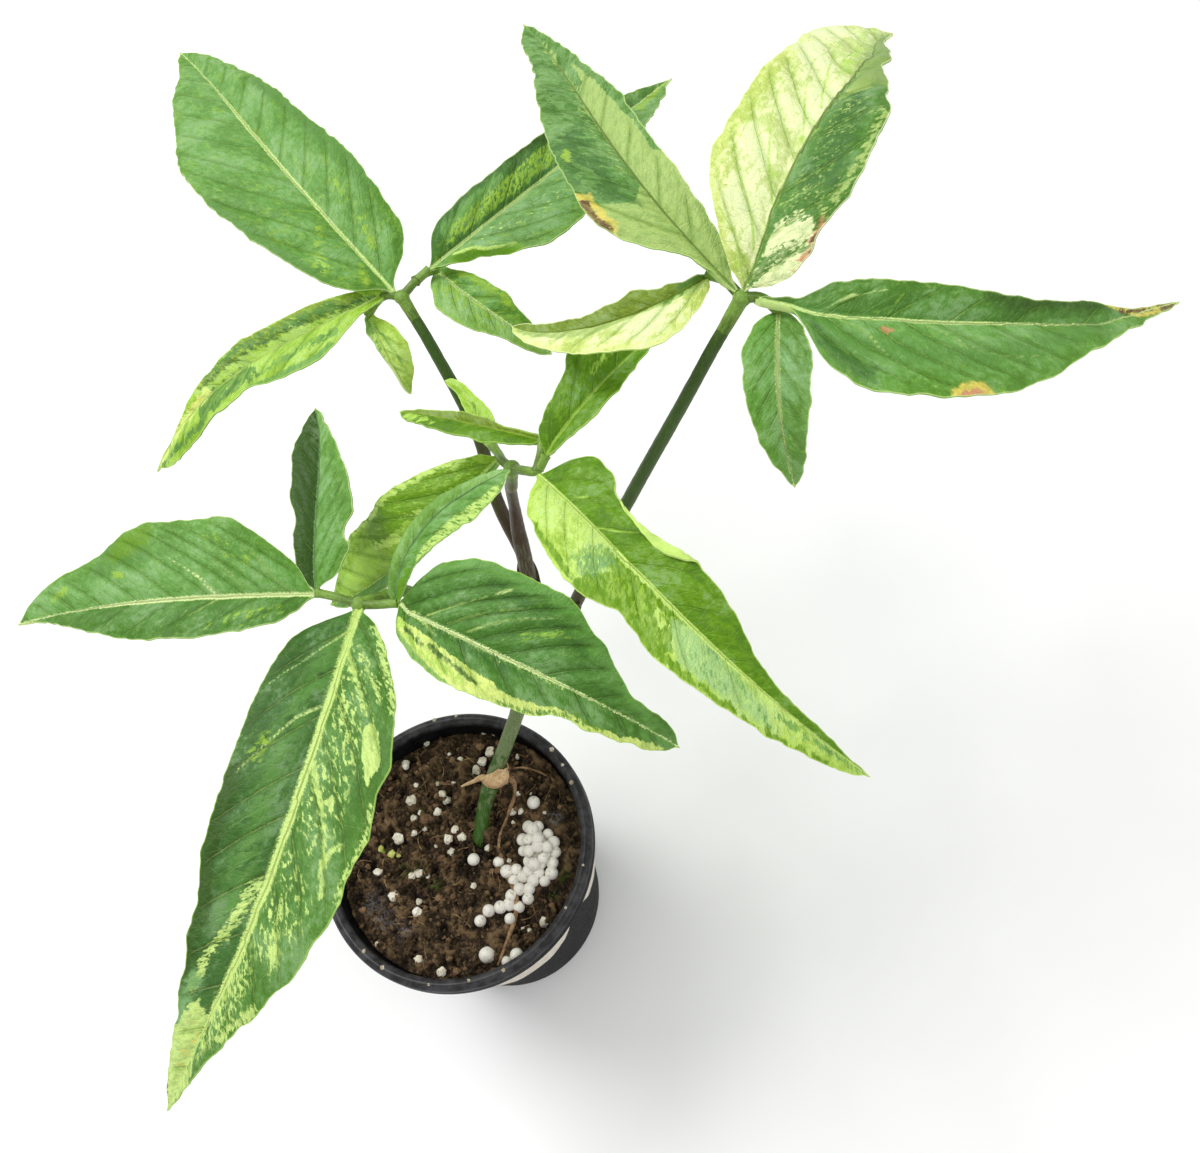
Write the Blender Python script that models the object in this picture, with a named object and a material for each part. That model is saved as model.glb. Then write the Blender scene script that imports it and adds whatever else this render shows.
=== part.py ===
"""Potted syngonium: four compound leaves on a leaning cane, in a black nursery pot.

Lengths are millimetres here and angles are degrees, unless a name says otherwise. A heading is read
from above, clockwise from +Y, and a rise is the slope above the level. The origin is the centre of
the pot's base, and +Z is up.
"""

import math
from dataclasses import dataclass

import bmesh
import bpy
from mathutils import Matrix, Vector, noise

MM = 0.001
GAP = 0.3
CURVE_PARTS = 12

# The pot
POT_HEIGHT = 90.0
RIM_RADIUS = 50.0
BASE_RADIUS = 36.0
WALL = 1.4
LIP_WIDTH = 4.5
LIP_DROP = 7.0
LIP_ROUND_STEPS = 3
FLOOR = 2.0
FOOT_LIFT = 2.5
FOOT_WIDTH = 7.0
PAD_RADIUS = 9.0
EDGE_ROUND = 1.0
DRAIN_HOLES = 6
DRAIN_RADIUS = 3.5
DRAIN_RING = 20.0
DRAIN_SIDES = 10
POT_SIDES = 40

# The paper band round the pot's side: its azimuths run anticlockwise from +X
BAND_TOP = 81.0
BAND_BOTTOM = 58.0
BAND_START = -100.0
BAND_END = 55.0
BAND_THICK = 0.6
BAND_STEPS = 20

# The soil, with loose white grains on it
SOIL_TOP = 80.0
SOIL_RINGS = 10
SOIL_HUMP = 1.8
SOIL_LUMP = 1.6
LUMP_SIZE = 9.0
GRAIN_SINK = 0.5
GRAINS = (
    (-22.0, 9.0, 1.8), (-17.0, -9.0, 2.0), (-6.0, -19.0, 1.7), (-33.0, -6.0, 2.2), (-9.0, 22.0, 1.8),
    (20.0, 26.0, 1.9), (-28.0, 20.0, 1.6), (4.0, -43.0, 2.1), (8.4, -40.5, 2.1), (-1.8, -38.2, 2.1),
    (30.7, 8.4, 2.1), (-20.0, -30.0, 1.7), (-12.0, 4.0, 1.8), (2.0, 33.0, 1.7),
)

# The heap of slow-release feed beads, on a level bed
BEAD_RADIUS = 2.25
BEAD_PITCH = 3.85
BEAD_BED = (28.0, -12.0)
BEAD_BED_HALF = (7.5, 13.0)
BEAD_BED_TURN = -18.0
BEAD_SEGMENTS = 6
BEAD_RINGS = 4
BEAD_TRAIL = ((17.0, -18.0), (14.6, -21.0), (11.6, -23.4), (8.6, -25.8), (5.0, -27.2))
BED_BLEND = 6.0

# The cane
CANE_ROUTE = (
    (-1.1, -6.6, 68.8), (8.0, 3.2, 80.0), (14.8, 10.5, 88.4), (22.0, 16.0, 96.5), (31.0, 21.9, 105.0),
    (43.4, 30.7, 118.0), (52.0, 38.7, 130.0), (58.9, 47.2, 142.0), (62.4, 54.4, 153.0), (64.8, 61.5, 164.0),
)
CANE_RADIUS = 3.1
CANE_NODE_SWELL = 0.45
CANE_NODE_LENGTH = 3.0
CANE_NODES = (0.27, 0.55, 0.68, 0.85)
CANE_SIDES = 10
CANE_STEP = 4.0
HOLE_CLEARANCE = 0.5
HOLE_LENGTH = 40.0

# The leaf stalks
STALK_RADIUS_FOOT = 2.5
STALK_RADIUS_TOP = 1.8
STALK_SIDES = 8
STALK_STEP = 6.0
CLASP_WALL = 1.0
CLASP_CLEARANCE = 0.45
CLASP_SEGMENTS = 10
CLASP_HALF_ANGLES = (130.0, 35.0)
TIP_STALK_LEAD = 5.0
TIP_STALK_TAPER = 2.5
LEAF_STALK_LEAD = 7.0

# The leaf blades
BLADE = 0.8
RIB_HALF = 1.1
RIB_LARGEST_SHARE = 0.4
RIB_DEPTH_BASE = 1.7
RIB_DEPTH_TIP = 0.5
STATION_STEP = 8.5
FEWEST_STATIONS = 6
ROOT_HALF = 1.6
TIP_HALF = 0.7
BLADE_STOPS = (0.0, 0.1, 0.3, 0.5, 0.7, 0.9, 1.0)
ACROSS = (0.5, 1.0)
MIDRIB_STEPS = 120
WAVE_FULL_WIDTH = 12.0
WAVE_SIDE_SHIFT = 0.25
KNOT_RADIUS = 2.7
ARM_RADIUS = 1.5
ARM_STEP = 3.0
ARM_SIDES = 6


@dataclass(frozen=True)
class Leaflet:
    """One blade: its root, midrib and the half-widths at 10, 30, 50, 70 and 90% of its length.

    Heading and rise are given at the root, halfway and at the tip. Roll, fold and curl are given at
    the root and at the tip: roll turns the blade about its midrib, fold lifts each half from the
    level and curl bends it down again towards its margin. The wave is a height, a count of waves
    along the margin, and the share of a wave that it starts at.
    """

    root: tuple
    length: float
    heading: tuple
    rise: tuple
    left: tuple
    right: tuple
    roll: tuple
    fold: tuple
    curl: tuple
    wave: tuple


@dataclass(frozen=True)
class Leaf:
    """One compound leaf: the knot on its stalk, the arms that carry the side blades, the blades."""

    hub: tuple
    stalk_end: tuple
    arms: tuple
    blades: tuple
    color: tuple


@dataclass(frozen=True)
class Stalk:
    """One leaf stalk: where it clasps the cane, the side it leaves by, and its route to the leaf."""

    leaf: str
    cane_share: float
    side: tuple
    clasp_length: float
    route: tuple
    color: tuple


LEAVES = {
    "leaf_back": Leaf(
        hub=(60.2, 128.0, 218.0),
        stalk_end=(61.4, 122.0, 212.5),
        arms=(
            ((60.2, 128.0, 218.0), (66.0, 130.5, 219.5), (71.5, 131.5, 221.0)),
            ((66.0, 130.5, 219.5), (70.0, 133.0, 218.5), (73.2, 134.0, 217.0)),
            ((60.2, 128.0, 218.0), (56.0, 131.5, 217.5), (52.0, 132.5, 215.5), (47.5, 132.0, 212.0)),
        ),
        blades=(
            Leaflet((58.5, 130.0, 219.0), 156, (-22, -15, -19), (28, -3, -7),
                    (16, 27, 29, 21, 9), (16, 19, 17, 14, 7), (0, 4), (14, 8), (-14, -12), (1.2, 3.0, 0.1)),
            Leaflet((71.5, 131.5, 221.0), 119, (94, 59, 50), (26, -10, -20),
                    (10, 12, 11, 8, 3), (6, 22, 17, 10, 4), (14, 10), (20, 14), (-10, -20), (1.0, 2.5, 0.3)),
            Leaflet((73.2, 134.0, 217.0), 49, (156, 148, 124), (9, -18, -56),
                    (3, 6, 7, 5, 3), (6, 11, 9, 6, 3), (8, 8), (14, 12), (-12, -12), (0.6, 2.0, 0.5)),
            Leaflet((57.0, 133.0, 217.2), 106, (-110, -86, -109), (14, -19, -40),
                    (3, 14, 10, 10, 7), (5, 8, 8, 6, 2), (-14, -10), (16, 12), (-16, -10), (1.2, 3.0, 0.6)),
            Leaflet((47.5, 132.0, 212.0), 32, (172, 175, 150), (18, -38, -80),
                    (3, 5, 6, 5, 2), (2, 4, 4, 2, 1.5), (-6, -6), (14, 12), (-10, -10), (0.4, 1.5, 0.2)),
        ),
        color=(0.10, 0.26, 0.06, 1.0),
    ),
    "leaf_right": Leaf(
        hub=(144.8, 48.2, 255.0),
        stalk_end=(137.8, 46.2, 247.5),
        arms=(
            ((144.8, 48.2, 255.0), (149.0, 45.5, 255.5), (152.0, 42.0, 252.5)),
            ((144.8, 48.2, 255.0), (143.0, 55.0, 255.5), (140.5, 60.5, 253.5)),
        ),
        blades=(
            Leaflet((144.0, 49.5, 257.0), 137, (-28, -2, -9), (32, -9, -8),
                    (6, 18, 16, 10, 6), (7, 10, 10, 7, 3), (-8, -6), (20, 14), (-16, -14), (1.2, 3.0, 0.4)),
            Leaflet((145.5, 48.5, 257.0), 114, (60, 44, 54), (68, -11, -29),
                    (9, 20, 20, 20, 14), (14, 20, 21, 12, 3), (0, 0), (16, 10), (-12, -16), (1.2, 2.5, 0.0)),
            Leaflet((146.0, 48.0, 255.5), 123, (148, 106, 78), (18, -15, -29),
                    (5, 10, 9, 6, 2), (4, 21, 22, 10, 2.5), (14, 10), (16, 12), (-10, -18), (1.2, 3.0, 0.8)),
            Leaflet((152.0, 42.0, 252.5), 50, (-156, -160, -185), (12, -33, -75),
                    (5, 9, 8, 6, 3), (6, 9, 8, 6, 3), (8, 8), (14, 12), (-10, -10), (0.5, 2.0, 0.1)),
            Leaflet((140.5, 60.5, 253.5), 66, (-114, -65, -25), (14, -18, -22),
                    (6, 12, 9, 6, 3), (2, 6, 5, 3, 2), (-14, -8), (16, 12), (-14, -8), (1.0, 2.0, 0.7)),
        ),
        color=(0.16, 0.33, 0.12, 1.0),
    ),
    "leaf_centre": Leaf(
        hub=(72.8, 55.0, 214.0),
        stalk_end=(71.3, 57.4, 205.5),
        arms=(
            ((72.8, 55.0, 214.0), (76.0, 49.5, 218.5), (79.5, 45.8, 221.5), (83.3, 47.8, 224.0)),
            ((79.5, 45.8, 221.5), (82.5, 49.5, 223.8), (84.0, 53.0, 224.0)),
            ((72.8, 55.0, 214.0), (71.0, 60.5, 211.0), (70.5, 65.5, 207.5), (69.5, 70.5, 206.0)),
        ),
        blades=(
            Leaflet((79.0, 44.5, 221.8), 132, (160, 157, 129), (20, -14, -57),
                    (14, 10, 12, 4.5, 2), (11, 16, 13, 9, 4), (0, 6), (18, 12), (-14, -18), (1.0, 3.0, 0.2)),
            Leaflet((83.3, 47.8, 224.0), 60, (70, 61, 46), (38, -3, -24),
                    (6, 9, 14, 13, 6), (3, 6, 5, 3, 2), (6, 6), (22, 16), (-14, -14), (1.0, 2.0, 0.4)),
            Leaflet((84.0, 53.0, 224.0), 51, (-55, -45, -45), (10, -10, -19),
                    (3, 5, 5, 4, 3), (2, 3, 3, 2, 1.5), (-10, -6), (20, 16), (-10, -10), (0.5, 2.0, 0.6)),
            Leaflet((70.5, 65.5, 207.0), 84, (-109, -92, -61), (-15, -32, -31),
                    (3, 4, 5, 5, 3), (8, 16, 19, 19, 12), (-8, -8), (20, 14), (-12, -12), (1.2, 2.5, 0.9)),
            Leaflet((69.5, 70.5, 206.0), 36, (-15, -4, -40), (10, -10, -18),
                    (2, 2.5, 2.5, 2, 1.5), (4, 5, 3, 2, 1.5), (-6, -6), (14, 12), (-8, -8), (0.3, 1.5, 0.0)),
        ),
        color=(0.22, 0.45, 0.06, 1.0),
    ),
    "leaf_front": Leaf(
        hub=(15.0, 44.0, 194.5),
        stalk_end=(21.3, 45.6, 190.8),
        arms=(
            ((15.0, 44.0, 194.5), (9.0, 49.0, 195.4), (4.0, 52.5, 196.0)),
            ((15.0, 44.0, 194.5), (20.5, 41.0, 195.2), (26.5, 38.5, 196.0)),
        ),
        blades=(
            Leaflet((4.0, 52.0, 196.0), 108, (-73, -67, -71), (14, -7, -17),
                    (10, 14, 13, 8, 3), (13, 25, 25, 17, 9), (-8, -6), (16, 10), (-14, -12), (1.2, 3.0, 0.3)),
            Leaflet((4.0, 53.0, 196.5), 62, (16, 21, 0), (22, 7, -3),
                    (5, 7, 9, 9, 5), (10, 14, 13, 8, 4), (-6, -6), (14, 12), (-12, -12), (0.8, 2.0, 0.0)),
            Leaflet((15.5, 43.0, 195.0), 163, (-156, -137, -112), (22, -15, -42),
                    (14, 27, 27, 16, 4), (16, 21, 20, 14, 6), (0, 0), (16, 10), (-14, -12), (1.3, 3.5, 0.5)),
            Leaflet((26.5, 38.5, 196.0), 100, (144, 137, 129), (20, -14, -57),
                    (15, 23, 24, 14, 5.5), (10, 15, 13, 9, 5.5),
                    (10, 8), (18, 12), (-12, -16), (1.2, 3.0, 0.9)),
            Leaflet((25.8, 38.4, 196.4), 56, (31, 77, 93), (42, 22, 8),
                    (2.5, 3.5, 4, 3, 2), (3, 5, 8, 9, 6), (10, 4), (18, 16), (-10, -24), (0.6, 1.5, 0.4)),
        ),
        color=(0.09, 0.24, 0.06, 1.0),
    ),
}

STALKS = {
    "stalk_back": Stalk("leaf_back", 0.86, (0.1, 1.0, 0.0), 12.0,
                        ((62.4, 77.5, 167.0), (65.0, 93.6, 180.0), (64.4, 104.5, 191.0)),
                        (0.10, 0.13, 0.05, 1.0)),
    "stalk_right": Stalk("leaf_right", 0.56, (0.85, -0.5, 0.0), 12.0,
                         ((68.0, 42.0, 136.0), (87.5, 44.2, 168.0), (105.0, 44.5, 197.0),
                          (122.3, 44.0, 226.0)),
                         (0.07, 0.12, 0.04, 1.0)),
    "stalk_front": Stalk("leaf_front", 0.69, (-0.6, 0.8, 0.0), 8.0,
                         ((41.0, 49.0, 158.0), (31.0, 48.5, 177.0)),
                         (0.12, 0.20, 0.05, 1.0)),
    "stalk_centre": Stalk("leaf_centre", 1.0, (0.0, 0.0, 0.0), 0.0,
                          ((67.5, 65.0, 178.0), (69.5, 62.5, 194.0)),
                          (0.11, 0.11, 0.05, 1.0)),
}

# The dry papery sheath on the cane's lowest joint, and the dry root fibre beside it
SHEATH_START = 0.295
SHEATH_RINGS = 3
SHEATH_WALL = 0.7
SHEATH_CLEARANCE = 0.75
SHEATH_OPEN = (150.0, 60.0)
SHEATH_FACING = (0.7, -0.7, 0.0)
SPIKE_ANGLE = -125.0
SPIKE_ROUTE = ((13.8, 17.6, 95.0), (10.0, 16.6, 97.5))
SPIKE_RADII = (1.0, 1.0, 0.8, 0.4)
SPIKE_STEP_OUT = 1.0
FIBRE_ROUTE = ((27.0, 13.0, 96.5), (27.4, 11.6, 92.5), (25.6, 9.2, 88.6), (22.0, 6.0, 85.2))
FIBRE_LAY = ((17.6, 2.6), (14.6, -1.2), (13.4, -5.6))
FIBRE_RADIUS = 0.6
FIBRE_SIDES = 6
FIBRE_STEP = 3.0
LAY_CLEARANCE = 0.5


def clear_scene():
    """Removes what the scene holds."""
    for item in list(bpy.data.objects):
        bpy.data.objects.remove(item)


def make_material(name, color, roughness):
    """A plain non-metallic finish."""
    material = bpy.data.materials.new(name)
    material.use_nodes = True
    shader = material.node_tree.nodes["Principled BSDF"]
    shader.inputs["Base Color"].default_value = color
    shader.inputs["Roughness"].default_value = roughness
    shader.inputs["Metallic"].default_value = 0.0
    return material


def make_object(name, mesh_builder, material=None):
    """Links a mesh that is held in millimetres, with its faces turned outwards."""
    bmesh.ops.recalc_face_normals(mesh_builder, faces=mesh_builder.faces)
    bmesh.ops.scale(mesh_builder, vec=(MM, MM, MM), verts=mesh_builder.verts)
    mesh = bpy.data.meshes.new(name)
    mesh_builder.to_mesh(mesh)
    mesh_builder.free()
    item = bpy.data.objects.new(name, mesh)
    if material:
        mesh.materials.append(material)
    bpy.context.scene.collection.objects.link(item)
    return item


def apply_boolean(item, operation, helpers):
    """Joins the helpers to the item, or cuts them out of it, and removes them."""
    group = bpy.data.collections.new(item.name + "_helpers")
    bpy.context.scene.collection.children.link(group)
    for helper in helpers:
        bpy.context.scene.collection.objects.unlink(helper)
        group.objects.link(helper)
        helper.hide_render = True
        helper.display_type = "WIRE"
    modifier = item.modifiers.new("join", "BOOLEAN")
    modifier.operation = operation
    modifier.operand_type = "COLLECTION"
    modifier.collection = group
    modifier.solver = "EXACT"
    graph = bpy.context.evaluated_depsgraph_get()
    mesh = bpy.data.meshes.new_from_object(item.evaluated_get(graph))
    item.modifiers.remove(modifier)
    old_mesh = item.data
    item.data = mesh
    bpy.data.meshes.remove(old_mesh)
    for helper in helpers:
        bpy.data.objects.remove(helper)
    bpy.data.collections.remove(group)


def smooth_through(stops, values, place):
    """A curve through the values that never overshoots them, read at one place."""
    index = 0
    while index < len(stops) - 2 and place > stops[index + 1]:
        index += 1
    slopes = []
    for at in (index, index + 1):
        if at == 0 or at == len(stops) - 1:
            near = min(at, len(stops) - 2)
            slopes.append((values[near + 1] - values[near]) / (stops[near + 1] - stops[near]))
            continue
        before = (values[at] - values[at - 1]) / (stops[at] - stops[at - 1])
        after = (values[at + 1] - values[at]) / (stops[at + 1] - stops[at])
        slopes.append(0.0 if before * after <= 0.0 else 2.0 * before * after / (before + after))
    span = stops[index + 1] - stops[index]
    share = (place - stops[index]) / span
    start = (1 + 2 * share) * (1 - share) ** 2 * values[index]
    end = share ** 2 * (3 - 2 * share) * values[index + 1]
    lean = share * (1 - share) ** 2 * span * slopes[0] - share ** 2 * (1 - share) * span * slopes[1]
    return start + end + lean


def three_point(values, share):
    """The parabola through three values at 0, 0.5 and 1."""
    start, middle, end = values
    return (start * (1 - share) * (1 - 2 * share) + 4 * middle * share * (1 - share)
            + end * share * (2 * share - 1))


def mix(values, share):
    """The straight blend from the first value to the second."""
    return values[0] + (values[1] - values[0]) * share


def route_points(points, step):
    """A smooth curve through the points, as evenly split points about one step apart."""
    ends = [Vector(point) for point in points]
    guides = [2 * ends[0] - ends[1]] + ends + [2 * ends[-1] - ends[-2]]
    fine = []
    for index in range(1, len(guides) - 2):
        before, start, end, after = guides[index - 1:index + 3]
        for part in range(CURVE_PARTS):
            t = part / CURVE_PARTS
            fine.append(0.5 * (2 * start + (end - before) * t
                               + (2 * before - 5 * start + 4 * end - after) * t ** 2
                               + (3 * start - before - 3 * end + after) * t ** 3))
    fine.append(ends[-1])
    lengths = [0.0]
    for first, second in zip(fine, fine[1:]):
        lengths.append(lengths[-1] + (second - first).length)
    count = max(2, round(lengths[-1] / step))
    even = []
    at = 0
    for index in range(count + 1):
        wanted = lengths[-1] * index / count
        while at < len(lengths) - 2 and lengths[at + 1] < wanted:
            at += 1
        share = (wanted - lengths[at]) / (lengths[at + 1] - lengths[at])
        even.append(fine[at].lerp(fine[at + 1], min(1.0, share)))
    return even


def route_frames(points):
    """For each point, its tangent and two directions across it that don't twist."""
    frames = []
    across = None
    for index, point in enumerate(points):
        ahead = points[min(index + 1, len(points) - 1)]
        behind = points[max(index - 1, 0)]
        tangent = (ahead - behind).normalized()
        if across is None:
            across = tangent.orthogonal()
        across = (across - tangent * across.dot(tangent)).normalized()
        frames.append((point, tangent, across, tangent.cross(across)))
    return frames


def tube(points, radii, sides):
    """A round closed tube along the points, with a radius for each."""
    build = bmesh.new()
    rings = []
    for (point, _, across, other), radius in zip(route_frames(points), radii):
        ring = []
        for side in range(sides):
            angle = 2 * math.pi * side / sides
            outward = across * math.cos(angle) + other * math.sin(angle)
            ring.append(build.verts.new(point + outward * radius))
        rings.append(ring)
    for first, second in zip(rings, rings[1:]):
        for side in range(sides):
            following = (side + 1) % sides
            build.faces.new((first[side], first[following], second[following], second[side]))
    build.faces.new(rings[0])
    build.faces.new(rings[-1])
    return build


def midrib_frames(blade, shares):
    """The point, tangent, right-hand side and upper side of the midrib at each share of its length."""
    point = Vector(blade.root)
    points = [point.copy()]
    tangents = []
    for index in range(MIDRIB_STEPS):
        share = (index + 0.5) / MIDRIB_STEPS
        heading = math.radians(three_point(blade.heading, share))
        rise = math.radians(three_point(blade.rise, share))
        level = math.cos(rise)
        tangent = Vector((level * math.sin(heading), level * math.cos(heading), math.sin(rise)))
        tangents.append(tangent)
        point = point + tangent * (blade.length / MIDRIB_STEPS)
        points.append(point.copy())
    frames = []
    for share in shares:
        place = share * MIDRIB_STEPS
        low = min(int(place), MIDRIB_STEPS - 1)
        spot = points[low].lerp(points[low + 1], place - low)
        tangent = tangents[low]
        side = tangent.cross(Vector((0.0, 0.0, 1.0))).normalized()
        up = side.cross(tangent)
        roll = math.radians(mix(blade.roll, share))
        side, up = side * math.cos(roll) - up * math.sin(roll), up * math.cos(roll) + side * math.sin(roll)
        frames.append((spot, tangent, side, up))
    return frames


def half_width(blade, sign, share):
    """How far the blade reaches on one side of its midrib."""
    widths = blade.right if sign > 0 else blade.left
    return smooth_through(BLADE_STOPS, (ROOT_HALF,) + tuple(widths) + (TIP_HALF,), share)


def blade_point(blade, frame, sign, share, reach, width):
    """A point of the blade's middle surface, at this distance from the midrib."""
    spot, _, side, up = frame
    out = reach / width
    angle = math.radians(mix(blade.fold, share) + mix(blade.curl, share) * out / 2)
    height, count, phase = blade.wave
    ripple = height * out ** 2 * min(1.0, width / WAVE_FULL_WIDTH) * math.sin(math.pi * share)
    ripple *= math.sin(2 * math.pi * (count * share + phase + WAVE_SIDE_SHIFT * sign))
    return spot + side * (sign * reach * math.cos(angle)) + up * (reach * math.sin(angle) + ripple)


def blade_grid(blade, shares):
    """Rows of middle-surface points from the left margin, over the rib, to the right margin."""
    grid = []
    for share, frame in zip(shares, midrib_frames(blade, shares)):
        halves = []
        for sign in (-1, 1):
            width = half_width(blade, sign, share)
            rib = min(RIB_HALF, width * RIB_LARGEST_SHARE)
            reaches = [rib] + [rib + (width - rib) * part for part in ACROSS]
            halves.append([blade_point(blade, frame, sign, share, reach, width) for reach in reaches])
        grid.append(halves[0][::-1] + [frame[0]] + halves[1])
    return grid


def blade_mesh(blade):
    """The blade as a closed sheet, split alike on both faces, with its rib proud underneath."""
    count = max(FEWEST_STATIONS, round(blade.length / STATION_STEP))
    shares = [index / count for index in range(count + 1)]
    grid = blade_grid(blade, shares)
    columns = len(grid[0])
    middle = columns // 2
    build = bmesh.new()
    tops = []
    bottoms = []
    for row, points in enumerate(grid):
        ahead = grid[min(row + 1, count)]
        behind = grid[max(row - 1, 0)]
        top_row = []
        bottom_row = []
        for column, point in enumerate(points):
            along = ahead[column] - behind[column]
            across = points[min(column + 1, columns - 1)] - points[max(column - 1, 0)]
            normal = across.cross(along).normalized()
            depth = BLADE / 2
            if column == middle:
                depth += mix((RIB_DEPTH_BASE, RIB_DEPTH_TIP), shares[row])
            top_row.append(build.verts.new(point + normal * BLADE / 2))
            bottom_row.append(build.verts.new(point - normal * depth))
        tops.append(top_row)
        bottoms.append(bottom_row)
    for row in range(count):
        for face_rows, turn in ((tops, 1), (bottoms, -1)):
            near, far = face_rows[row], face_rows[row + 1]
            for column in range(columns - 1):
                build.faces.new((near[column], near[column + 1], far[column])[::turn])
                build.faces.new((near[column + 1], far[column + 1], far[column])[::turn])
        for column in (0, columns - 1):
            top, top_far = tops[row][column], tops[row + 1][column]
            bottom, bottom_far = bottoms[row][column], bottoms[row + 1][column]
            build.faces.new((top, bottom, bottom_far))
            build.faces.new((top, bottom_far, top_far))
    for row in (0, count):
        for column in range(columns - 1):
            build.faces.new((tops[row][column], tops[row][column + 1],
                             bottoms[row][column + 1], bottoms[row][column]))
    return build


def make_leaf(name, leaf):
    """The knot, its stub of stalk, the arms and the blades, fused."""
    material = make_material(name, leaf.color, 0.42)
    end = Vector(leaf.stalk_end)
    hub = Vector(leaf.hub)
    knot = bmesh.new()
    bmesh.ops.create_icosphere(knot, subdivisions=1, radius=KNOT_RADIUS)
    bmesh.ops.translate(knot, vec=hub, verts=knot.verts)
    body = make_object(name, knot, material)
    stub_points = route_points((end, (end + hub) / 2, hub), ARM_STEP)
    stub = tube(stub_points, [STALK_RADIUS_TOP] * len(stub_points), STALK_SIDES)
    pieces = [make_object(name + "_stub", stub)]
    for index, arm in enumerate(leaf.arms):
        points = route_points(arm, ARM_STEP)
        arm_tube = tube(points, [ARM_RADIUS] * len(points), ARM_SIDES)
        pieces.append(make_object(f"{name}_arm_{index}", arm_tube))
    for index, blade in enumerate(leaf.blades):
        pieces.append(make_object(f"{name}_blade_{index}", blade_mesh(blade)))
    apply_boolean(body, "UNION", pieces)
    return body


def cane_points():
    """The cane's middle line."""
    return route_points(CANE_ROUTE, CANE_STEP)


def cane_radius(share):
    """The cane's radius, with a swelling at each joint."""
    radius = CANE_RADIUS
    length = CANE_STEP * (len(cane_points()) - 1)
    for node in CANE_NODES:
        radius += CANE_NODE_SWELL * math.exp(-(((share - node) * length) / CANE_NODE_LENGTH) ** 2)
    return radius


def make_cane():
    """The leaning cane, with its foot in the soil."""
    points = cane_points()
    count = len(points) - 1
    radii = [cane_radius(index / count) for index in range(count + 1)]
    material = make_material("cane", (0.13, 0.17, 0.08, 1.0), 0.5)
    return make_object("cane", tube(points, radii, CANE_SIDES), material)


def wrap_mesh(frames, facing, inner, wall, half_angles):
    """A sleeve round the cane, open on the side away from its facing direction."""
    build = bmesh.new()
    rings = []
    for (point, tangent, _, _), half_angle in zip(frames, half_angles):
        front = Vector(facing)
        front = (front - tangent * front.dot(tangent)).normalized()
        other = tangent.cross(front)
        ring = []
        for radius, order in ((inner, 1), (inner + wall, -1)):
            for step in range(CLASP_SEGMENTS + 1)[::order]:
                angle = math.radians(half_angle) * (2 * step / CLASP_SEGMENTS - 1)
                outward = front * math.cos(angle) + other * math.sin(angle)
                ring.append(build.verts.new(point + outward * radius))
        rings.append(ring)
    size = len(rings[0])
    for first, second in zip(rings, rings[1:]):
        for index in range(size):
            following = (index + 1) % size
            build.faces.new((first[index], first[following], second[following], second[index]))
    for ring in (rings[0], rings[-1]):
        for step in range(CLASP_SEGMENTS):
            build.faces.new((ring[step], ring[step + 1], ring[size - 2 - step], ring[size - 1 - step]))
    return build


def make_stalk(name, stalk):
    """A leaf stalk with the sleeve that clasps the cane at its foot."""
    material = make_material(name, stalk.color, 0.45)
    leaf = LEAVES[stalk.leaf]
    end = Vector(leaf.stalk_end)
    lead = (Vector(leaf.hub) - end).normalized()
    finish = [end - lead * LEAF_STALK_LEAD, end - lead * GAP]
    frames = route_frames(cane_points())
    if not stalk.clasp_length:
        tip, tangent = frames[-1][0], frames[-1][1]
        start = [tip + tangent * GAP, tip + tangent * TIP_STALK_LEAD]
        points = route_points(start + list(stalk.route) + finish, STALK_STEP)
        count = len(points) - 1
        radii = [mix((CANE_RADIUS, STALK_RADIUS_TOP), min(1.0, TIP_STALK_TAPER * index / count))
                 for index in range(count + 1)]
        return make_object(name, tube(points, radii, STALK_SIDES), material)
    first = round(stalk.cane_share * (len(frames) - 1))
    rings = round(stalk.clasp_length / CANE_STEP) + 1
    clasped = frames[first:first + rings]
    inner = CANE_RADIUS + CANE_NODE_SWELL + CLASP_CLEARANCE
    side = Vector(stalk.side)
    start = []
    for point, tangent, _, _ in (clasped[0], clasped[-1]):
        out = (side - tangent * side.dot(tangent)).normalized()
        start.append(point + out * (inner + STALK_RADIUS_FOOT))
    points = route_points(start + list(stalk.route) + finish, STALK_STEP)
    count = len(points) - 1
    radii = [mix((STALK_RADIUS_FOOT, STALK_RADIUS_TOP), index / count) for index in range(count + 1)]
    body = make_object(name, tube(points, radii, STALK_SIDES), material)
    half_angles = [mix(CLASP_HALF_ANGLES, index / (rings - 1)) for index in range(rings)]
    sleeve = wrap_mesh(clasped, stalk.side, inner, CLASP_WALL, half_angles)
    apply_boolean(body, "UNION", [make_object(name + "_sleeve", sleeve)])
    return body


def wall_radius(height):
    """The outer radius of the pot's tapered wall at a height."""
    lip_foot = RIM_RADIUS - LIP_WIDTH + WALL
    return BASE_RADIUS + (lip_foot - BASE_RADIUS) * height / (POT_HEIGHT - LIP_DROP)


def turned(profile, sides):
    """A closed body turned from a half outline whose two ends lie on the axis."""
    build = bmesh.new()
    verts = [build.verts.new((radius, 0.0, height)) for radius, height in profile]
    edges = [build.edges.new(pair) for pair in zip(verts, verts[1:])]
    bmesh.ops.spin(build, geom=verts + edges, cent=(0, 0, 0), axis=(0, 0, 1), angle=2 * math.pi,
                   steps=sides, use_merge=True)
    bmesh.ops.remove_doubles(build, verts=build.verts, dist=GAP / 10)
    return build


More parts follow.
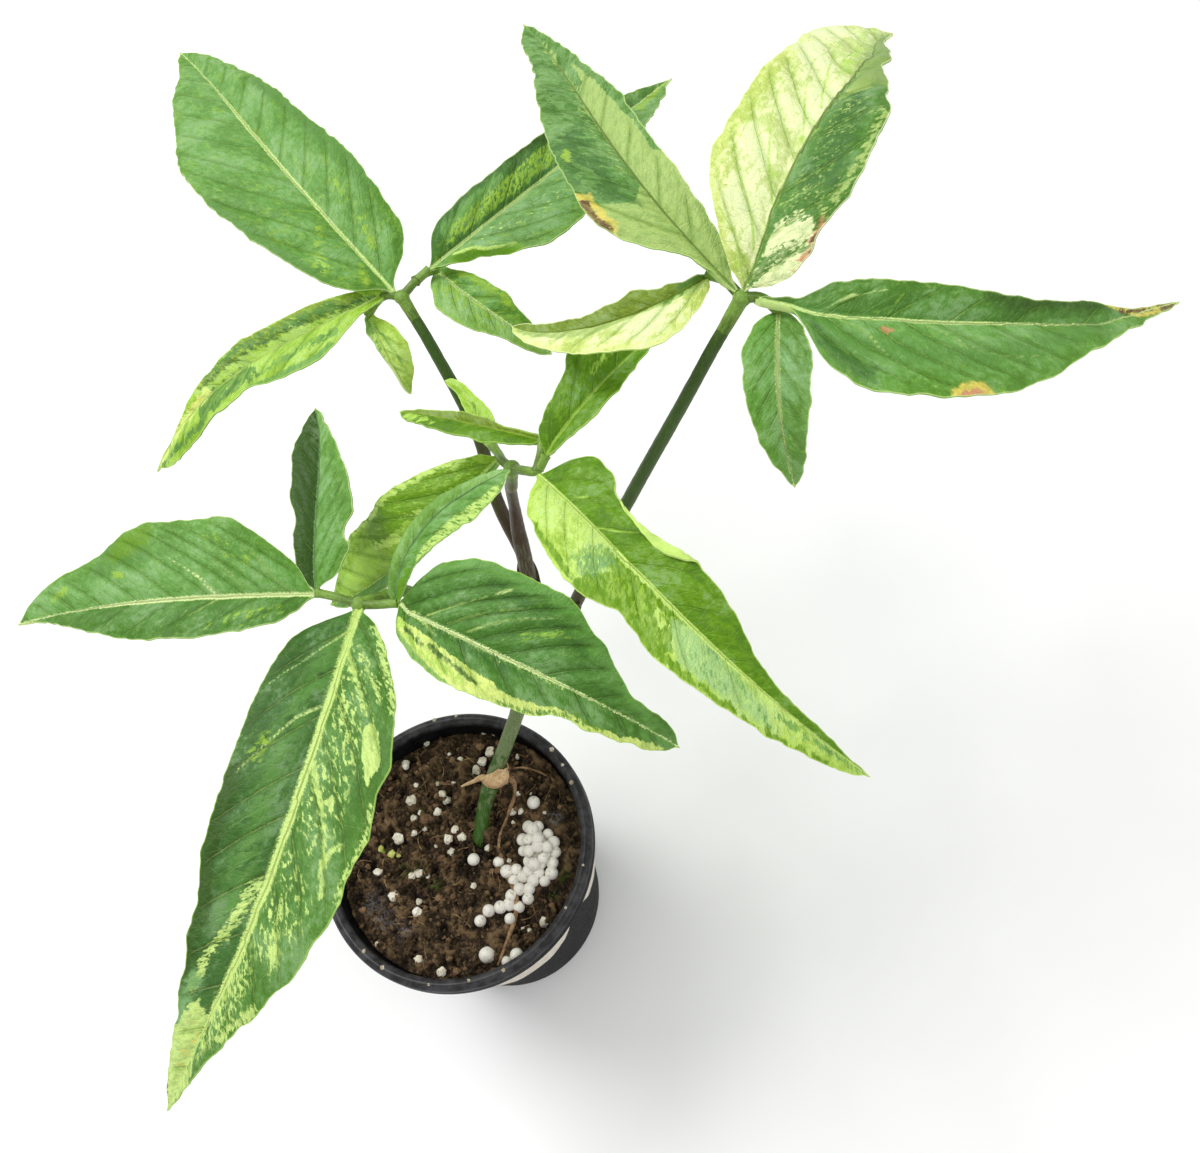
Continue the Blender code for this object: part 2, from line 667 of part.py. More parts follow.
def make_pot():
    """The tapered pot with its rolled lip, foot ring, centre pad and drain holes."""
    lip_inner = RIM_RADIUS - LIP_WIDTH
    lip_round = LIP_WIDTH / 2
    lip_centre = lip_inner + lip_round
    lip_foot = POT_HEIGHT - LIP_DROP
    foot_inner = BASE_RADIUS - FOOT_WIDTH
    floor_top = FOOT_LIFT + FLOOR
    profile = [(0.0, 0.0), (PAD_RADIUS, 0.0), (PAD_RADIUS + EDGE_ROUND, FOOT_LIFT),
               (foot_inner - EDGE_ROUND, FOOT_LIFT), (foot_inner, 0.0), (BASE_RADIUS - EDGE_ROUND, 0.0),
               (wall_radius(EDGE_ROUND), EDGE_ROUND), (wall_radius(lip_foot), lip_foot),
               (RIM_RADIUS, lip_foot)]
    for step in range(2 * LIP_ROUND_STEPS + 1):
        angle = math.pi * step / (2 * LIP_ROUND_STEPS)
        profile.append((lip_centre + lip_round * math.cos(angle),
                        POT_HEIGHT - lip_round + lip_round * math.sin(angle)))
    corner = floor_top + EDGE_ROUND
    profile += [(wall_radius(lip_foot) - WALL, lip_foot), (wall_radius(corner) - WALL, corner),
                (wall_radius(floor_top) - WALL - EDGE_ROUND, floor_top), (0.0, floor_top)]
    material = make_material("pot", (0.02, 0.02, 0.02, 1.0), 0.35)
    pot = make_object("pot", turned(profile, POT_SIDES), material)
    cutters = []
    for hole in range(DRAIN_HOLES):
        angle = 2 * math.pi * (hole + 0.5) / DRAIN_HOLES
        cutter = bmesh.new()
        bmesh.ops.create_cone(cutter, cap_ends=True, segments=DRAIN_SIDES, radius1=DRAIN_RADIUS,
                              radius2=DRAIN_RADIUS, depth=3 * floor_top)
        spot = (DRAIN_RING * math.cos(angle), DRAIN_RING * math.sin(angle), floor_top / 2)
        bmesh.ops.translate(cutter, vec=spot, verts=cutter.verts)
        cutters.append(make_object(f"drain_{hole}", cutter))
    apply_boolean(pot, "DIFFERENCE", cutters)
    return pot


def bed_share(x, y):
    """1 on the level bed of the feed beads, 0 well away from it."""
    turn = math.radians(BEAD_BED_TURN)
    dx, dy = x - BEAD_BED[0], y - BEAD_BED[1]
    across = abs(dx * math.cos(turn) + dy * math.sin(turn)) - BEAD_BED_HALF[0] - BEAD_RADIUS
    along = abs(dy * math.cos(turn) - dx * math.sin(turn)) - BEAD_BED_HALF[1] - BEAD_RADIUS
    away = max(across, along, 0.0)
    for spot in BEAD_TRAIL:
        away = min(away, max(0.0, math.hypot(x - spot[0], y - spot[1]) - 2 * BEAD_RADIUS))
    return max(0.0, 1.0 - away / BED_BLEND)


def soil_height(x, y):
    """The height of the soil's lumpy top."""
    radius = math.hypot(x, y) / (RIM_RADIUS - LIP_WIDTH)
    hump = SOIL_HUMP * (1 - radius ** 2)
    lump = SOIL_LUMP * noise.noise(Vector((x, y, 0.0)) / LUMP_SIZE)
    level = bed_share(x, y)
    return SOIL_TOP + hump * (1 - level) + lump * (1 - level) + level * SOIL_HUMP / 2


def make_soil():
    """The soil that fills the pot, with a plain hole for the cane and grains sunk in its top."""
    floor = FOOT_LIFT + FLOOR + GAP
    top_radius = wall_radius(SOIL_TOP) - WALL - 2 * GAP
    low_radius = wall_radius(floor + 2 * EDGE_ROUND) - WALL - EDGE_ROUND - 2 * GAP
    build = bmesh.new()
    rings = []
    for ring in range(1, SOIL_RINGS + 1):
        radius = top_radius * ring / SOIL_RINGS
        verts = []
        for side in range(POT_SIDES):
            angle = 2 * math.pi * side / POT_SIDES
            x, y = radius * math.cos(angle), radius * math.sin(angle)
            verts.append(build.verts.new((x, y, soil_height(x, y))))
        rings.append(verts)
    bottom = []
    for side in range(POT_SIDES):
        angle = 2 * math.pi * side / POT_SIDES
        bottom.append(build.verts.new((low_radius * math.cos(angle), low_radius * math.sin(angle), floor)))
    rings.append(bottom)
    centre = build.verts.new((0.0, 0.0, soil_height(0.0, 0.0)))
    base = build.verts.new((0.0, 0.0, floor))
    for side in range(POT_SIDES):
        following = (side + 1) % POT_SIDES
        build.faces.new((centre, rings[0][side], rings[0][following]))
        build.faces.new((base, bottom[following], bottom[side]))
        for first, second in zip(rings, rings[1:]):
            build.faces.new((first[side], second[side], second[following]))
            build.faces.new((first[side], second[following], first[following]))
    soil = make_object("soil", build, make_material("soil", (0.05, 0.03, 0.02, 1.0), 0.95))
    grains = []
    for index, (x, y, radius) in enumerate(GRAINS):
        grain = bmesh.new()
        bmesh.ops.create_icosphere(grain, subdivisions=1, radius=radius)
        bmesh.ops.translate(grain, vec=(x, y, soil_height(x, y) + radius * GRAIN_SINK), verts=grain.verts)
        grains.append(make_object(f"grain_{index}", grain))
    apply_boolean(soil, "UNION", grains)
    apply_boolean(soil, "DIFFERENCE", [cane_hole()])
    return soil


def cane_hole():
    """A round cutter along the cane's buried foot."""
    low, high = Vector(CANE_ROUTE[0]), Vector(CANE_ROUTE[2])
    axis = (high - low).normalized()
    cutter = bmesh.new()
    radius = CANE_RADIUS + HOLE_CLEARANCE
    bmesh.ops.create_cone(cutter, cap_ends=True, segments=2 * CANE_SIDES, radius1=radius, radius2=radius,
                          depth=HOLE_LENGTH)
    turn = axis.to_track_quat("Z", "Y").to_matrix()
    bmesh.ops.rotate(cutter, matrix=turn, verts=cutter.verts)
    middle = low + axis * (HOLE_LENGTH / 2 - GAP - WALL)
    bmesh.ops.translate(cutter, vec=middle, verts=cutter.verts)
    return make_object("cane_hole", cutter)


def heap_spots():
    """The heap's beads, close packed on their bed."""
    turn = math.radians(BEAD_BED_TURN)
    spots = []
    rows = int(BEAD_BED_HALF[1] / (BEAD_PITCH * math.sqrt(3) / 2))
    columns = int(BEAD_BED_HALF[0] / BEAD_PITCH) + 1
    for row in range(-rows, rows + 1):
        for column in range(-columns, columns + 1):
            across = (column + 0.5 * (row % 2)) * BEAD_PITCH
            along = row * BEAD_PITCH * math.sqrt(3) / 2
            if (across / BEAD_BED_HALF[0]) ** 2 + (along / BEAD_BED_HALF[1]) ** 2 > 1.0:
                continue
            spots.append((BEAD_BED[0] + across * math.cos(turn) - along * math.sin(turn),
                          BEAD_BED[1] + across * math.sin(turn) + along * math.cos(turn)))
    return spots


def make_beads(name, spots):
    """A body of feed beads, each a little sunk in its neighbours."""
    height = SOIL_TOP + SOIL_HUMP / 2 + BEAD_RADIUS + GAP
    turn = Matrix.Rotation(math.radians(BEAD_BED_TURN), 3, "Z")
    pieces = []
    for index, (x, y) in enumerate(spots):
        bead = bmesh.new()
        bmesh.ops.create_uvsphere(bead, u_segments=BEAD_SEGMENTS, v_segments=BEAD_RINGS, radius=BEAD_RADIUS)
        bmesh.ops.rotate(bead, matrix=turn, verts=bead.verts)
        bmesh.ops.translate(bead, vec=(x, y, height), verts=bead.verts)
        pieces.append(make_object(f"{name}_{index}", bead))
    first = pieces.pop(0)
    first.name = name
    first.data.materials.append(make_material(name, (0.75, 0.73, 0.68, 1.0), 0.5))
    apply_boolean(first, "UNION", pieces)
    return first


def make_band():
    """The plain paper band that stands just off the pot's wall."""
    build = bmesh.new()
    rings = []
    for step in range(BAND_STEPS + 1):
        angle = math.radians(mix((BAND_START, BAND_END), step / BAND_STEPS))
        ring = []
        for extra, height in ((GAP, BAND_BOTTOM), (GAP + BAND_THICK, BAND_BOTTOM),
                              (GAP + BAND_THICK, BAND_TOP), (GAP, BAND_TOP)):
            radius = wall_radius(height) + extra
            ring.append(build.verts.new((radius * math.cos(angle), radius * math.sin(angle), height)))
        rings.append(ring)
    for first, second in zip(rings, rings[1:]):
        for corner in range(4):
            following = (corner + 1) % 4
            build.faces.new((first[corner], first[following], second[following], second[corner]))
    build.faces.new(rings[0])
    build.faces.new(rings[-1])
    return make_object("paper_band", build, make_material("paper_band", (0.8, 0.77, 0.7, 1.0), 0.6))


def make_sheath():
    """The dry sheath round the cane's lowest joint, with the spike that it ends in."""
    frames = route_frames(cane_points())
    first = round(SHEATH_START * (len(frames) - 1))
    clasped = frames[first:first + SHEATH_RINGS]
    inner = CANE_RADIUS + SHEATH_CLEARANCE
    half_angles = [mix(SHEATH_OPEN, index / (SHEATH_RINGS - 1)) for index in range(SHEATH_RINGS)]
    sleeve = wrap_mesh(clasped, SHEATH_FACING, inner, SHEATH_WALL, half_angles)
    body = make_object("dry_sheath", sleeve, make_material("dry_sheath", (0.62, 0.48, 0.32, 1.0), 0.8))
    point = (clasped[0][0] + clasped[1][0]) / 2
    tangent = clasped[0][1]
    front = Vector(SHEATH_FACING)
    front = (front - tangent * front.dot(tangent)).normalized()
    angle = math.radians(SPIKE_ANGLE)
    out = front * math.cos(angle) + tangent.cross(front) * math.sin(angle)
    outer = inner + SHEATH_WALL
    route = [point + out * (inner + SHEATH_WALL / 2), point + out * (outer + SPIKE_STEP_OUT)]
    route += SPIKE_ROUTE
    spike = make_object("dry_sheath_spike", tube([Vector(spot) for spot in route], SPIKE_RADII, FIBRE_SIDES))
    apply_boolean(body, "UNION", [spike])
    return body


def make_fibre():
    """The dry root fibre that curls from the sheath down to the soil."""
    lay = [(x, y, soil_height(x, y) + FIBRE_RADIUS + LAY_CLEARANCE) for x, y in FIBRE_LAY]
    points = route_points(list(FIBRE_ROUTE) + lay, FIBRE_STEP)
    return make_object("dry_fibre", tube(points, [FIBRE_RADIUS] * len(points), FIBRE_SIDES),
                       make_material("dry_fibre", (0.35, 0.24, 0.15, 1.0), 0.8))


def main():
    """Builds the whole plant in its pot."""
    clear_scene()
    make_pot()
    make_band()
    make_soil()
    make_beads("feed_bead_heap", heap_spots())
    make_beads("feed_bead_trail", BEAD_TRAIL)
    make_cane()
    make_sheath()
    make_fibre()
    for name, stalk in STALKS.items():
        make_stalk(name, stalk)
    for name, leaf in LEAVES.items():
        make_leaf(name, leaf)


main()
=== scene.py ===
"""Dressed model of the potted syngonium: variegated leaves on a leaning cane in a black nursery pot.

Lengths are millimetres, unless a name says otherwise, and meshes are made in metres. A heading is read
from above, clockwise from +Y, and a rise is the slope above the level. A place on a blade is a share of
its length and a side, from -1 at the left margin, over 0 at the middle, to 1 at the right margin.
"""

import logging
import math
from collections.abc import Callable
from dataclasses import dataclass
from enum import Enum

import bpy
import numpy as np
from mathutils import Matrix, Vector, noise


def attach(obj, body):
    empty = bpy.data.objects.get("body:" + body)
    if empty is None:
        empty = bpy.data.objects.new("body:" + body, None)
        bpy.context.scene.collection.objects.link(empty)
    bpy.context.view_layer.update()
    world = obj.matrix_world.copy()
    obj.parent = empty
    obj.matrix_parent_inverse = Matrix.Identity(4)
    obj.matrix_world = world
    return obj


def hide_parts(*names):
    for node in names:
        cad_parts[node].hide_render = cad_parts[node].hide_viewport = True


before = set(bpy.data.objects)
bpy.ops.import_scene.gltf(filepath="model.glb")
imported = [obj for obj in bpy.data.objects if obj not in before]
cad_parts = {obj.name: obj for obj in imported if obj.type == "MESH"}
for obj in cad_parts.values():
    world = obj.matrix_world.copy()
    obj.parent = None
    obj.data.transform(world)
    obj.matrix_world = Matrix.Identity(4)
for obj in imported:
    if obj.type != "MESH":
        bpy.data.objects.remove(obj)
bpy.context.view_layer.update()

log = logging.getLogger("syngonium")

MM = 0.001
IN_MM = 1000.0
MERGE_DISTANCE = 1e-6
TINY = 1e-9
SMOOTH_ANGLE = 60.0

# The photograph's view
CAMERA_PLACE = (84.419, -142.547, 499.39)
CAMERA_RIGHT = (0.92524, -0.33393, -0.18004)
CAMERA_UP = (0.37937, 0.81441, 0.43911)
CAMERA_BACK = (0.0, -0.47458, 0.88021)
LENS = 36.0

# How the leaves' greens are shaded, as shares of red, green and blue. The furrow and margin shares are
# painted shade, and the green for the swellings is a painted grey sheen.
FURROW_SHADE = (0.56, 0.66, 0.42)
PORE_SHADE = (0.78, 0.84, 0.72)
HOLLOW_SHADE = (0.6, 0.68, 0.38)
MARGIN_SHADE = (0.76, 0.84, 0.3)
UNDER_SHADE = (0.72, 0.78, 0.7)
STEM_SHADE = (0.7, 0.72, 0.68)
PAINTED_SHEEN_GREEN = (0.5, 0.68, 0.42, 1.0)
LEAF_GLOSS = 0.25

Point = tuple[float, float, float]
Spot = tuple[float, float]
Light = tuple[float, float, float, float]
Ball = tuple[float, float, float, float]
Bytes = tuple[int, int, int]
Array = np.ndarray
Item = bpy.types.Object
Material = bpy.types.Material
Tree = bpy.types.NodeTree
Node = bpy.types.Node
Socket = bpy.types.NodeSocket


class Tint(Enum):
    """The colours of the plant and its pot, as the bytes of a screen colour."""

    MID_GREEN = (109, 159, 77)
    LEAF_GREEN = (88, 136, 58)
    DARK_GREEN = (64, 108, 44)
    DEEP_GREEN = (46, 80, 10)
    BRIGHT_GREEN = (102, 146, 4)
    BLUE_GREEN = (120, 164, 100)
    OLIVE = (124, 146, 44)
    SAGE = (170, 194, 112)
    LIME = (176, 212, 90)
    PALE_LIME = (200, 228, 122)
    YELLOW_GREEN = (152, 188, 62)
    CREAM_YELLOW = (222, 236, 134)
    CREAM = (240, 246, 190)
    YELLOW = (222, 202, 96)
    PINK = (206, 142, 110)
    BURN = (98, 72, 48)
    RIB_PALE = (206, 228, 146)
    RIB_CREAM = (222, 236, 168)
    VEIN_GREEN = (138, 166, 84)
    LIME_CREAM = (202, 226, 132)
    PALE_SAGE = (166, 202, 132)
    SOFT_GREEN = (142, 184, 114)
    UNDERSIDE = (150, 186, 98)
    UNDERSIDE_OLIVE = (104, 152, 18)

    def linear(self) -> Light:
        """The colour as linear light, with full alpha."""
        return screen_colour(self.value)


def screen_colour(values: Bytes) -> Light:
    """Turns screen bytes into linear light.

    Args:
        values: red, green and blue, from 0 to 255.

    Returns:
        The colour with full alpha.
    """
    parts = [value / 255 for value in values]
    light = [part / 12.92 if part <= 0.04045 else ((part + 0.055) / 1.055) ** 2.4 for part in parts]
    return (light[0], light[1], light[2], 1.0)


@dataclass(frozen=True)
class Mark:
    """One coloured area of a blade, or a streak along a path when it has a width.

    Ragged is how far its edge wanders, grain the size of that wandering, soft the width of its
    blurred edge, all in millimetres, and cover is the share of it that is painted.
    """

    tint: Tint
    spots: tuple[Spot, ...]
    width: float = 0.0
    end_width: float = 0.0
    ragged: float = 1.6
    grain: float = 2.2
    soft: float = 0.35
    cover: float = 1.0


@dataclass(frozen=True)
class Curl:
    """A stretch of margin that folds along a line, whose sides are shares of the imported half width."""

    side: int
    line: tuple[Spot, ...]
    angle: float
    bend: float = 0.5


@dataclass(frozen=True)
class BladeFinish:
    """The colours of one blade: its two halves, its veins and its margin."""

    left: Tint
    right: Tint
    rib: Tint = Tint.RIB_PALE
    rib_width: float = 1.2
    rib_feather: float = 1.0
    rib_end: float = 0.9
    vein: Tint = Tint.YELLOW_GREEN
    vein_gain: float = 0.24
    # How strong the painted shade is in the crease beside each side vein.
    crease: float = 0.5
    margin: Tint = Tint.RIB_PALE
    mottle: Tint = Tint.YELLOW_GREEN
    mottle_cover: float = 0.2
    under: Tint = Tint.UNDERSIDE


@dataclass(frozen=True)
class Blade:
    """One leaflet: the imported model's measures, and the finer ones that the photograph shows."""

    root: Point
    length: float
    heading: Point
    rise: Point
    left: tuple[float, ...]
    right: tuple[float, ...]
    roll: Spot
    fold: Spot
    curl: Spot
    wave: Point
    finish: BladeFinish
    marks: tuple[Mark, ...] = ()
    left_margin: tuple[Spot, ...] = ()
    right_margin: tuple[Spot, ...] = ()
    left_veins: tuple[float, ...] = (0.04, 0.14, 0.25, 0.37, 0.5, 0.63, 0.76)
    right_veins: tuple[float, ...] = (0.03, 0.12, 0.22, 0.34, 0.47, 0.6, 0.73)
    lean: Spot = (1.25, 1.25)
    midrib: tuple[Spot, ...] = ((0.0, 0.0), (1.0, 0.0))
    quilt: float = 1.0
    curls: tuple[Curl, ...] = ()


class Wiring:
    """Places the nodes of one tree and joins them."""

    def __init__(self, tree: Tree) -> None:
        """Keeps the tree that it works on."""
        self.tree = tree

    def place(self, kind: str, **settings: object) -> Node:
        """Adds a node and sets its properties."""
        node = self.tree.nodes.new(kind)
        for key, value in settings.items():
            setattr(node, key, value)
        return node

    def feed(self, socket: Socket, value: object) -> None:
        """Joins an output to the socket, or sets the socket's value."""
        if isinstance(value, Socket):
            self.tree.links.new(value, socket)
        else:
            socket.default_value = value

    def math(self, operation: str, first: object, second: object = 0.0) -> Socket:
        """One sum of two values."""
        node = self.place("ShaderNodeMath", operation=operation)
        self.feed(node.inputs[0], first)
        self.feed(node.inputs[1], second)
        return node.outputs[0]

    def times(self, first: object, second: object) -> Socket:
        """One value times the other."""
        return self.math("MULTIPLY", first, second)

    def plus(self, first: object, second: object) -> Socket:
        """One value and the other together."""
        return self.math("ADD", first, second)

    def minus(self, first: object, second: object) -> Socket:
        """The first value less the second."""
        return self.math("SUBTRACT", first, second)

    def blend(self, factor: object, first: object, second: object, kind: str = "MIX") -> Socket:
        """Mixes two colours."""
        node = self.place("ShaderNodeMix", data_type="RGBA", blend_type=kind)
        self.feed(node.inputs[0], factor)
        self.feed(node.inputs[6], first)
        self.feed(node.inputs[7], second)
        return node.outputs[2]

    def tone(self, colour: object, share: Point) -> Socket:
        """The colour with its red, green and blue cut to these shares."""
        return self.blend(1.0, colour, (*share, 1.0), "MULTIPLY")

    def paint(self, mask: object, ground: object, colour: Bytes) -> Socket:
        """Lays a screen colour over the ground as far as the mask says."""
        return self.blend(mask, ground, screen_colour(colour))

    def span(self, value: object, low: object, high: object, start: object = 0.0,
             end: object = 1.0) -> Socket:
        """A smooth step from one value to another as the input goes from low to high."""
        node = self.place("ShaderNodeMapRange", interpolation_type="SMOOTHSTEP")
        for index, entry in enumerate((value, low, high, start, end)):
            self.feed(node.inputs[index], entry)
        return node.outputs[0]

    def noise(self, vector: object, scale: object, detail: float = 2.0, rough: float = 0.5) -> Socket:
        """A soft noise value round 0.5."""
        node = self.place("ShaderNodeTexNoise")
        for name, value in (("Vector", vector), ("Scale", scale), ("Detail", detail), ("Roughness", rough)):
            self.feed(node.inputs[name], value)
        return node.outputs[0]

    def cells(self, vector: object, scale: object, feature: str = "F1") -> Socket:
        """A cell pattern's distance."""
        node = self.place("ShaderNodeTexVoronoi", feature=feature)
        self.feed(node.inputs["Vector"], vector)
        self.feed(node.inputs["Scale"], scale)
        return node.outputs["Distance"]

    def stretch(self, vector: object, scale: Point, shift: Point = (0.0, 0.0, 0.0)) -> Socket:
        """Scales and shifts a pattern's coordinates."""
        node = self.place("ShaderNodeMapping")
        self.feed(node.inputs["Vector"], vector)
        self.feed(node.inputs["Location"], shift)
        self.feed(node.inputs["Scale"], scale)
        return node.outputs[0]

    def reading(self, name: str, output: str = "Fac") -> Socket:
        """Reads one of the piece's own attributes."""
        return self.place("ShaderNodeAttribute", attribute_name=name).outputs[output]

    def spot(self) -> Socket:
        """The object's coordinates, in millimetres."""
        place = self.place("ShaderNodeTexCoord").outputs["Object"]
        return self.stretch(place, (IN_MM,) * 3)

    def bump(self, height: object, distance: float, strength: float = 1.0) -> Socket:
        """A normal from a height."""
        node = self.place("ShaderNodeBump")
        self.feed(node.inputs["Strength"], strength)
        self.feed(node.inputs["Distance"], distance * MM)
        self.feed(node.inputs["Height"], height)
        return node.outputs[0]

    def surface(self, shader: Node, colour: Socket, roughness: Socket, gloss: float, normal: Socket) -> None:
        """Joins a finish to its shader, and sets how much of the light it mirrors."""
        self.feed(shader.inputs["Base Color"], colour)
        self.feed(shader.inputs["Roughness"], roughness)
        self.feed(shader.inputs["Specular IOR Level"], gloss)
        self.feed(shader.inputs["Normal"], normal)

    def use(self, group: Tree, **inputs: object) -> Node:
        """Places a node group with its own values."""
        node = self.place("ShaderNodeGroup")
        node.node_tree = group
        for key, value in inputs.items():
            self.feed(node.inputs[key], value)
        return node


def open_group(name: str, inputs: dict[str, str],
               outputs: dict[str, str]) -> tuple[Tree, Wiring, object, object]:
    """Starts a shader node group.

    Args:
        name: the group's name.
        inputs: its inputs, each with Float, Vector or Color.
        outputs: its outputs, likewise.

    Returns:
        The group, the helper that joins its nodes, its inputs' sockets and its outputs' sockets.
    """
    group = bpy.data.node_groups.new(name, "ShaderNodeTree")
    for title, kind in inputs.items():
        group.interface.new_socket(name=title, in_out="INPUT", socket_type="NodeSocket" + kind)
    for title, kind in outputs.items():
        group.interface.new_socket(name=title, in_out="OUTPUT", socket_type="NodeSocket" + kind)
    wire = Wiring(group)
    entry = wire.place("NodeGroupInput")
    leave = wire.place("NodeGroupOutput")
    return group, wire, entry.outputs, leave.inputs


class Patterns:
    """The node groups that the materials share."""

    def __init__(self) -> None:
        """Builds each group once."""
        self.mark = self.build_mark()
        self.veins = self.build_veins()
        self.midrib = self.build_midrib()
        self.leaf_grain = self.build_leaf_grain()
        self.speckle = self.build_speckle()

    def build_mark(self) -> Tree:
        """A painted area with a ragged edge that follows the veins."""
        names = {"Distance": "Float", "Flow": "Vector", "Ragged": "Float", "Grain": "Float", "Soft": "Float",
                 "Cover": "Float"}
        rough = {"detail": 4.0, "rough": 0.62}
        group, wire, entry, leave = open_group("ragged_mark", names, {"Mask": "Float"})
        scale = wire.math("DIVIDE", 1.0, entry["Grain"])
        parts = wire.place("ShaderNodeSeparateXYZ")
        wire.feed(parts.inputs[0], entry["Flow"])
        back = wire.minus(parts.outputs["X"], wire.times(parts.outputs["Y"], 0.4))
        drawn = wire.place("ShaderNodeCombineXYZ")
        wire.feed(drawn.inputs["X"], back)
        wire.feed(drawn.inputs["Y"], wire.times(parts.outputs["Y"], 0.72))
        wire.feed(drawn.inputs["Z"], parts.outputs["Z"])
        even = drawn.outputs["Vector"]
        coarse = wire.noise(even, scale, **rough)
        wander = wire.times(wire.minus(coarse, 0.5), 4.4)
        distance = wire.plus(entry["Distance"], wire.times(wander, entry["Ragged"]))
        low = wire.times(entry["Soft"], -1.0)
        edge = wire.span(distance, low, entry["Soft"])
        apart = wire.stretch(even, (1.0, 1.0, 1.0), (31.0, 17.0, 5.0))
        fine = wire.noise(apart, wire.times(scale, 1.3), **rough)
        limit = wire.minus(0.76, wire.times(entry["Cover"], 0.56))
        speck = wire.span(fine, wire.minus(limit, 0.035), wire.plus(limit, 0.035))
        worn = wire.noise(wire.stretch(even, (1.0, 1.0, 1.0), (3.0, 41.0, 9.0)), 0.55, 3.0, 0.6)
        strength = wire.span(worn, 0.36, 0.6, 0.66, 1.0)
        wire.feed(leave["Mask"], wire.times(wire.times(edge, speck), strength))
        return group

    def build_veins(self) -> Tree:
        """The side veins, the fine net between them, the painted shade in the crease beside each vein, and
        the relief of both.
        """
        names = {"Vein": "Float", "Gap": "Float", "Edge": "Float", "Flow": "Vector", "Width": "Float"}
        results = {"Line": "Float", "CreaseShade": "Float", "Net": "Float", "Height": "Float"}
        group, wire, entry, leave = open_group("side_veins", names, results)
        wobble = wire.minus(wire.noise(entry["Flow"], 0.35, 2.0), 0.5)

        def away_from(place: object, wander: float) -> Socket:
            """How far a spot is from the nearest whole vein number, with a wavering course."""
            share = wire.math("ABSOLUTE", wire.minus(wire.math("FRACT", place), 0.5))
            distance = wire.plus(wire.times(share, entry["Gap"]), wire.times(wobble, wander))
            return wire.math("ABSOLUTE", distance)

        away = away_from(wire.plus(entry["Vein"], 0.5), 0.7)
        inside = wire.span(entry["Edge"], 0.4, 4.0)
        line = wire.times(wire.span(away, 0.0, entry["Width"], 1.0, 0.0), inside)
        # Painted shade in the crease beside the vein line.
        crease = wire.times(wire.span(away, entry["Width"], 1.5, 1.0, 0.0), inside)
        between = away_from(entry["Vein"], 1.6)
        minor = wire.times(wire.span(between, 0.0, 0.45, 0.55, 0.0), wire.span(entry["Edge"], 0.4, 3.0))
        net = wire.cells(wire.stretch(entry["Flow"], (1.0, 0.55, 1.0)), 0.42, "DISTANCE_TO_EDGE")
        threads = wire.math("MAXIMUM", minor, wire.span(net, 0.0, 0.11, 0.4, 0.0))
        wire.feed(leave["Line"], line)
        wire.feed(leave["CreaseShade"], crease)
        wire.feed(leave["Net"], threads)
        wire.feed(leave["Height"], wire.minus(1.0, wire.plus(line, threads)))
        return group

    def build_midrib(self) -> Tree:
        """The feathered line of the midrib."""
        names = {"Rib": "Float", "Along": "Float", "Flow": "Vector", "Width": "Float", "Feather": "Float",
                 "End": "Float"}
        group, wire, entry, leave = open_group("midrib_line", names, {"Line": "Float"})
        away = wire.math("ABSOLUTE", entry["Rib"])
        rough = wire.minus(wire.noise(entry["Flow"], 1.7, 4.0, 0.7), 0.5)
        away = wire.plus(away, wire.times(rough, wire.times(entry["Feather"], 2.4)))
        start = wire.times(entry["End"], 0.55)
        fade = wire.span(entry["Along"], start, entry["End"], 1.0, 0.12)
        half = wire.times(wire.times(entry["Width"], 0.5), fade)
        wire.feed(leave["Line"], wire.span(away, wire.times(half, 0.6), wire.plus(half, 0.3), 1.0, 0.0))
        return group

    def build_leaf_grain(self) -> Tree:
        """The leaf's cloudy tone, its pores and its fine pimpled relief."""
        results = {"Tone": "Float", "Pores": "Float", "Height": "Float"}
        group, wire, entry, leave = open_group("leaf_grain", {"Flow": "Vector"}, results)
        even = wire.stretch(entry["Flow"], (1.0, 1.15, 1.0))
        broad = wire.noise(even, 0.07, 4.0, 0.62)
        streak = wire.noise(even, 0.5, 5.0, 0.66)
        tone = wire.plus(wire.times(broad, 0.6), wire.times(streak, 0.4))
        wire.feed(leave["Tone"], wire.span(tone, 0.36, 0.64))
        pores = wire.noise(even, 2.2, 3.0, 0.7)
        wire.feed(leave["Pores"], wire.span(pores, 0.36, 0.66))
        wire.feed(leave["Height"], wire.plus(wire.times(pores, 0.5), wire.times(streak, 0.7)))
        return group

    def build_speckle(self) -> Tree:
        """A two-scale speckle on object coordinates, for the pot, soil, stalks and papery parts."""
        group, wire, entry, leave = open_group("speckle", {"Spot": "Vector", "Grain": "Float"},
                                               {"Broad": "Float", "Fine": "Float"})
        scale = wire.math("DIVIDE", 1.0, entry["Grain"])
        broad = wire.noise(entry["Spot"], wire.times(scale, 0.2), 3.0, 0.6)
        wire.feed(leave["Broad"], wire.span(broad, 0.32, 0.68))
        fine = wire.noise(entry["Spot"], scale, 4.0, 0.65)
        wire.feed(leave["Fine"], wire.span(fine, 0.35, 0.65))
        return group


def new_material(name: str) -> tuple[Material, Wiring, Node]:
    """Starts a material, and gives the helper that joins its nodes and its shader."""
    material = bpy.data.materials.new(name)
    material.use_nodes = True
    wire = Wiring(material.node_tree)
    return material, wire, material.node_tree.nodes["Principled BSDF"]


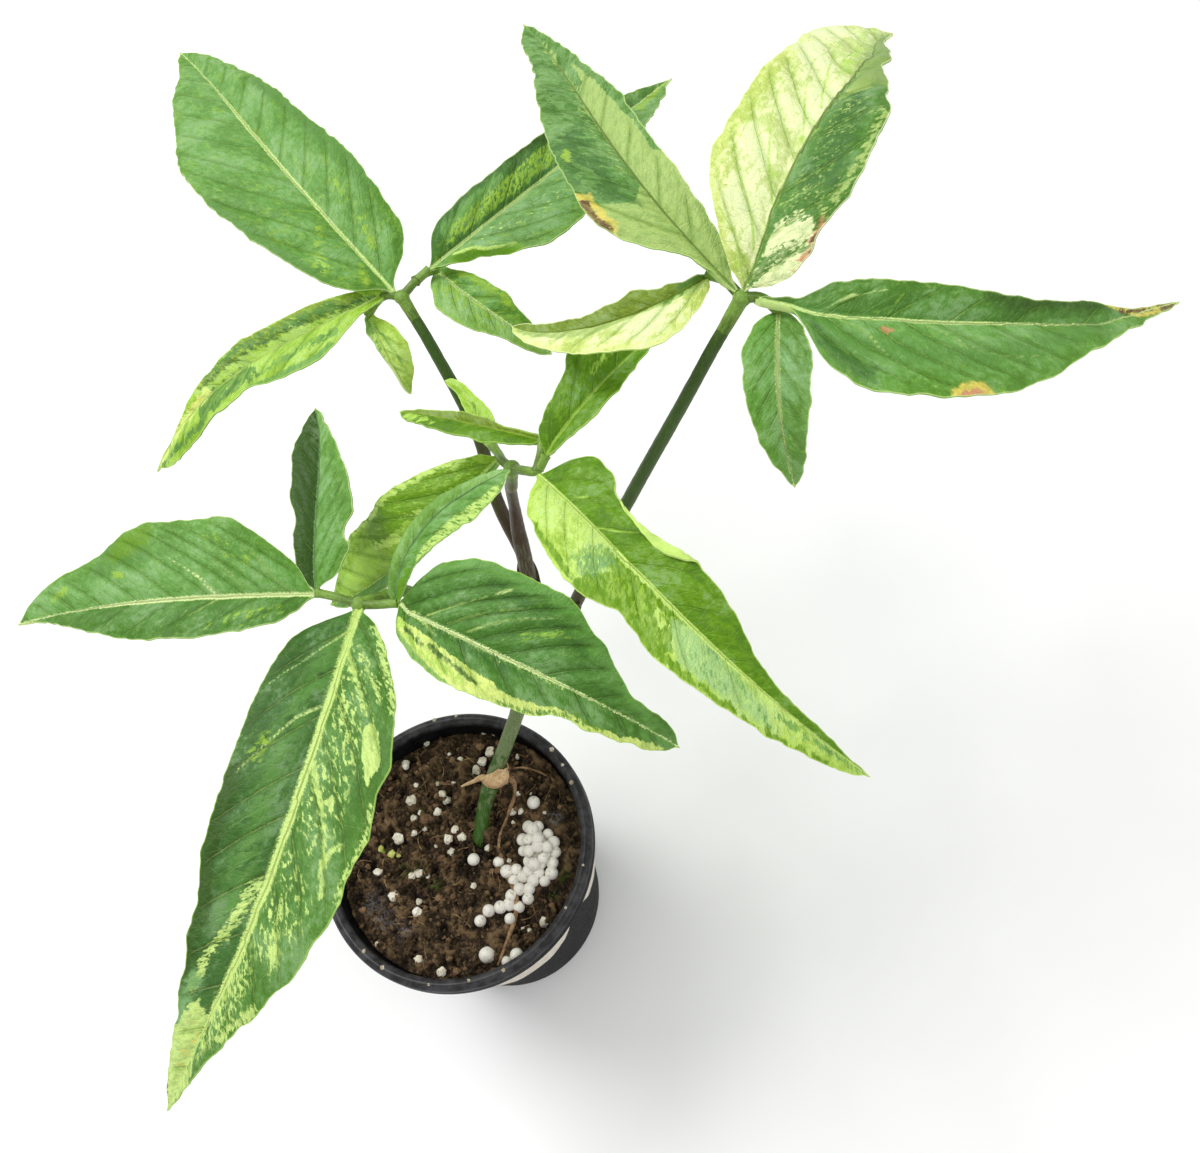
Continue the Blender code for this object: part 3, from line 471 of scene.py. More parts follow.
def leaf_upper(name: str, blade: Blade, patterns: Patterns) -> Material:
    """The glossy, variegated upper face of one blade.

    Args:
        name: the material's name.
        blade: the blade, with its colours and marks.
        patterns: the shared node groups.

    Returns:
        The material.
    """
    finish = blade.finish
    material, wire, shader = new_material(name)
    rib = wire.reading("rib")
    edge = wire.reading("edge")
    flow = wire.reading("cloth", "Vector")
    grain = wire.use(patterns.leaf_grain, Flow=flow)
    colour = wire.blend(wire.span(rib, -0.15, 0.15), finish.left.linear(), finish.right.linear())
    colour = shade_ground(wire, colour, grain, edge)
    mottle = wire.use(patterns.mark, Distance=1.0, Flow=flow, Ragged=0.2, Grain=2.6, Soft=0.5,
                      Cover=finish.mottle_cover)
    covered = wire.times(mottle.outputs["Mask"], 0.4)
    colour = wire.blend(covered, colour, finish.mottle.linear())
    for index, mark in enumerate(blade.marks):
        mask = wire.use(patterns.mark, Distance=wire.reading(f"mark_{index}"), Flow=flow,
                        Ragged=mark.ragged, Grain=mark.grain, Soft=mark.soft, Cover=mark.cover)
        colour = wire.blend(mask.outputs["Mask"], colour, mark.tint.linear())
    veins = wire.use(patterns.veins, Vein=wire.reading("vein"), Gap=wire.reading("gap"), Edge=edge,
                     Flow=flow, Width=0.4)
    # Painted shade in the crease beside each side vein, as strong as the finish's crease says.
    furrow_shade_colour = wire.tone(colour, FURROW_SHADE)
    colour = wire.blend(wire.times(veins.outputs["CreaseShade"], finish.crease), colour, furrow_shade_colour)
    line = wire.times(veins.outputs["Line"], finish.vein_gain)
    colour = wire.blend(line, colour, finish.vein.linear())
    net = wire.times(veins.outputs["Net"], finish.vein_gain * 0.35)
    colour = wire.blend(net, colour, finish.vein.linear())
    midrib = wire.use(patterns.midrib, Rib=rib, Along=wire.reading("along"), Flow=flow,
                      Width=finish.rib_width, Feather=finish.rib_feather, End=finish.rib_end)
    colour = wire.blend(midrib.outputs["Line"], colour, finish.rib.linear())
    colour = wire.blend(wire.span(edge, 0.0, 0.45, 0.7, 0.0), colour, finish.margin.linear())
    pores = grain.outputs["Pores"]
    colour = wire.blend(pores, wire.tone(colour, PORE_SHADE), colour)
    height = wire.plus(wire.times(veins.outputs["Height"], 0.6), wire.times(grain.outputs["Height"], 0.6))
    wire.surface(shader, colour, wire.span(pores, 0.0, 1.0, 0.5, 0.38), LEAF_GLOSS,
                 wire.bump(height, 0.4, 0.9))
    return material


def shade_ground(wire: Wiring, colour: Socket, grain: Node, edge: Socket) -> Socket:
    """Clouds the plain green: olive in its hollows, painted olive shade near its margin, and a painted grey
    sheen on its swellings.
    """
    tone = grain.outputs["Tone"]
    colour = wire.blend(wire.span(tone, 0.0, 0.62, 0.85, 0.0), colour, wire.tone(colour, HOLLOW_SHADE))
    # A painted grey sheen where the tone is high.
    pale = wire.blend(0.24, colour, PAINTED_SHEEN_GREEN)
    colour = wire.blend(wire.span(tone, 0.5, 1.0, 0.0, 0.9), colour, pale)
    # Painted olive shade within about 6.5 mm of the margin, with a wandering edge.
    wander = wire.times(wire.minus(tone, 0.5), 7.0)
    near = wire.span(wire.plus(edge, wander), 0.0, 6.5, 0.65, 0.0)
    return wire.blend(near, colour, wire.tone(colour, MARGIN_SHADE))


def leaf_lower(name: str, tint: Tint, patterns: Patterns) -> Material:
    """The paler, matt lower face of one blade, which also shows at its margin."""
    material, wire, shader = new_material(name)
    flow = wire.reading("cloth", "Vector")
    grain = wire.use(patterns.leaf_grain, Flow=flow)
    veins = wire.use(patterns.veins, Vein=wire.reading("vein"), Gap=wire.reading("gap"),
                     Edge=wire.reading("edge"), Flow=flow, Width=0.9)
    pale = Tint.PALE_LIME.linear()
    colour = wire.blend(grain.outputs["Tone"], wire.tone(tint.linear(), UNDER_SHADE), tint.linear())
    colour = wire.blend(wire.times(veins.outputs["Line"], 0.5), colour, pale)
    colour = wire.blend(wire.times(veins.outputs["Net"], 0.3), colour, pale)
    ribs = wire.span(wire.math("ABSOLUTE", wire.reading("rib")), 0.8, 1.6, 0.8, 0.0)
    colour = wire.blend(ribs, colour, Tint.RIB_PALE.linear())
    wire.surface(shader, colour, wire.span(grain.outputs["Pores"], 0.0, 1.0, 0.68, 0.56), LEAF_GLOSS,
                 wire.bump(grain.outputs["Height"], 0.2, 0.6))
    return material


class Finish:
    """A finish that covers a whole piece."""

    def make(self, patterns: Patterns) -> Material:
        """The finish as a material."""
        raise NotImplementedError

    def dress(self, piece: Item, node: str, slot: str, patterns: Patterns) -> None:
        """Dresses a piece in this finish alone, as the stand-in for one node."""
        hand_over(piece, (node,), [self.make(patterns)])


@dataclass(frozen=True)
class SpeckledFinish(Finish):
    """A finish of two tones in patches, with a fine speckle and a fine relief."""

    name: str
    light: Bytes
    dark: Bytes
    fleck: Bytes
    grain: float = 1.2
    fleck_share: float = 0.3
    roughness: Spot = (0.5, 0.7)
    relief: float = 0.2
    gloss: float = 0.4

    def make(self, patterns: Patterns) -> Material:
        """The finish as a material on object coordinates."""
        material, wire, shader = new_material(self.name)
        speckle = wire.use(patterns.speckle, Spot=wire.spot(), Grain=self.grain).outputs
        colour = wire.paint(speckle["Broad"], screen_colour(self.dark), self.light)
        colour = wire.paint(wire.span(speckle["Fine"], 1.0 - self.fleck_share, 1.0), colour, self.fleck)
        height = wire.plus(speckle["Fine"], speckle["Broad"])
        wire.surface(shader, colour, wire.span(speckle["Fine"], 0.0, 1.0, *self.roughness), self.gloss,
                     wire.bump(height, self.relief, 0.7))
        return material


@dataclass(frozen=True)
class StemFinish(Finish):
    """A stem's skin: streaked along its length, from one colour at its foot to another at its top."""

    name: str
    foot: Bytes
    top: Bytes
    streak: Bytes
    change: Spot = (0.3, 0.7)
    tip: Bytes | None = None
    tip_change: Spot = (0.55, 0.75)
    roughness: Spot = (0.38, 0.5)

    def make(self, patterns: Patterns) -> Material:
        """The finish as a material that follows the stem's own run."""
        material, wire, shader = new_material(self.name)
        speckle = wire.use(patterns.speckle, Spot=wire.spot(), Grain=0.7).outputs
        wander = wire.plus(wire.reading("along"), wire.times(wire.minus(speckle["Broad"], 0.5), 0.25))
        colour = wire.paint(wire.span(wander, *self.change), screen_colour(self.foot), self.top)
        if self.tip:
            colour = wire.paint(wire.span(wander, *self.tip_change), colour, self.tip)
        lines = wire.noise(wire.stretch(wire.reading("skin", "Vector"), (3.2, 3.2, 0.25)), 1.0, 3.0, 0.6)
        colour = wire.paint(wire.span(lines, 0.48, 0.7, 0.0, 0.45), colour, self.streak)
        colour = wire.blend(speckle["Fine"], wire.tone(colour, STEM_SHADE), colour)
        wire.surface(shader, colour, wire.span(speckle["Fine"], 0.0, 1.0, *self.roughness), 0.32,
                     wire.bump(lines, 0.15, 0.6))
        return material


def deselect() -> None:
    """Leaves nothing selected, in object mode."""
    if bpy.context.mode != "OBJECT":
        bpy.ops.object.mode_set(mode="OBJECT")
    bpy.ops.object.select_all(action="DESELECT")


def pick(item: Item) -> None:
    """Makes one object the only one selected, and active."""
    deselect()
    item.select_set(True)
    bpy.context.view_layer.objects.active = item


def added(name: str) -> Item:
    """Names the object that an operator has just added, and its mesh."""
    item = bpy.context.active_object
    item.name = name
    item.data.name = name
    return item


def settle(item: Item) -> None:
    """Puts an object's place into its mesh, so that the object sits unturned at the origin."""
    pick(item)
    bpy.ops.object.transform_apply(location=True, rotation=True, scale=True)


def shade_smooth(item: Item, angle: float = 50.0) -> None:
    """Smooths all but the sharp edges."""
    pick(item)
    bpy.ops.object.shade_smooth_by_angle(angle=math.radians(angle))


def face_out(item: Item) -> None:
    """Merges doubles and turns every face outwards."""
    pick(item)
    bpy.ops.object.mode_set(mode="EDIT")
    bpy.ops.mesh.select_all(action="SELECT")
    bpy.ops.mesh.remove_doubles(threshold=MERGE_DISTANCE)
    bpy.ops.mesh.normals_make_consistent(inside=False)
    bpy.ops.object.mode_set(mode="OBJECT")


def fill_openings() -> None:
    """Fills every opening of the mesh that is being edited."""
    bpy.ops.mesh.select_all(action="DESELECT")
    bpy.ops.mesh.select_non_manifold()
    bpy.ops.mesh.fill_holes(sides=0)


def close_ends(item: Item) -> None:
    """Fills a body's open ends, and turns every face outwards."""
    pick(item)
    bpy.ops.object.mode_set(mode="EDIT")
    bpy.ops.mesh.select_all(action="SELECT")
    bpy.ops.mesh.remove_doubles(threshold=MERGE_DISTANCE)
    fill_openings()
    bpy.ops.mesh.select_all(action="SELECT")
    bpy.ops.mesh.normals_make_consistent(inside=False)
    bpy.ops.object.mode_set(mode="OBJECT")


def apply_modifiers(item: Item) -> None:
    """Applies each of the object's modifiers in turn."""
    pick(item)
    for modifier in list(item.modifiers):
        bpy.ops.object.modifier_apply(modifier=modifier.name)


def give_thickness(item: Item, thickness: float, backed: bool = False) -> None:
    """Thickens a sheet both ways, in millimetres; a backed one has a second material below."""
    solid = item.modifiers.new("thickness", "SOLIDIFY")
    solid.thickness = thickness * MM
    solid.offset = 0.0
    solid.material_offset = solid.material_offset_rim = int(backed)
    apply_modifiers(item)


def join(name: str, items: list[Item]) -> Item:
    """Joins several objects into one piece."""
    deselect()
    for item in items:
        item.select_set(True)
    bpy.context.view_layer.objects.active = items[0]
    if len(items) > 1:
        bpy.ops.object.join()
    items[0].name = name
    items[0].data.name = name
    return items[0]


def read_points(item: Item) -> Array:
    """The places of a mesh's points, in metres."""
    places = np.empty(len(item.data.vertices) * 3)
    item.data.vertices.foreach_get("co", places)
    return places.reshape(-1, 3)


def flat_sheet(name: str, rows: int, columns: int) -> tuple[Item, Array]:
    """Adds a flat grid from -1 to 1 each way, and gives it with its points."""
    deselect()
    bpy.ops.mesh.primitive_grid_add(x_subdivisions=rows, y_subdivisions=columns, size=2.0)
    item = added(name)
    return item, read_points(item)


def write_points(item: Item, places: Array) -> None:
    """Sets the places of a mesh's points, in metres."""
    item.data.vertices.foreach_set("co", places.reshape(-1))
    item.data.update()


def write_values(item: Item, name: str, values: Array) -> None:
    """Gives each point of a mesh a number or a vector of its own, for its material."""
    if values.ndim == 1:
        layer = item.data.attributes.new(name, "FLOAT", "POINT")
        layer.data.foreach_set("value", values.astype(np.float32))
    else:
        layer = item.data.attributes.new(name, "FLOAT_VECTOR", "POINT")
        layer.data.foreach_set("vector", values.astype(np.float32).reshape(-1))


def stem_ball(name: str, spot: Point, radius: float, tall: float, grid: tuple[int, int],
              along: float) -> Item:
    """A small ball, made taller or flatter, that carries what a stem finish reads.

    Args:
        name: its name.
        spot: its middle, in millimetres.
        radius: its radius, in millimetres.
        tall: its height as a share of its width.
        grid: its segments and rings.
        along: which end of the stem its colour is from, 0 for the foot and 1 for the top.

    Returns:
        The ball.
    """
    deselect()
    bpy.ops.mesh.primitive_uv_sphere_add(segments=grid[0], ring_count=grid[1], radius=radius * MM,
                                         location=Vector(spot) * MM)
    item = added(name)
    settle(item)
    middle = np.array(spot) * MM
    places = middle + (read_points(item) - middle) * np.array((1.0, 1.0, tall))
    write_points(item, places)
    write_values(item, "along", np.full(len(places), along))
    write_values(item, "skin", places / MM)
    shade_smooth(item, SMOOTH_ANGLE)
    return item


def set_copies(name: str, count: int, detail: int, angle: float,
               shape: Callable[[int, Vector], Vector]) -> Item:
    """Models one ball, and sets copies of it with their own meshes and shapes.

    Args:
        name: the piece's name.
        count: how many copies.
        detail: how often the ball is subdivided.
        angle: the angle under which edges are smooth.
        shape: a point's place in millimetres, from the copy's number and the ball's point.

    Returns:
        The copies as one piece.
    """
    deselect()
    bpy.ops.mesh.primitive_ico_sphere_add(subdivisions=detail, radius=1.0)
    first = added(name + "_first")
    parts = []
    for index in range(count):
        part = first.copy()
        part.data = first.data.copy()
        bpy.context.collection.objects.link(part)
        for vertex in part.data.vertices:
            vertex.co = shape(index, vertex.co) * MM
        parts.append(part)
    bpy.data.objects.remove(first)
    piece = join(name, parts)
    shade_smooth(piece, angle)
    return piece


def hand_over(item: Item, nodes: tuple[str, ...], materials: list[Material]) -> None:
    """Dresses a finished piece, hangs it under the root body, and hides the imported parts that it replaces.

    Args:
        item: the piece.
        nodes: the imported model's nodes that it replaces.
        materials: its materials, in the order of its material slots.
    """
    slots = item.data.materials
    for index, material in enumerate(materials):
        if index < len(slots):
            slots[index] = material
        else:
            slots.append(material)
    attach(item, "root")
    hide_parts(*nodes)
    log.info("%s: %d faces", item.name, len(item.data.polygons))


def smooth_through(stops: tuple[float, ...], values: tuple[float, ...], place: float) -> float:
    """A curve through the values that never overshoots them, read at one place."""
    index = 0
    while index < len(stops) - 2 and place > stops[index + 1]:
        index += 1
    slopes = []
    for at in (index, index + 1):
        if at == 0 or at == len(stops) - 1:
            near = min(at, len(stops) - 2)
            slopes.append((values[near + 1] - values[near]) / (stops[near + 1] - stops[near]))
            continue
        before = (values[at] - values[at - 1]) / (stops[at] - stops[at - 1])
        after = (values[at + 1] - values[at]) / (stops[at + 1] - stops[at])
        slopes.append(0.0 if before * after <= 0.0 else 2.0 * before * after / (before + after))
    span = stops[index + 1] - stops[index]
    share = (place - stops[index]) / span
    start = (1 + 2 * share) * (1 - share) ** 2 * values[index]
    end = share ** 2 * (3 - 2 * share) * values[index + 1]
    lean = share * (1 - share) ** 2 * span * slopes[0] - share ** 2 * (1 - share) * span * slopes[1]
    return start + end + lean


def three_point(values: Point, share: float) -> float:
    """The parabola through three values at 0, 0.5 and 1."""
    start, middle, end = values
    return (start * (1 - share) * (1 - 2 * share) + 4 * middle * share * (1 - share)
            + end * share * (2 * share - 1))


def mix(values: Spot, share: float | Array) -> float | Array:
    """The straight blend from the first value to the second."""
    return values[0] + (values[1] - values[0]) * share


def read_curve(places: Array, stops: tuple[Spot, ...]) -> Array:
    """Reads a line of stops, straight from each to the next, at these places."""
    return np.interp(places, *zip(*stops))


def square_to(tangent: Vector, direction: Point) -> Vector:
    """The part of a direction that is square to a tangent, one long."""
    out = Vector(direction)
    return (out - tangent * out.dot(tangent)).normalized()


def round_run(run: list, facing: Point, share: float) -> tuple[Vector, Vector, Vector, Vector]:
    """A point at a share of a run of the cane, its tangent, the facing side and the side across both."""
    place = share * (len(run) - 1)
    low = min(int(place), len(run) - 2)
    point = run[low][0].lerp(run[low + 1][0], place - low)
    tangent = run[low][1].lerp(run[low + 1][1], place - low).normalized()
    front = square_to(tangent, facing)
    return point, tangent, front, tangent.cross(front)


def smooth_step(values: Array, low: float, high: float) -> Array:
    """0 below low, 1 above high, and a smooth step between."""
    share = np.clip((values - low) / (high - low), 0.0, 1.0)
    return share * share * (3 - 2 * share)


def route_points(points: list, step: float, parts: int = 12) -> list[Vector]:
    """A smooth curve through the points, as evenly split points about one step apart."""
    ends = [Vector(point) for point in points]
    guides = [2 * ends[0] - ends[1]] + ends + [2 * ends[-1] - ends[-2]]
    fine = []
    for index in range(1, len(guides) - 2):
        before, start, end, after = guides[index - 1:index + 3]
        for part in range(parts):
            t = part / parts
            fine.append(0.5 * (2 * start + (end - before) * t
                               + (2 * before - 5 * start + 4 * end - after) * t ** 2
                               + (3 * start - before - 3 * end + after) * t ** 3))
    fine.append(ends[-1])
    lengths = [0.0]
    for first, second in zip(fine, fine[1:]):
        lengths.append(lengths[-1] + (second - first).length)
    count = max(2, round(lengths[-1] / step))
    even = []
    at = 0
    for index in range(count + 1):
        wanted = lengths[-1] * index / count
        while at < len(lengths) - 2 and lengths[at + 1] < wanted:
            at += 1
        share = (wanted - lengths[at]) / (lengths[at + 1] - lengths[at])
        even.append(fine[at].lerp(fine[at + 1], min(1.0, share)))
    return even


def route_frames(points: list[Vector]) -> list[tuple[Vector, Vector, Vector, Vector]]:
    """For each point, its tangent and two directions across it that don't twist."""
    frames = []
    across = None
    for index, point in enumerate(points):
        ahead = points[min(index + 1, len(points) - 1)]
        behind = points[max(index - 1, 0)]
        tangent = (ahead - behind).normalized()
        if across is None:
            across = tangent.orthogonal()
        across = (across - tangent * across.dot(tangent)).normalized()
        frames.append((point, tangent, across, tangent.cross(across)))
    return frames


def draw_tube(name: str, points: list[Vector], radii: list[float], sides: int = 20,
              rough: float = 0.0) -> Item:
    """A round closed stem along the points: a cylinder's rings set one by one on the route.

    Args:
        name: the piece's name.
        points: the route, in millimetres.
        radii: a radius at each point.
        sides: how many sides it has.
        rough: how far its skin wanders, in millimetres.

    Returns:
        The stem, with its run and its skin coordinates as attributes.
    """
    rings = len(points)
    item, flat = flat_sheet(name, rings - 1, sides)
    rows = np.rint((flat[:, 0] + 1) / 2 * (rings - 1)).astype(int)
    angle = (2 * math.pi * ((flat[:, 1] + 1) / 2))[:, None]
    frames = route_frames(points)
    middle, across, other = (np.array([tuple(entry[at]) for entry in frames])[rows] for at in (0, 2, 3))
    outward = across * np.cos(angle) + other * np.sin(angle)
    size = np.array(radii)[rows][:, None]
    place = middle + outward * size
    if rough:
        wander = np.array([noise.noise(Vector(spot) * 0.45) + 0.5 * noise.noise(Vector(spot) * 1.3)
                           for spot in place])
        place = place + outward * (wander * rough)[:, None]
    write_points(item, place * MM)
    lengths = np.concatenate([[0.0], np.cumsum([(b - a).length for a, b in zip(points, points[1:])])])
    write_values(item, "along", rows / (rings - 1))
    skin = np.concatenate([np.cos(angle) * size, np.sin(angle) * size, lengths[rows][:, None]], axis=1)
    write_values(item, "skin", skin)
    close_ends(item)
    shade_smooth(item, SMOOTH_ANGLE)
    return item


def turn_rings(name: str, rings: list[Spot], sides: int) -> Item:
    """Turns a body from a circle that is extruded and resized ring by ring.

    Args:
        name: the piece's name.
        rings: the radius and height of each ring, in order.
        sides: how many sides it has.

    Returns:
        The closed body.
    """
    deselect()
    radius, height = rings[0]
    bpy.ops.mesh.primitive_circle_add(vertices=sides, radius=radius * MM, fill_type="NOTHING",
                                      location=(0.0, 0.0, height * MM))
    item = added(name)
    settle(item)
    bpy.ops.object.mode_set(mode="EDIT")
    bpy.ops.mesh.select_all(action="SELECT")
    for (old_radius, old_height), (radius, height) in zip(rings, rings[1:]):
        rise = (0.0, 0.0, (height - old_height) * MM)
        bpy.ops.mesh.extrude_region_move(TRANSFORM_OT_translate={"value": rise})
        size = radius / old_radius
        bpy.ops.transform.resize(value=(size, size, 1.0), center_override=(0.0, 0.0, height * MM))
    fill_openings()
    bpy.ops.object.mode_set(mode="OBJECT")
    face_out(item)
    return item


def from_edge(spots: Array, start: Array, end: Array) -> tuple[Array, Array]:
    """How far each spot is from a straight edge, and at what share of the edge it is nearest."""
    line = end - start
    share = np.clip((spots - start) @ line / max(line @ line, TINY), 0.0, 1.0)
    return np.linalg.norm(spots - (start + share[:, None] * line), axis=1), share


def area_depth(spots: Array, outline: Array) -> Array:
    """How deep each spot lies inside a closed outline, negative outside it.

    Args:
        spots: places on the flattened blade, one a row.
        outline: the outline's corners in order.

    Returns:
        The depths, in the same unit.
    """
    nearest = np.full(len(spots), 1 / TINY)
    inside = np.zeros(len(spots), bool)
    for start, end in zip(outline, np.roll(outline, -1, axis=0)):
        nearest = np.minimum(nearest, from_edge(spots, start, end)[0])
        crosses = (start[1] > spots[:, 1]) != (end[1] > spots[:, 1])
        where = start[0] + (spots[:, 1] - start[1]) * (end[0] - start[0]) / (end[1] - start[1] or TINY)
        inside ^= crosses & (spots[:, 0] < where)
    return np.where(inside, nearest, -nearest)


def path_depth(spots: Array, path: Array, width: float, end_width: float) -> Array:
    """How deep each spot lies inside a streak along a path that narrows from one width to another."""
    depth = np.full(len(spots), -1 / TINY)
    count = len(path) - 1
    for index in range(count):
        away, share = from_edge(spots, path[index], path[index + 1])
        half = (width + (end_width - width) * (index + share) / count) / 2
        depth = np.maximum(depth, half - away)
    return depth


@dataclass
class BladeBuilder:
    """Makes one blade from a flat grid: its shape, its relief, its thickness and its attributes."""

    name: str
    blade: Blade
    patterns: Patterns
    grid: float = 0.95
    thickness: float = 0.6
    stops: tuple[float, ...] = (0.0, 0.1, 0.3, 0.5, 0.7, 0.9, 1.0)
    root_half: float = 1.6
    tip_half: float = 0.7
    steps: int = 120
    rib_crowding: float = 1.25
    puff: float = 0.75
    groove: float = 0.5
    rib_depth: Spot = (1.5, 0.3)
    rib_half: float = 1.3
    wave: Spot = (4.8, 0.72)
    nick: Spot = (2.1, 0.3)

    def frames(self, shares: Array) -> tuple[Array, ...]:
        """The midrib's points, right-hand sides and upper sides at these shares."""
        blade = self.blade
        point = Vector(blade.root)
        points = [point.copy()]
        tangents = []
        for index in range(self.steps):
            share = (index + 0.5) / self.steps
            heading = math.radians(three_point(blade.heading, share))
            rise = math.radians(three_point(blade.rise, share))
            level = math.cos(rise)
            tangent = Vector((level * math.sin(heading), level * math.cos(heading), math.sin(rise)))
            tangents.append(tangent)
            point = point + tangent * (blade.length / self.steps)
            points.append(point.copy())
        spots, sides, ups = [], [], []
        for share in shares:
            place = share * self.steps
            low = min(int(place), self.steps - 1)
            spots.append(tuple(points[low].lerp(points[low + 1], place - low)))
            ahead = tangents[min(low + 1, self.steps - 1)]
            tangent = tangents[low].lerp(ahead, place - low).normalized()
            side = tangent.cross(Vector((0.0, 0.0, 1.0))).normalized()
            up = side.cross(tangent)
            roll = math.radians(mix(blade.roll, share))
            sides.append(tuple(side * math.cos(roll) - up * math.sin(roll)))
            ups.append(tuple(up * math.cos(roll) + side * math.sin(roll)))
        return np.array(spots), np.array(sides), np.array(ups)

    def reach_at(self, sign: int, shares: Array) -> tuple[Array, Array]:
        """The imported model's half width and the real margin's, at these shares."""
        blade = self.blade
        widths = (self.root_half,) + tuple(blade.right if sign > 0 else blade.left) + (self.tip_half,)
        packed = np.array([smooth_through(self.stops, widths, share) for share in shares])
        margin = blade.right_margin if sign > 0 else blade.left_margin
        factor = np.ones(len(shares))
        if margin:
            kernel = np.hanning(7)
            padded = np.pad(read_curve(shares, margin), 3, mode="edge")
            factor = np.convolve(padded, kernel / kernel.sum(), mode="valid")
        wander = []
        for run in shares * blade.length:
            wave = noise.noise(Vector((run / self.wave[0], sign * 3.0, blade.length)))
            nick = noise.noise(Vector((run / self.nick[0], sign * 7.0, blade.length)))
            wander.append(wave * self.wave[1] + nick * self.nick[1])
        factor = factor + np.array(wander) / np.maximum(packed, 4.0)
        taper = 0.35 + 0.65 * smooth_step(shares, 0.0, 0.05)
        point = 1 - 0.85 * smooth_step(shares, 0.955, 1.0)
        return packed, packed * factor * taper * point

    def vein_count(self, flow: Array, origins: tuple[float, ...], lean: float) -> tuple[Array, Array]:
        """How many side veins start before each spot's own, and how far apart they are there."""
        starts = np.array(origins) * self.blade.length
        step = max(4.0, float(np.mean(np.diff(starts))))
        starts = np.concatenate([starts[0] - step * np.arange(4, 0, -1), starts,
                                 starts[-1] + step * np.arange(1, 7)])
        count = np.interp(flow, starts, np.arange(len(starts)))
        at = np.clip(np.floor(count).astype(int), 0, len(starts) - 2)
        gap = (starts[at + 1] - starts[at]) / math.sqrt(1 + lean ** 2)
        return count, gap

    def build(self) -> Item:
        """The finished blade."""
        blade = self.blade
        widest = max(max(blade.left), max(blade.right))
        along_parts = max(24, round(blade.length / self.grid))
        across_parts = 2 * max(8, round(widest / self.grid))
        item, flat = flat_sheet(self.name, along_parts, across_parts)
        row = np.rint((flat[:, 0] + 1) / 2 * along_parts).astype(int)
        side = -np.sign(flat[:, 1]) * np.abs(flat[:, 1]) ** self.rib_crowding
        shares = np.arange(along_parts + 1) / along_parts
        spots, rights, ups = self.frames(shares)
        packed_left, real_left = self.reach_at(-1, shares)
        packed_right, real_right = self.reach_at(1, shares)
        packed = np.where(side > 0, packed_right[row], packed_left[row])
        real = np.where(side > 0, real_right[row], real_left[row])
        share = shares[row]
        reach = np.abs(side) * real
        sign = np.where(side > 0, 1.0, -1.0)
        out = reach / packed
        angle = np.radians(mix(blade.fold, share) + mix(blade.curl, share) * out / 2)
        height, count, phase = blade.wave
        ripple = height * out ** 2 * np.minimum(1.0, packed / 12.0) * np.sin(math.pi * share)
        ripple = ripple * np.sin(2 * math.pi * (count * share + phase + 0.25 * sign))
        midrib = read_curve(share, blade.midrib)
        rib = sign * reach - midrib * np.where(midrib > 0, real_right[row], real_left[row])
        run = share * blade.length
        lean = np.where(rib > 0, blade.lean[1], blade.lean[0])
        flow = run - lean * np.abs(rib) * (1 + 0.3 * np.abs(side))
        cloth = run - 0.35 * lean * np.abs(rib)
        left_count, left_gap = self.vein_count(flow, blade.left_veins, blade.lean[0])
        right_count, right_gap = self.vein_count(flow, blade.right_veins, blade.lean[1])
        vein = np.where(rib > 0, right_count, left_count)
        gap = np.where(rib > 0, right_gap, left_gap)
        edge = np.minimum(np.minimum(real - reach, (1 - share) * blade.length), share * blade.length)
        lift = (reach * np.sin(angle) + ripple)[:, None]
        cosine, sine = np.cos(angle)[:, None], np.sin(angle)[:, None]
        sign = sign[:, None]
        right, up = rights[row], ups[row]
        place = spots[row] + right * (sign * reach[:, None] * cosine) + up * lift
        normal = right * (-sign * sine) + up * cosine
        place = place + normal * self.relief(rib, vein, edge, share, cloth)[:, None]
        outward = right * (sign * cosine) + up * sine
        place = self.fold_margins(place, outward, normal, share, side, reach, packed)
        write_points(item, place * MM)
        sheet = np.stack([cloth, np.abs(rib), 40 * np.sign(rib)], axis=1)
        for name, values in (("rib", rib), ("edge", edge), ("along", share), ("vein", vein), ("gap", gap),
                             ("cloth", sheet)):
            write_values(item, name, values)
        flattened = np.stack([run, sign[:, 0] * reach], axis=1)
        for index, mark in enumerate(blade.marks):
            depth = self.mark_depth(mark, flattened, shares, real_left, real_right)
            write_values(item, f"mark_{index}", depth)
        self.thicken(item, rib, share)
        shade_smooth(item, SMOOTH_ANGLE)
        return item

    def relief(self, rib: Array, vein: Array, edge: Array, share: Array, cloth: Array) -> Array:
        """The swelling between the veins, the groove over the midrib and the fine puckers."""
        away = np.abs(rib)
        swell = (0.5 - 0.5 * np.cos(2 * math.pi * vein)) ** 0.7
        swell = swell * smooth_step(away, 0.5, 5.0) * smooth_step(edge, 0.0, 4.0)
        swell = swell * self.puff * self.blade.quilt
        groove = self.groove * np.exp(-(away / 1.1) ** 2) * (1 - 0.8 * share)
        pucker = np.array([noise.noise(Vector((a * 0.16, b * 0.16, self.blade.length)))
                           + 0.5 * noise.noise(Vector((a * 0.45, b * 0.45, 7.0)))
                           for a, b in zip(cloth, rib)])
        return swell - groove + 0.4 * pucker * smooth_step(edge, 0.0, 3.0)

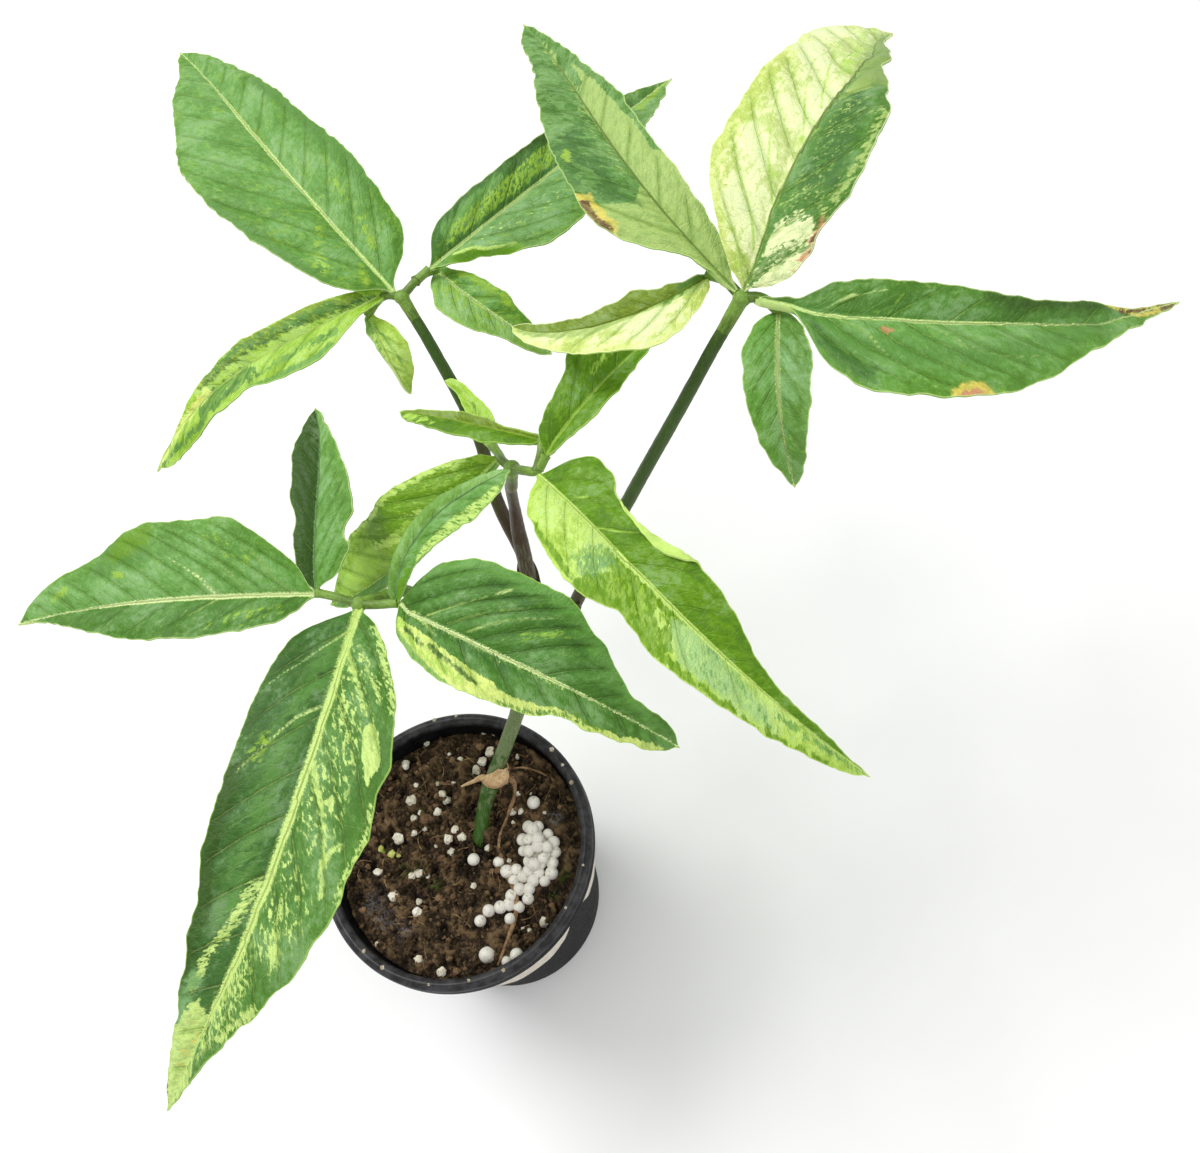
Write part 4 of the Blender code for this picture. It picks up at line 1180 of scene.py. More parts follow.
    def fold_margins(self, place: Array, outward: Array, normal: Array, share: Array,
                     side: Array, reach: Array, packed: Array) -> Array:
        """Rolls each stretch of margin that the photograph shows folded over."""
        for curl in self.blade.curls:
            first, last = curl.line[0][0], curl.line[-1][0]
            ends = smooth_step(share, first, first + 0.04) * (1 - smooth_step(share, last - 0.04, last))
            line = packed * read_curve(share, curl.line)
            folds = (np.sign(side) == curl.side) & (reach > line) & (share > first) & (share < last)
            beyond = np.where(folds, reach - line, 0.0)
            most = np.radians(curl.angle) * ends
            turn = np.minimum(beyond / curl.bend, np.abs(most))
            rest = beyond - curl.bend * turn
            way = np.sign(curl.angle)
            ahead = curl.bend * np.sin(turn) + rest * np.cos(turn)
            rise = way * (curl.bend * (1 - np.cos(turn)) + rest * np.sin(turn))
            place = place + outward * (ahead - beyond)[:, None] + normal * rise[:, None]
        return place

    def mark_depth(self, mark: Mark, flattened: Array, shares: Array, left: Array, right: Array) -> Array:
        """How deep each point of the blade lies inside a mark, in millimetres."""
        spots = np.array(mark.spots)
        if not mark.width:
            spots = np.vstack([spots, spots[:1]])
        stations = np.linspace(0, len(spots) - 1, (len(spots) - 1) * 6 + 1)
        order = np.arange(len(spots))
        share = np.interp(stations, order, spots[:, 0])
        side = np.interp(stations, order, spots[:, 1])
        half = np.where(side > 0, np.interp(share, shares, right), np.interp(share, shares, left))
        corners = np.stack([share * self.blade.length, side * half], axis=1)
        if mark.width:
            return path_depth(flattened, corners, mark.width, mark.end_width or mark.width)
        return area_depth(flattened, corners[:-1])

    def thicken(self, item: Item, rib: Array, share: Array) -> None:
        """Gives the sheet its thickness, and the rib that stands proud underneath."""
        for face in ("upper", "lower"):
            item.data.materials.append(bpy.data.materials.new(f"{self.name}_{face}_holder"))
        give_thickness(item, self.thickness, backed=True)
        count = len(rib)
        places = read_points(item)
        down = places[count:2 * count] - places[:count]
        down /= np.maximum(np.linalg.norm(down, axis=1), TINY)[:, None]
        depth = mix(self.rib_depth, share) * np.exp(-(rib / self.rib_half) ** 2)
        depth = depth * smooth_step(share, 0.0, 0.03)
        places[count:2 * count] += down * (depth * MM)[:, None]
        write_points(item, places)

    def dress(self, item: Item, node: str) -> None:
        """Gives the blade its two faces' materials."""
        materials = [leaf_upper(self.name + "_upper", self.blade, self.patterns),
                     leaf_lower(self.name + "_lower", self.blade.finish.under, self.patterns)]
        hand_over(item, (node,), materials)


G = Tint

BACK_BLADES = (
    Blade(
        (58.5, 130, 219), 156, (-22, -15, -19), (28, -3, -7), (16, 27, 29, 21, 9), (16, 19, 17, 14, 7),
        (0, 4), (14, 8), (-14, -12), (1.2, 3, 0.1),
        BladeFinish(G.MID_GREEN, G.MID_GREEN, rib_width=1.3, rib_feather=0.9, vein_gain=0.24,
                    mottle_cover=0.3),
        marks=(
            Mark(G.LEAF_GREEN, ((0.2, 0.72), (0.7, 0.72), (0.75, 1.1), (0.2, 1.1)), soft=2),
            Mark(G.LEAF_GREEN, ((0.08, -1.1), (0.4, -1.1), (0.4, -0.9), (0.08, -0.85)), soft=1.5),
            Mark(G.YELLOW_GREEN, ((0.05, -0.55), (0.08, -0.2)), 2.6, 1.5, cover=0.6, soft=1),
            Mark(G.LIME, ((0.12, -0.75), (0.14, -0.62)), 3.2, cover=0.5, soft=1.6),
            Mark(G.YELLOW_GREEN, ((0.16, -0.5), (0.2, -0.25)), 3.4, 2, cover=0.45, soft=1.6),
            Mark(G.YELLOW_GREEN, ((0.1, 0.3), (0.16, 0.4)), 3, cover=0.45, soft=1.6),
            Mark(G.YELLOW_GREEN, ((0.22, 0.36), (0.28, 0.5)), 2.6, cover=0.45, soft=1.6),
            Mark(G.LEAF_GREEN, ((0.58, 0.85), (0.68, 0.86)), 2.6, 1.6, soft=1.4),
        ),
        left_margin=((0, 1), (0.1, 0.98), (0.2, 0.92), (0.3, 0.93), (0.4, 1), (0.8, 0.95), (0.85, 0.85),
                     (0.9, 0.7), (1, 0.8)),
        right_margin=((0.1, 1), (0.45, 0.97), (0.65, 0.93), (0.9, 0.98)),
        left_veins=(0.05, 0.14, 0.235, 0.33, 0.45, 0.57, 0.69, 0.8),
        right_veins=(0.04, 0.12, 0.21, 0.3, 0.4, 0.51, 0.62, 0.74),
        midrib=((0, 0), (0.2, -0.03), (0.6, -0.05), (0.85, -0.03), (1, 0)),
    ),
    Blade(
        (71.5, 131.5, 221), 119, (94, 59, 50), (26, -10, -20), (10, 12, 11, 8, 3), (6, 22, 17, 10, 4),
        (14, 10), (20, 14), (-10, -20), (1, 2.5, 0.3),
        BladeFinish(G.LEAF_GREEN, G.BLUE_GREEN, rib_width=1, rib_feather=0.4, vein_gain=0.24,
                    under=G.UNDERSIDE_OLIVE, mottle_cover=0.3),
        marks=(
            # The dark and deep greens along the left margin are painted shade on the half turned from the
            # light.
            Mark(G.DARK_GREEN, ((0, -1.1), (0.5, -1.1), (0.5, -0.6), (0, -0.6)), soft=1.2),
            Mark(G.DEEP_GREEN, ((0.28, -1.1), (0.6, -1.1), (0.6, -0.5), (0.4, -0.8)), soft=1.6),
            Mark(G.MID_GREEN, ((0.1, -0.62), (0.3, -0.74)), 4, 2, soft=1),
            Mark(G.YELLOW_GREEN, ((0.06, -0.15), (0.12, -0.58), (0.3, -0.6), (0.47, -0.68), (0.47, -0.15),
                                  (0.2, -0.18)), cover=0.52, grain=1.3, ragged=0.8),
            Mark(G.DARK_GREEN, ((0.07, -0.1), (0.47, -0.09)), 2, 1.6, soft=0.6, cover=0.8),
            Mark(G.PALE_LIME, ((0.12, 0.3), (0.4, 0.5)), 4, 6, cover=0.25, grain=1.3),
            # On the downturned margin strip this olive is painted shade, brightened where light shines
            # through the blade.
            Mark(G.UNDERSIDE_OLIVE, ((0.06, 0.4), (0.09, 0.4), (0.12, 0.6), (0.16, 0.8), (0.22, 0.84),
                                     (0.24, 1.1), (0.05, 1.1)), ragged=0.3),
            Mark(G.PALE_LIME, ((0.08, 0.38), (0.12, 0.58), (0.16, 0.78), (0.22, 0.82)), 0.7, 0.7,
                 ragged=0.1, soft=0.2),
            Mark(G.YELLOW_GREEN, ((0.78, 0.3), (0.95, 0.2)), 3, 1, cover=0.7),
        ),
        left_margin=((0.9, 1), (0.97, 0.5), (1, 0.3)), right_margin=((0.9, 1), (0.97, 0.5), (1, 0.3)),
        curls=(Curl(1, ((0.05, 0.5), (0.1, 0.5), (0.16, 0.78), (0.22, 0.8)), -48),),
    ),
    Blade(
        (73.2, 134, 217), 49, (156, 148, 124), (9, -18, -56), (3, 6, 7, 5, 3), (6, 11, 9, 6, 3), (8, 8),
        (14, 12), (-12, -12), (0.6, 2, 0.5),
        BladeFinish(G.MID_GREEN, G.SOFT_GREEN, rib_width=0.8, vein_gain=0.24, mottle_cover=0.45),
        marks=(
            Mark(G.YELLOW_GREEN, ((0.2, -0.75), (0.6, -0.8)), 1.8, 1, cover=0.7, soft=0.6),
            Mark(G.YELLOW_GREEN, ((0.15, 0.2), (0.6, 0.4)), 6, 4, cover=0.4),
        ),
        right_margin=((0.15, 1), (0.25, 0.93), (0.5, 1), (0.65, 0.85), (0.7, 0.85), (0.85, 1)),
        left_veins=(0.05, 0.2, 0.36, 0.52, 0.7), right_veins=(0.03, 0.18, 0.34, 0.5, 0.68),
        midrib=((0, 0), (0.2, 0.08), (1, 0.05)),
    ),
    Blade(
        (57, 133, 217.2), 106, (-110, -86, -109), (14, -19, -40), (3, 14, 10, 10, 7), (5, 8, 8, 6, 2),
        (-14, -10), (16, 12), (-16, -10), (1.2, 3, 0.6),
        BladeFinish(G.LIME, G.LIME, rib=G.PALE_LIME, rib_width=0.4, rib_feather=0.2, vein=G.MID_GREEN,
                    vein_gain=0.16, margin=G.PALE_LIME, mottle=G.MID_GREEN, mottle_cover=0.22),
        marks=(
            Mark(G.OLIVE, ((0.08, 0.15), (0.2, 0.2), (0.3, 0.35), (0.6, 0.45), (0.68, 0.55), (0.68, 0.95),
                           (0.6, 1), (0.08, 1)), cover=0.58, grain=2),
            Mark(G.DARK_GREEN, ((0.06, 0.2), (0.2, 0.45), (0.35, 0.46), (0.52, 0.5), (0.66, 0.66)), 2.4,
                 1.4, cover=0.56, grain=1.3, soft=0.8),
            Mark(G.LEAF_GREEN, ((0.16, 0.55), (0.4, 0.72), (0.64, 0.86)), 2.6, 1.6, cover=0.6, grain=1.6),
            Mark(G.MID_GREEN, ((0.2, -1.1), (0.52, -1.1), (0.5, -0.88), (0.22, -0.8)), ragged=0.8,
                 grain=1.6),
            Mark(G.LEAF_GREEN, ((0.46, -0.72), (0.7, -0.8), (0.72, 0.05), (0.6, 0.12), (0.5, 0.05),
                                (0.46, -0.2)), cover=0.68, grain=2),
            Mark(G.MID_GREEN, ((0.2, -0.6), (0.28, -0.45), (0.45, -0.62)), 2, 1.2, cover=0.6, grain=1.6),
            Mark(G.LEAF_GREEN, ((0.7, -0.78), (0.98, -0.5)), 2.6, 1, cover=0.75, grain=1.6),
            Mark(G.CREAM_YELLOW, ((0.66, 0.15), (0.8, 0.05), (0.97, -0.3)), 3.4, 1.6, cover=0.8),
            Mark(G.YELLOW, ((0.69, 0.2), (0.75, 0.35)), 1, 0.6, soft=0.8, cover=0.5),
        ),
        left_margin=((0.1, 1), (0.2, 0.9), (0.45, 0.9), (0.5, 0.75), (0.6, 0.95), (0.65, 0.85), (0.8, 1),
                     (1, 1)),
        right_margin=((0.6, 1), (0.7, 0.9), (0.75, 0.6), (0.8, 0.45), (0.85, 0.15), (0.9, 0.1), (1, 0.3)),
    ),
    Blade(
        (47.5, 132, 212), 32, (172, 175, 150), (18, -38, -80), (2, 5, 6, 5, 2), (2, 4, 4, 2, 1.5), (-6, -6),
        (14, 12), (-10, -10), (0.4, 1.5, 0.2),
        BladeFinish(G.PALE_LIME, G.SOFT_GREEN, rib=G.PALE_LIME, rib_width=0.7, vein_gain=0.3, mottle=G.LIME,
                    mottle_cover=0.05),
        marks=(
            Mark(G.MID_GREEN, ((0.05, 0), (0.15, 0.1), (0.12, 1.1), (0, 1.1)), soft=0.8),
            Mark(G.MID_GREEN, ((0.15, -0.12), (0.4, -0.3), (0.75, -0.52)), 0.9, 0.6, ragged=0.3),
            Mark(G.PALE_LIME, ((0.3, 0.2), (0.9, 0.1)), 2.4, 1.2, cover=0.6, grain=1.6),
        ),
        left_margin=((0, 1), (0.15, 1.25), (0.8, 1.25), (1, 1)),
        right_margin=((0.1, 1), (0.2, 0.75), (0.4, 0.5), (0.6, 0.2), (0.75, 0.2), (0.9, 0.6)),
        left_veins=(0.05, 0.25, 0.45, 0.65), right_veins=(0.05, 0.25, 0.45, 0.65),
    ),
)

RIGHT_BLADES = (
    Blade(
        (144, 49.5, 257), 137, (-28, -2, -9), (32, -9, -8), (6, 18, 16, 10, 6), (7, 10, 10, 7, 3), (-8, -6),
        (20, 14), (-16, -14), (1.2, 3, 0.4),
        BladeFinish(G.LEAF_GREEN, G.LEAF_GREEN, rib=G.VEIN_GREEN, rib_width=0.6, rib_feather=0.3,
                    vein=G.YELLOW_GREEN, vein_gain=0.16, mottle=G.SOFT_GREEN, mottle_cover=0.5),
        marks=(
            Mark(G.SAGE, ((-0.05, 0), (0.29, 0), (0.265, -0.15), (0.245, -0.35), (0.27, -0.6), (0.33, -1.1),
                          (-0.05, -1.1)), ragged=0.5, grain=1.4, soft=0.15),
            Mark(G.SAGE, ((-0.05, 0), (0.29, 0), (0.55, -0.05), (0.6, 0), (0.63, 0.2), (0.64, 0.38),
                          (0.7, 0.48), (0.76, 0.6), (0.68, 0.67), (0.62, 0.72), (0.52, 0.7), (0.45, 0.78),
                          (0.43, 0.87), (0.33, 0.82), (0.31, 1.1), (-0.05, 1.1)), ragged=0.5, grain=1.4,
                 soft=0.15),
            Mark(G.DARK_GREEN, ((0.24, -0.3), (0.5, -0.3), (0.5, -0.95), (0.34, -0.95)), ragged=2, grain=4,
                 soft=2, cover=0.55),
            Mark(G.SAGE, ((0.32, -0.1), (0.5, -0.14), (0.75, -0.03)), 3.4, 2, cover=0.33, grain=0.9,
                 soft=0.6),
            Mark(G.SAGE, ((0.6, 0.04), (0.72, 0.1)), 2.4, 1.4, cover=0.4, grain=0.9, soft=0.6),
            Mark(G.SAGE, ((0.78, 0.08), (0.88, 0.1)), 1.4, 0.6, cover=0.8, grain=1.2),
            Mark(G.YELLOW_GREEN, ((0.41, -0.8), (0.43, -0.8)), 1.6, soft=0.5),
            Mark(G.YELLOW, ((0.2, -1.1), (0.33, -1.1), (0.31, -0.76), (0.23, -0.82)), soft=0.4, ragged=0.7,
                 grain=1.6),
            Mark(G.BURN, ((0.21, -1.1), (0.32, -1.1), (0.3, -0.84), (0.27, -0.9), (0.23, -0.88)),
                 cover=0.75, soft=0.3, ragged=0.5, grain=1),
        ),
        left_margin=((0, 0.6), (0.05, 0.45), (0.1, 0.5), (0.15, 0.9), (0.2, 1), (0.35, 0.9), (0.55, 0.9),
                     (0.7, 0.98), (0.8, 0.8), (0.9, 0.9)),
        right_margin=((0, 0.8), (0.1, 0.95), (1, 0.95)),
    ),
    Blade(
        (145.5, 48.5, 257), 114, (60, 44, 54), (68, -11, -29), (9, 20, 20, 20, 14), (14, 20, 21, 12, 3),
        (0, 0), (16, 10), (-12, -16), (1.2, 2.5, 0),
        BladeFinish(G.CREAM, G.LEAF_GREEN, rib=G.VEIN_GREEN, rib_width=0.8, rib_feather=0.2, vein=G.LIME,
                    vein_gain=0.22, margin=G.CREAM, mottle=G.CREAM_YELLOW, mottle_cover=0.18),
        marks=(
            Mark(G.LIME, ((0.02, -0.2), (0.1, -0.5), (0.16, -0.9)), 0.5, 0.3, ragged=0.1, soft=0.2),
            Mark(G.LIME, ((0.1, -0.02), (0.2, -0.4), (0.27, -0.73)), 0.6, 0.4, ragged=0.1, soft=0.25),
            Mark(G.LIME, ((0.2, 0.02), (0.3, -0.28), (0.4, -0.5), (0.48, -0.57), (0.6, -0.43), (0.8, -0.2)),
                 0.7, 0.4, ragged=0.1, soft=0.25),
            Mark(G.LIME, ((0.36, 0.06), (0.5, -0.25), (0.6, -0.43)), 0.6, 0.4, ragged=0.1, soft=0.25),
            Mark(G.LIME, ((0.44, 0.12), (0.7, -0.3), (0.9, -0.4)), 0.6, 0.4, ragged=0.1, soft=0.25),
            Mark(G.LIME, ((0.27, -0.73), (0.45, -0.72), (0.5, -0.6)), 0.5, 0.3, ragged=0.1, soft=0.2),
            Mark(G.LIME, ((0, -0.3), (0.2, 0), (0.5, 0.1), (0.6, 0.3)), 5, 4, soft=4, cover=0.28, grain=4),
            Mark(G.CREAM, ((0, 0.1), (0.08, 0.25), (0.16, 0.24), (0.2, 0.5), (0.19, 0.8), (0.15, 1.1),
                           (0, 1.1)), ragged=0.9, grain=1.7, cover=0.9),
            Mark(G.LEAF_GREEN, ((0.03, 0.35), (0.07, 0.3), (0.1, 0.5), (0.14, 0.85)), 3.4, 2.6, cover=0.62,
                 grain=1.2),
            Mark(G.LEAF_GREEN, ((0.17, 0.3), (0.2, 0.7)), 2.4, 3, cover=0.5, grain=1.2),
            Mark(G.SAGE, ((0.2, 0.3), (0.25, 0.5), (0.2, 0.95)), 2.4, 2, cover=0.4, grain=1.2),
            Mark(G.DARK_GREEN, ((0.24, 0.3), (0.48, 0.35), (0.52, 0.6), (0.4, 0.75), (0.26, 0.8)),
                 ragged=1.4, soft=1.6, cover=0.6),
            Mark(G.SAGE, ((0.24, 0.42), (0.36, 0.5), (0.5, 0.52)), 6, 7, cover=0.3, grain=1, soft=0.5),
            Mark(G.SAGE, ((0.46, 0.28), (0.56, 0.5), (0.6, 0.72), (0.52, 0.75), (0.5, 0.5)), ragged=0.9,
                 soft=0.5),
            Mark(G.SAGE, ((0.24, 0.86), (0.33, 0.94), (0.44, 0.92)), 1.6, 1.4, cover=0.7, grain=1.2),
            Mark(G.VEIN_GREEN, ((0.52, 0.5), (0.62, 0.3), (0.8, 0.1), (0.97, -0.2), (1.05, 1.1),
                                (0.55, 1.1)), soft=2.6, ragged=0.8, cover=0.95),
            Mark(G.LIME, ((0.6, 0.2), (0.8, 0), (0.95, -0.4)), 4, 3, soft=3, cover=0.6),
            Mark(G.PINK, ((0.1, 1), (0.19, 0.97)), 2, 1.2, soft=0.5),
            Mark(G.BURN, ((0.14, 1), (0.16, 1)), 1.2, soft=0.4),
        ),
        left_margin=((0.2, 1), (0.3, 0.93), (0.5, 0.87), (0.6, 0.78), (0.7, 0.75), (0.85, 1)),
        right_margin=((0, 1), (0.13, 1), (0.18, 0.86), (0.24, 0.98), (0.45, 0.95), (0.5, 0.78),
                      (0.62, 0.73), (0.66, 0.66), (0.7, 0.92), (0.78, 0.95), (0.9, 0.7), (1, 0.5)),
        left_veins=(0.04, 0.12, 0.21, 0.3, 0.38, 0.47, 0.58, 0.7), lean=(1, 0.9),
        midrib=((0, 0.05), (0.05, 0.13), (0.2, 0.07), (0.35, 0.13), (0.45, 0.2), (0.55, 0.35), (0.7, 0.55),
                (0.85, 0.4), (1, 0)),
    ),
    Blade(
        (146, 48, 255.5), 123, (148, 106, 78), (18, -15, -29), (5, 10, 9, 6, 2), (4, 21, 22, 10, 2.5),
        (14, 10), (16, 12), (-10, -18), (1.2, 3, 0.8),
        BladeFinish(G.LEAF_GREEN, G.MID_GREEN, rib_width=1, rib_feather=0.5, rib_end=0.76, vein_gain=0.24),
        marks=(
            Mark(G.LEAF_GREEN, ((0.15, 0.5), (0.5, 0.5), (0.75, 0.4)), 7, 4, soft=3, cover=0.7, grain=3),
            Mark(G.BLUE_GREEN, ((0.2, 0.4), (0.6, 0.4)), 8, 5, cover=0.22, grain=0.9),
            Mark(G.DEEP_GREEN, ((0.5, -1.1), (0.78, -1.1), (0.78, -0.3), (0.5, -0.5)), soft=2, ragged=1),
            Mark(G.YELLOW, ((0.765, -1.1), (0.8, -0.3), (0.82, 0.1), (0.85, 0.6), (0.92, 1.1), (1.1, 1.1),
                            (1.1, -1.1)), ragged=0.6),
            Mark(G.BURN, ((0.81, -0.25), (0.9, 0.35)), 1.6, 1, soft=0.5),
            Mark(G.BURN, ((0.92, -1.1), (0.92, 1.1), (1.1, 1.1), (1.1, -1.1)), ragged=0.5),
            Mark(G.YELLOW, ((0.4, 1.1), (0.42, 0.86), (0.47, 0.84), (0.49, 1.1)), soft=0.5, ragged=0.8,
                 cover=0.85),
            Mark(G.PINK, ((0.42, 1.1), (0.43, 0.93), (0.47, 0.92), (0.48, 1.1)), cover=0.7, grain=1.2),
            Mark(G.SAGE, ((0.2, 0.12), (0.27, 0.3), (0.33, 0.65), (0.4, 0.95)), 0.5, 0.3, ragged=0.2,
                 soft=0.3, grain=0.9, cover=0.85),
            Mark(G.SAGE, ((0.38, 0.1), (0.47, 0.45), (0.6, 0.7)), 0.5, 0.3, ragged=0.2, soft=0.3, grain=0.9,
                 cover=0.85),
            Mark(G.RIB_PALE, ((0.18, -0.05), (0.22, -0.5), (0.3, -0.7)), 0.5, 0.3, ragged=0.3, soft=0.3,
                 cover=0.7),
            Mark(G.DARK_GREEN, ((0.14, 0.4), (0.2, 0.6), (0.3, 0.75), (0.3, 0.95), (0.16, 0.8)), soft=1.4,
                 cover=0.8),
            Mark(G.PINK, ((0.305, 0.2), (0.315, 0.2)), 1.4, soft=0.5),
        ),
        left_margin=((0, 0.25), (0.12, 0.3), (0.18, 0.9), (0.3, 0.9), (0.4, 1), (0.5, 0.85), (0.55, 0.72),
                     (0.65, 0.67), (0.75, 0.8), (0.8, 0.45), (0.85, 0.2), (0.9, 0.2), (1, 0.6)),
        right_margin=((0, 0.3), (0.11, 0.3), (0.18, 0.95), (0.4, 1), (0.55, 0.87), (0.7, 1)),
        left_veins=(0.1, 0.18, 0.3, 0.42, 0.55, 0.7),
        right_veins=(0.12, 0.18, 0.25, 0.33, 0.4, 0.5, 0.6, 0.72),
        midrib=((0, 0.1), (0.13, 0.3), (0.2, 0.1), (0.3, 0.03), (0.5, 0.03), (0.6, 0.08), (0.68, 0.2),
                (0.75, 0.35), (0.85, 0.3), (1, 0)),
    ),
    Blade(
        (152, 42, 252.5), 50, (-156, -160, -185), (12, -33, -75), (5, 9, 8, 6, 3), (6, 9, 8, 6, 3), (8, 8),
        (14, 12), (-10, -10), (0.5, 2, 0.1),
        BladeFinish(G.BLUE_GREEN, G.MID_GREEN, rib_width=1.1, rib_feather=1, rib_end=0.75, vein_gain=0.24),
        right_margin=((0.7, 1), (0.8, 0.88), (0.85, 0.75), (0.95, 0.6)),
        left_veins=(0.05, 0.18, 0.32, 0.46, 0.62), right_veins=(0.06, 0.17, 0.27, 0.4, 0.55),
    ),
    Blade(
        (140.5, 60.5, 253.5), 66, (-114, -65, -25), (14, -18, -22), (6, 12, 9, 6, 3), (2, 6, 5, 3, 2),
        (-14, -8), (16, 12), (-14, -8), (1, 2, 0.7),
        BladeFinish(G.CREAM, G.OLIVE, rib=G.OLIVE, rib_width=0.5, rib_feather=0.2, vein=G.LIME,
                    vein_gain=0.18, margin=G.CREAM, mottle=G.LIME, mottle_cover=0.12, under=G.PALE_LIME),
        marks=(
            Mark(G.SAGE, ((0.08, -0.5), (0.15, -0.25), (0.33, -0.1), (0.45, -0.25), (0.55, -0.4),
                          (0.7, -0.38), (0.9, -0.6), (1, 0), (0, 0)), ragged=0.6),
            Mark(G.OLIVE, ((0, -0.1), (0.3, -0.08), (0.5, 0), (0.8, 0), (0.8, 0.1), (0, 0.1)), ragged=0.4),
            Mark(G.LEAF_GREEN, ((0, -0.12), (0.16, -0.05), (0.14, 1.1), (0, 1.1)), soft=1.2),
            Mark(G.LEAF_GREEN, ((0.05, -0.1), (0.3, -0.08)), 0.8, 0.4, soft=0.4),
        ),
        right_margin=((0.15, 1), (0.23, 0.65), (0.3, 0.95), (0.5, 0.8), (0.57, 0.65), (0.65, 0.9),
                      (0.8, 1)),
        left_veins=(0.05, 0.18, 0.32, 0.46, 0.62), right_veins=(0.06, 0.17, 0.27, 0.4, 0.55),
    ),
)

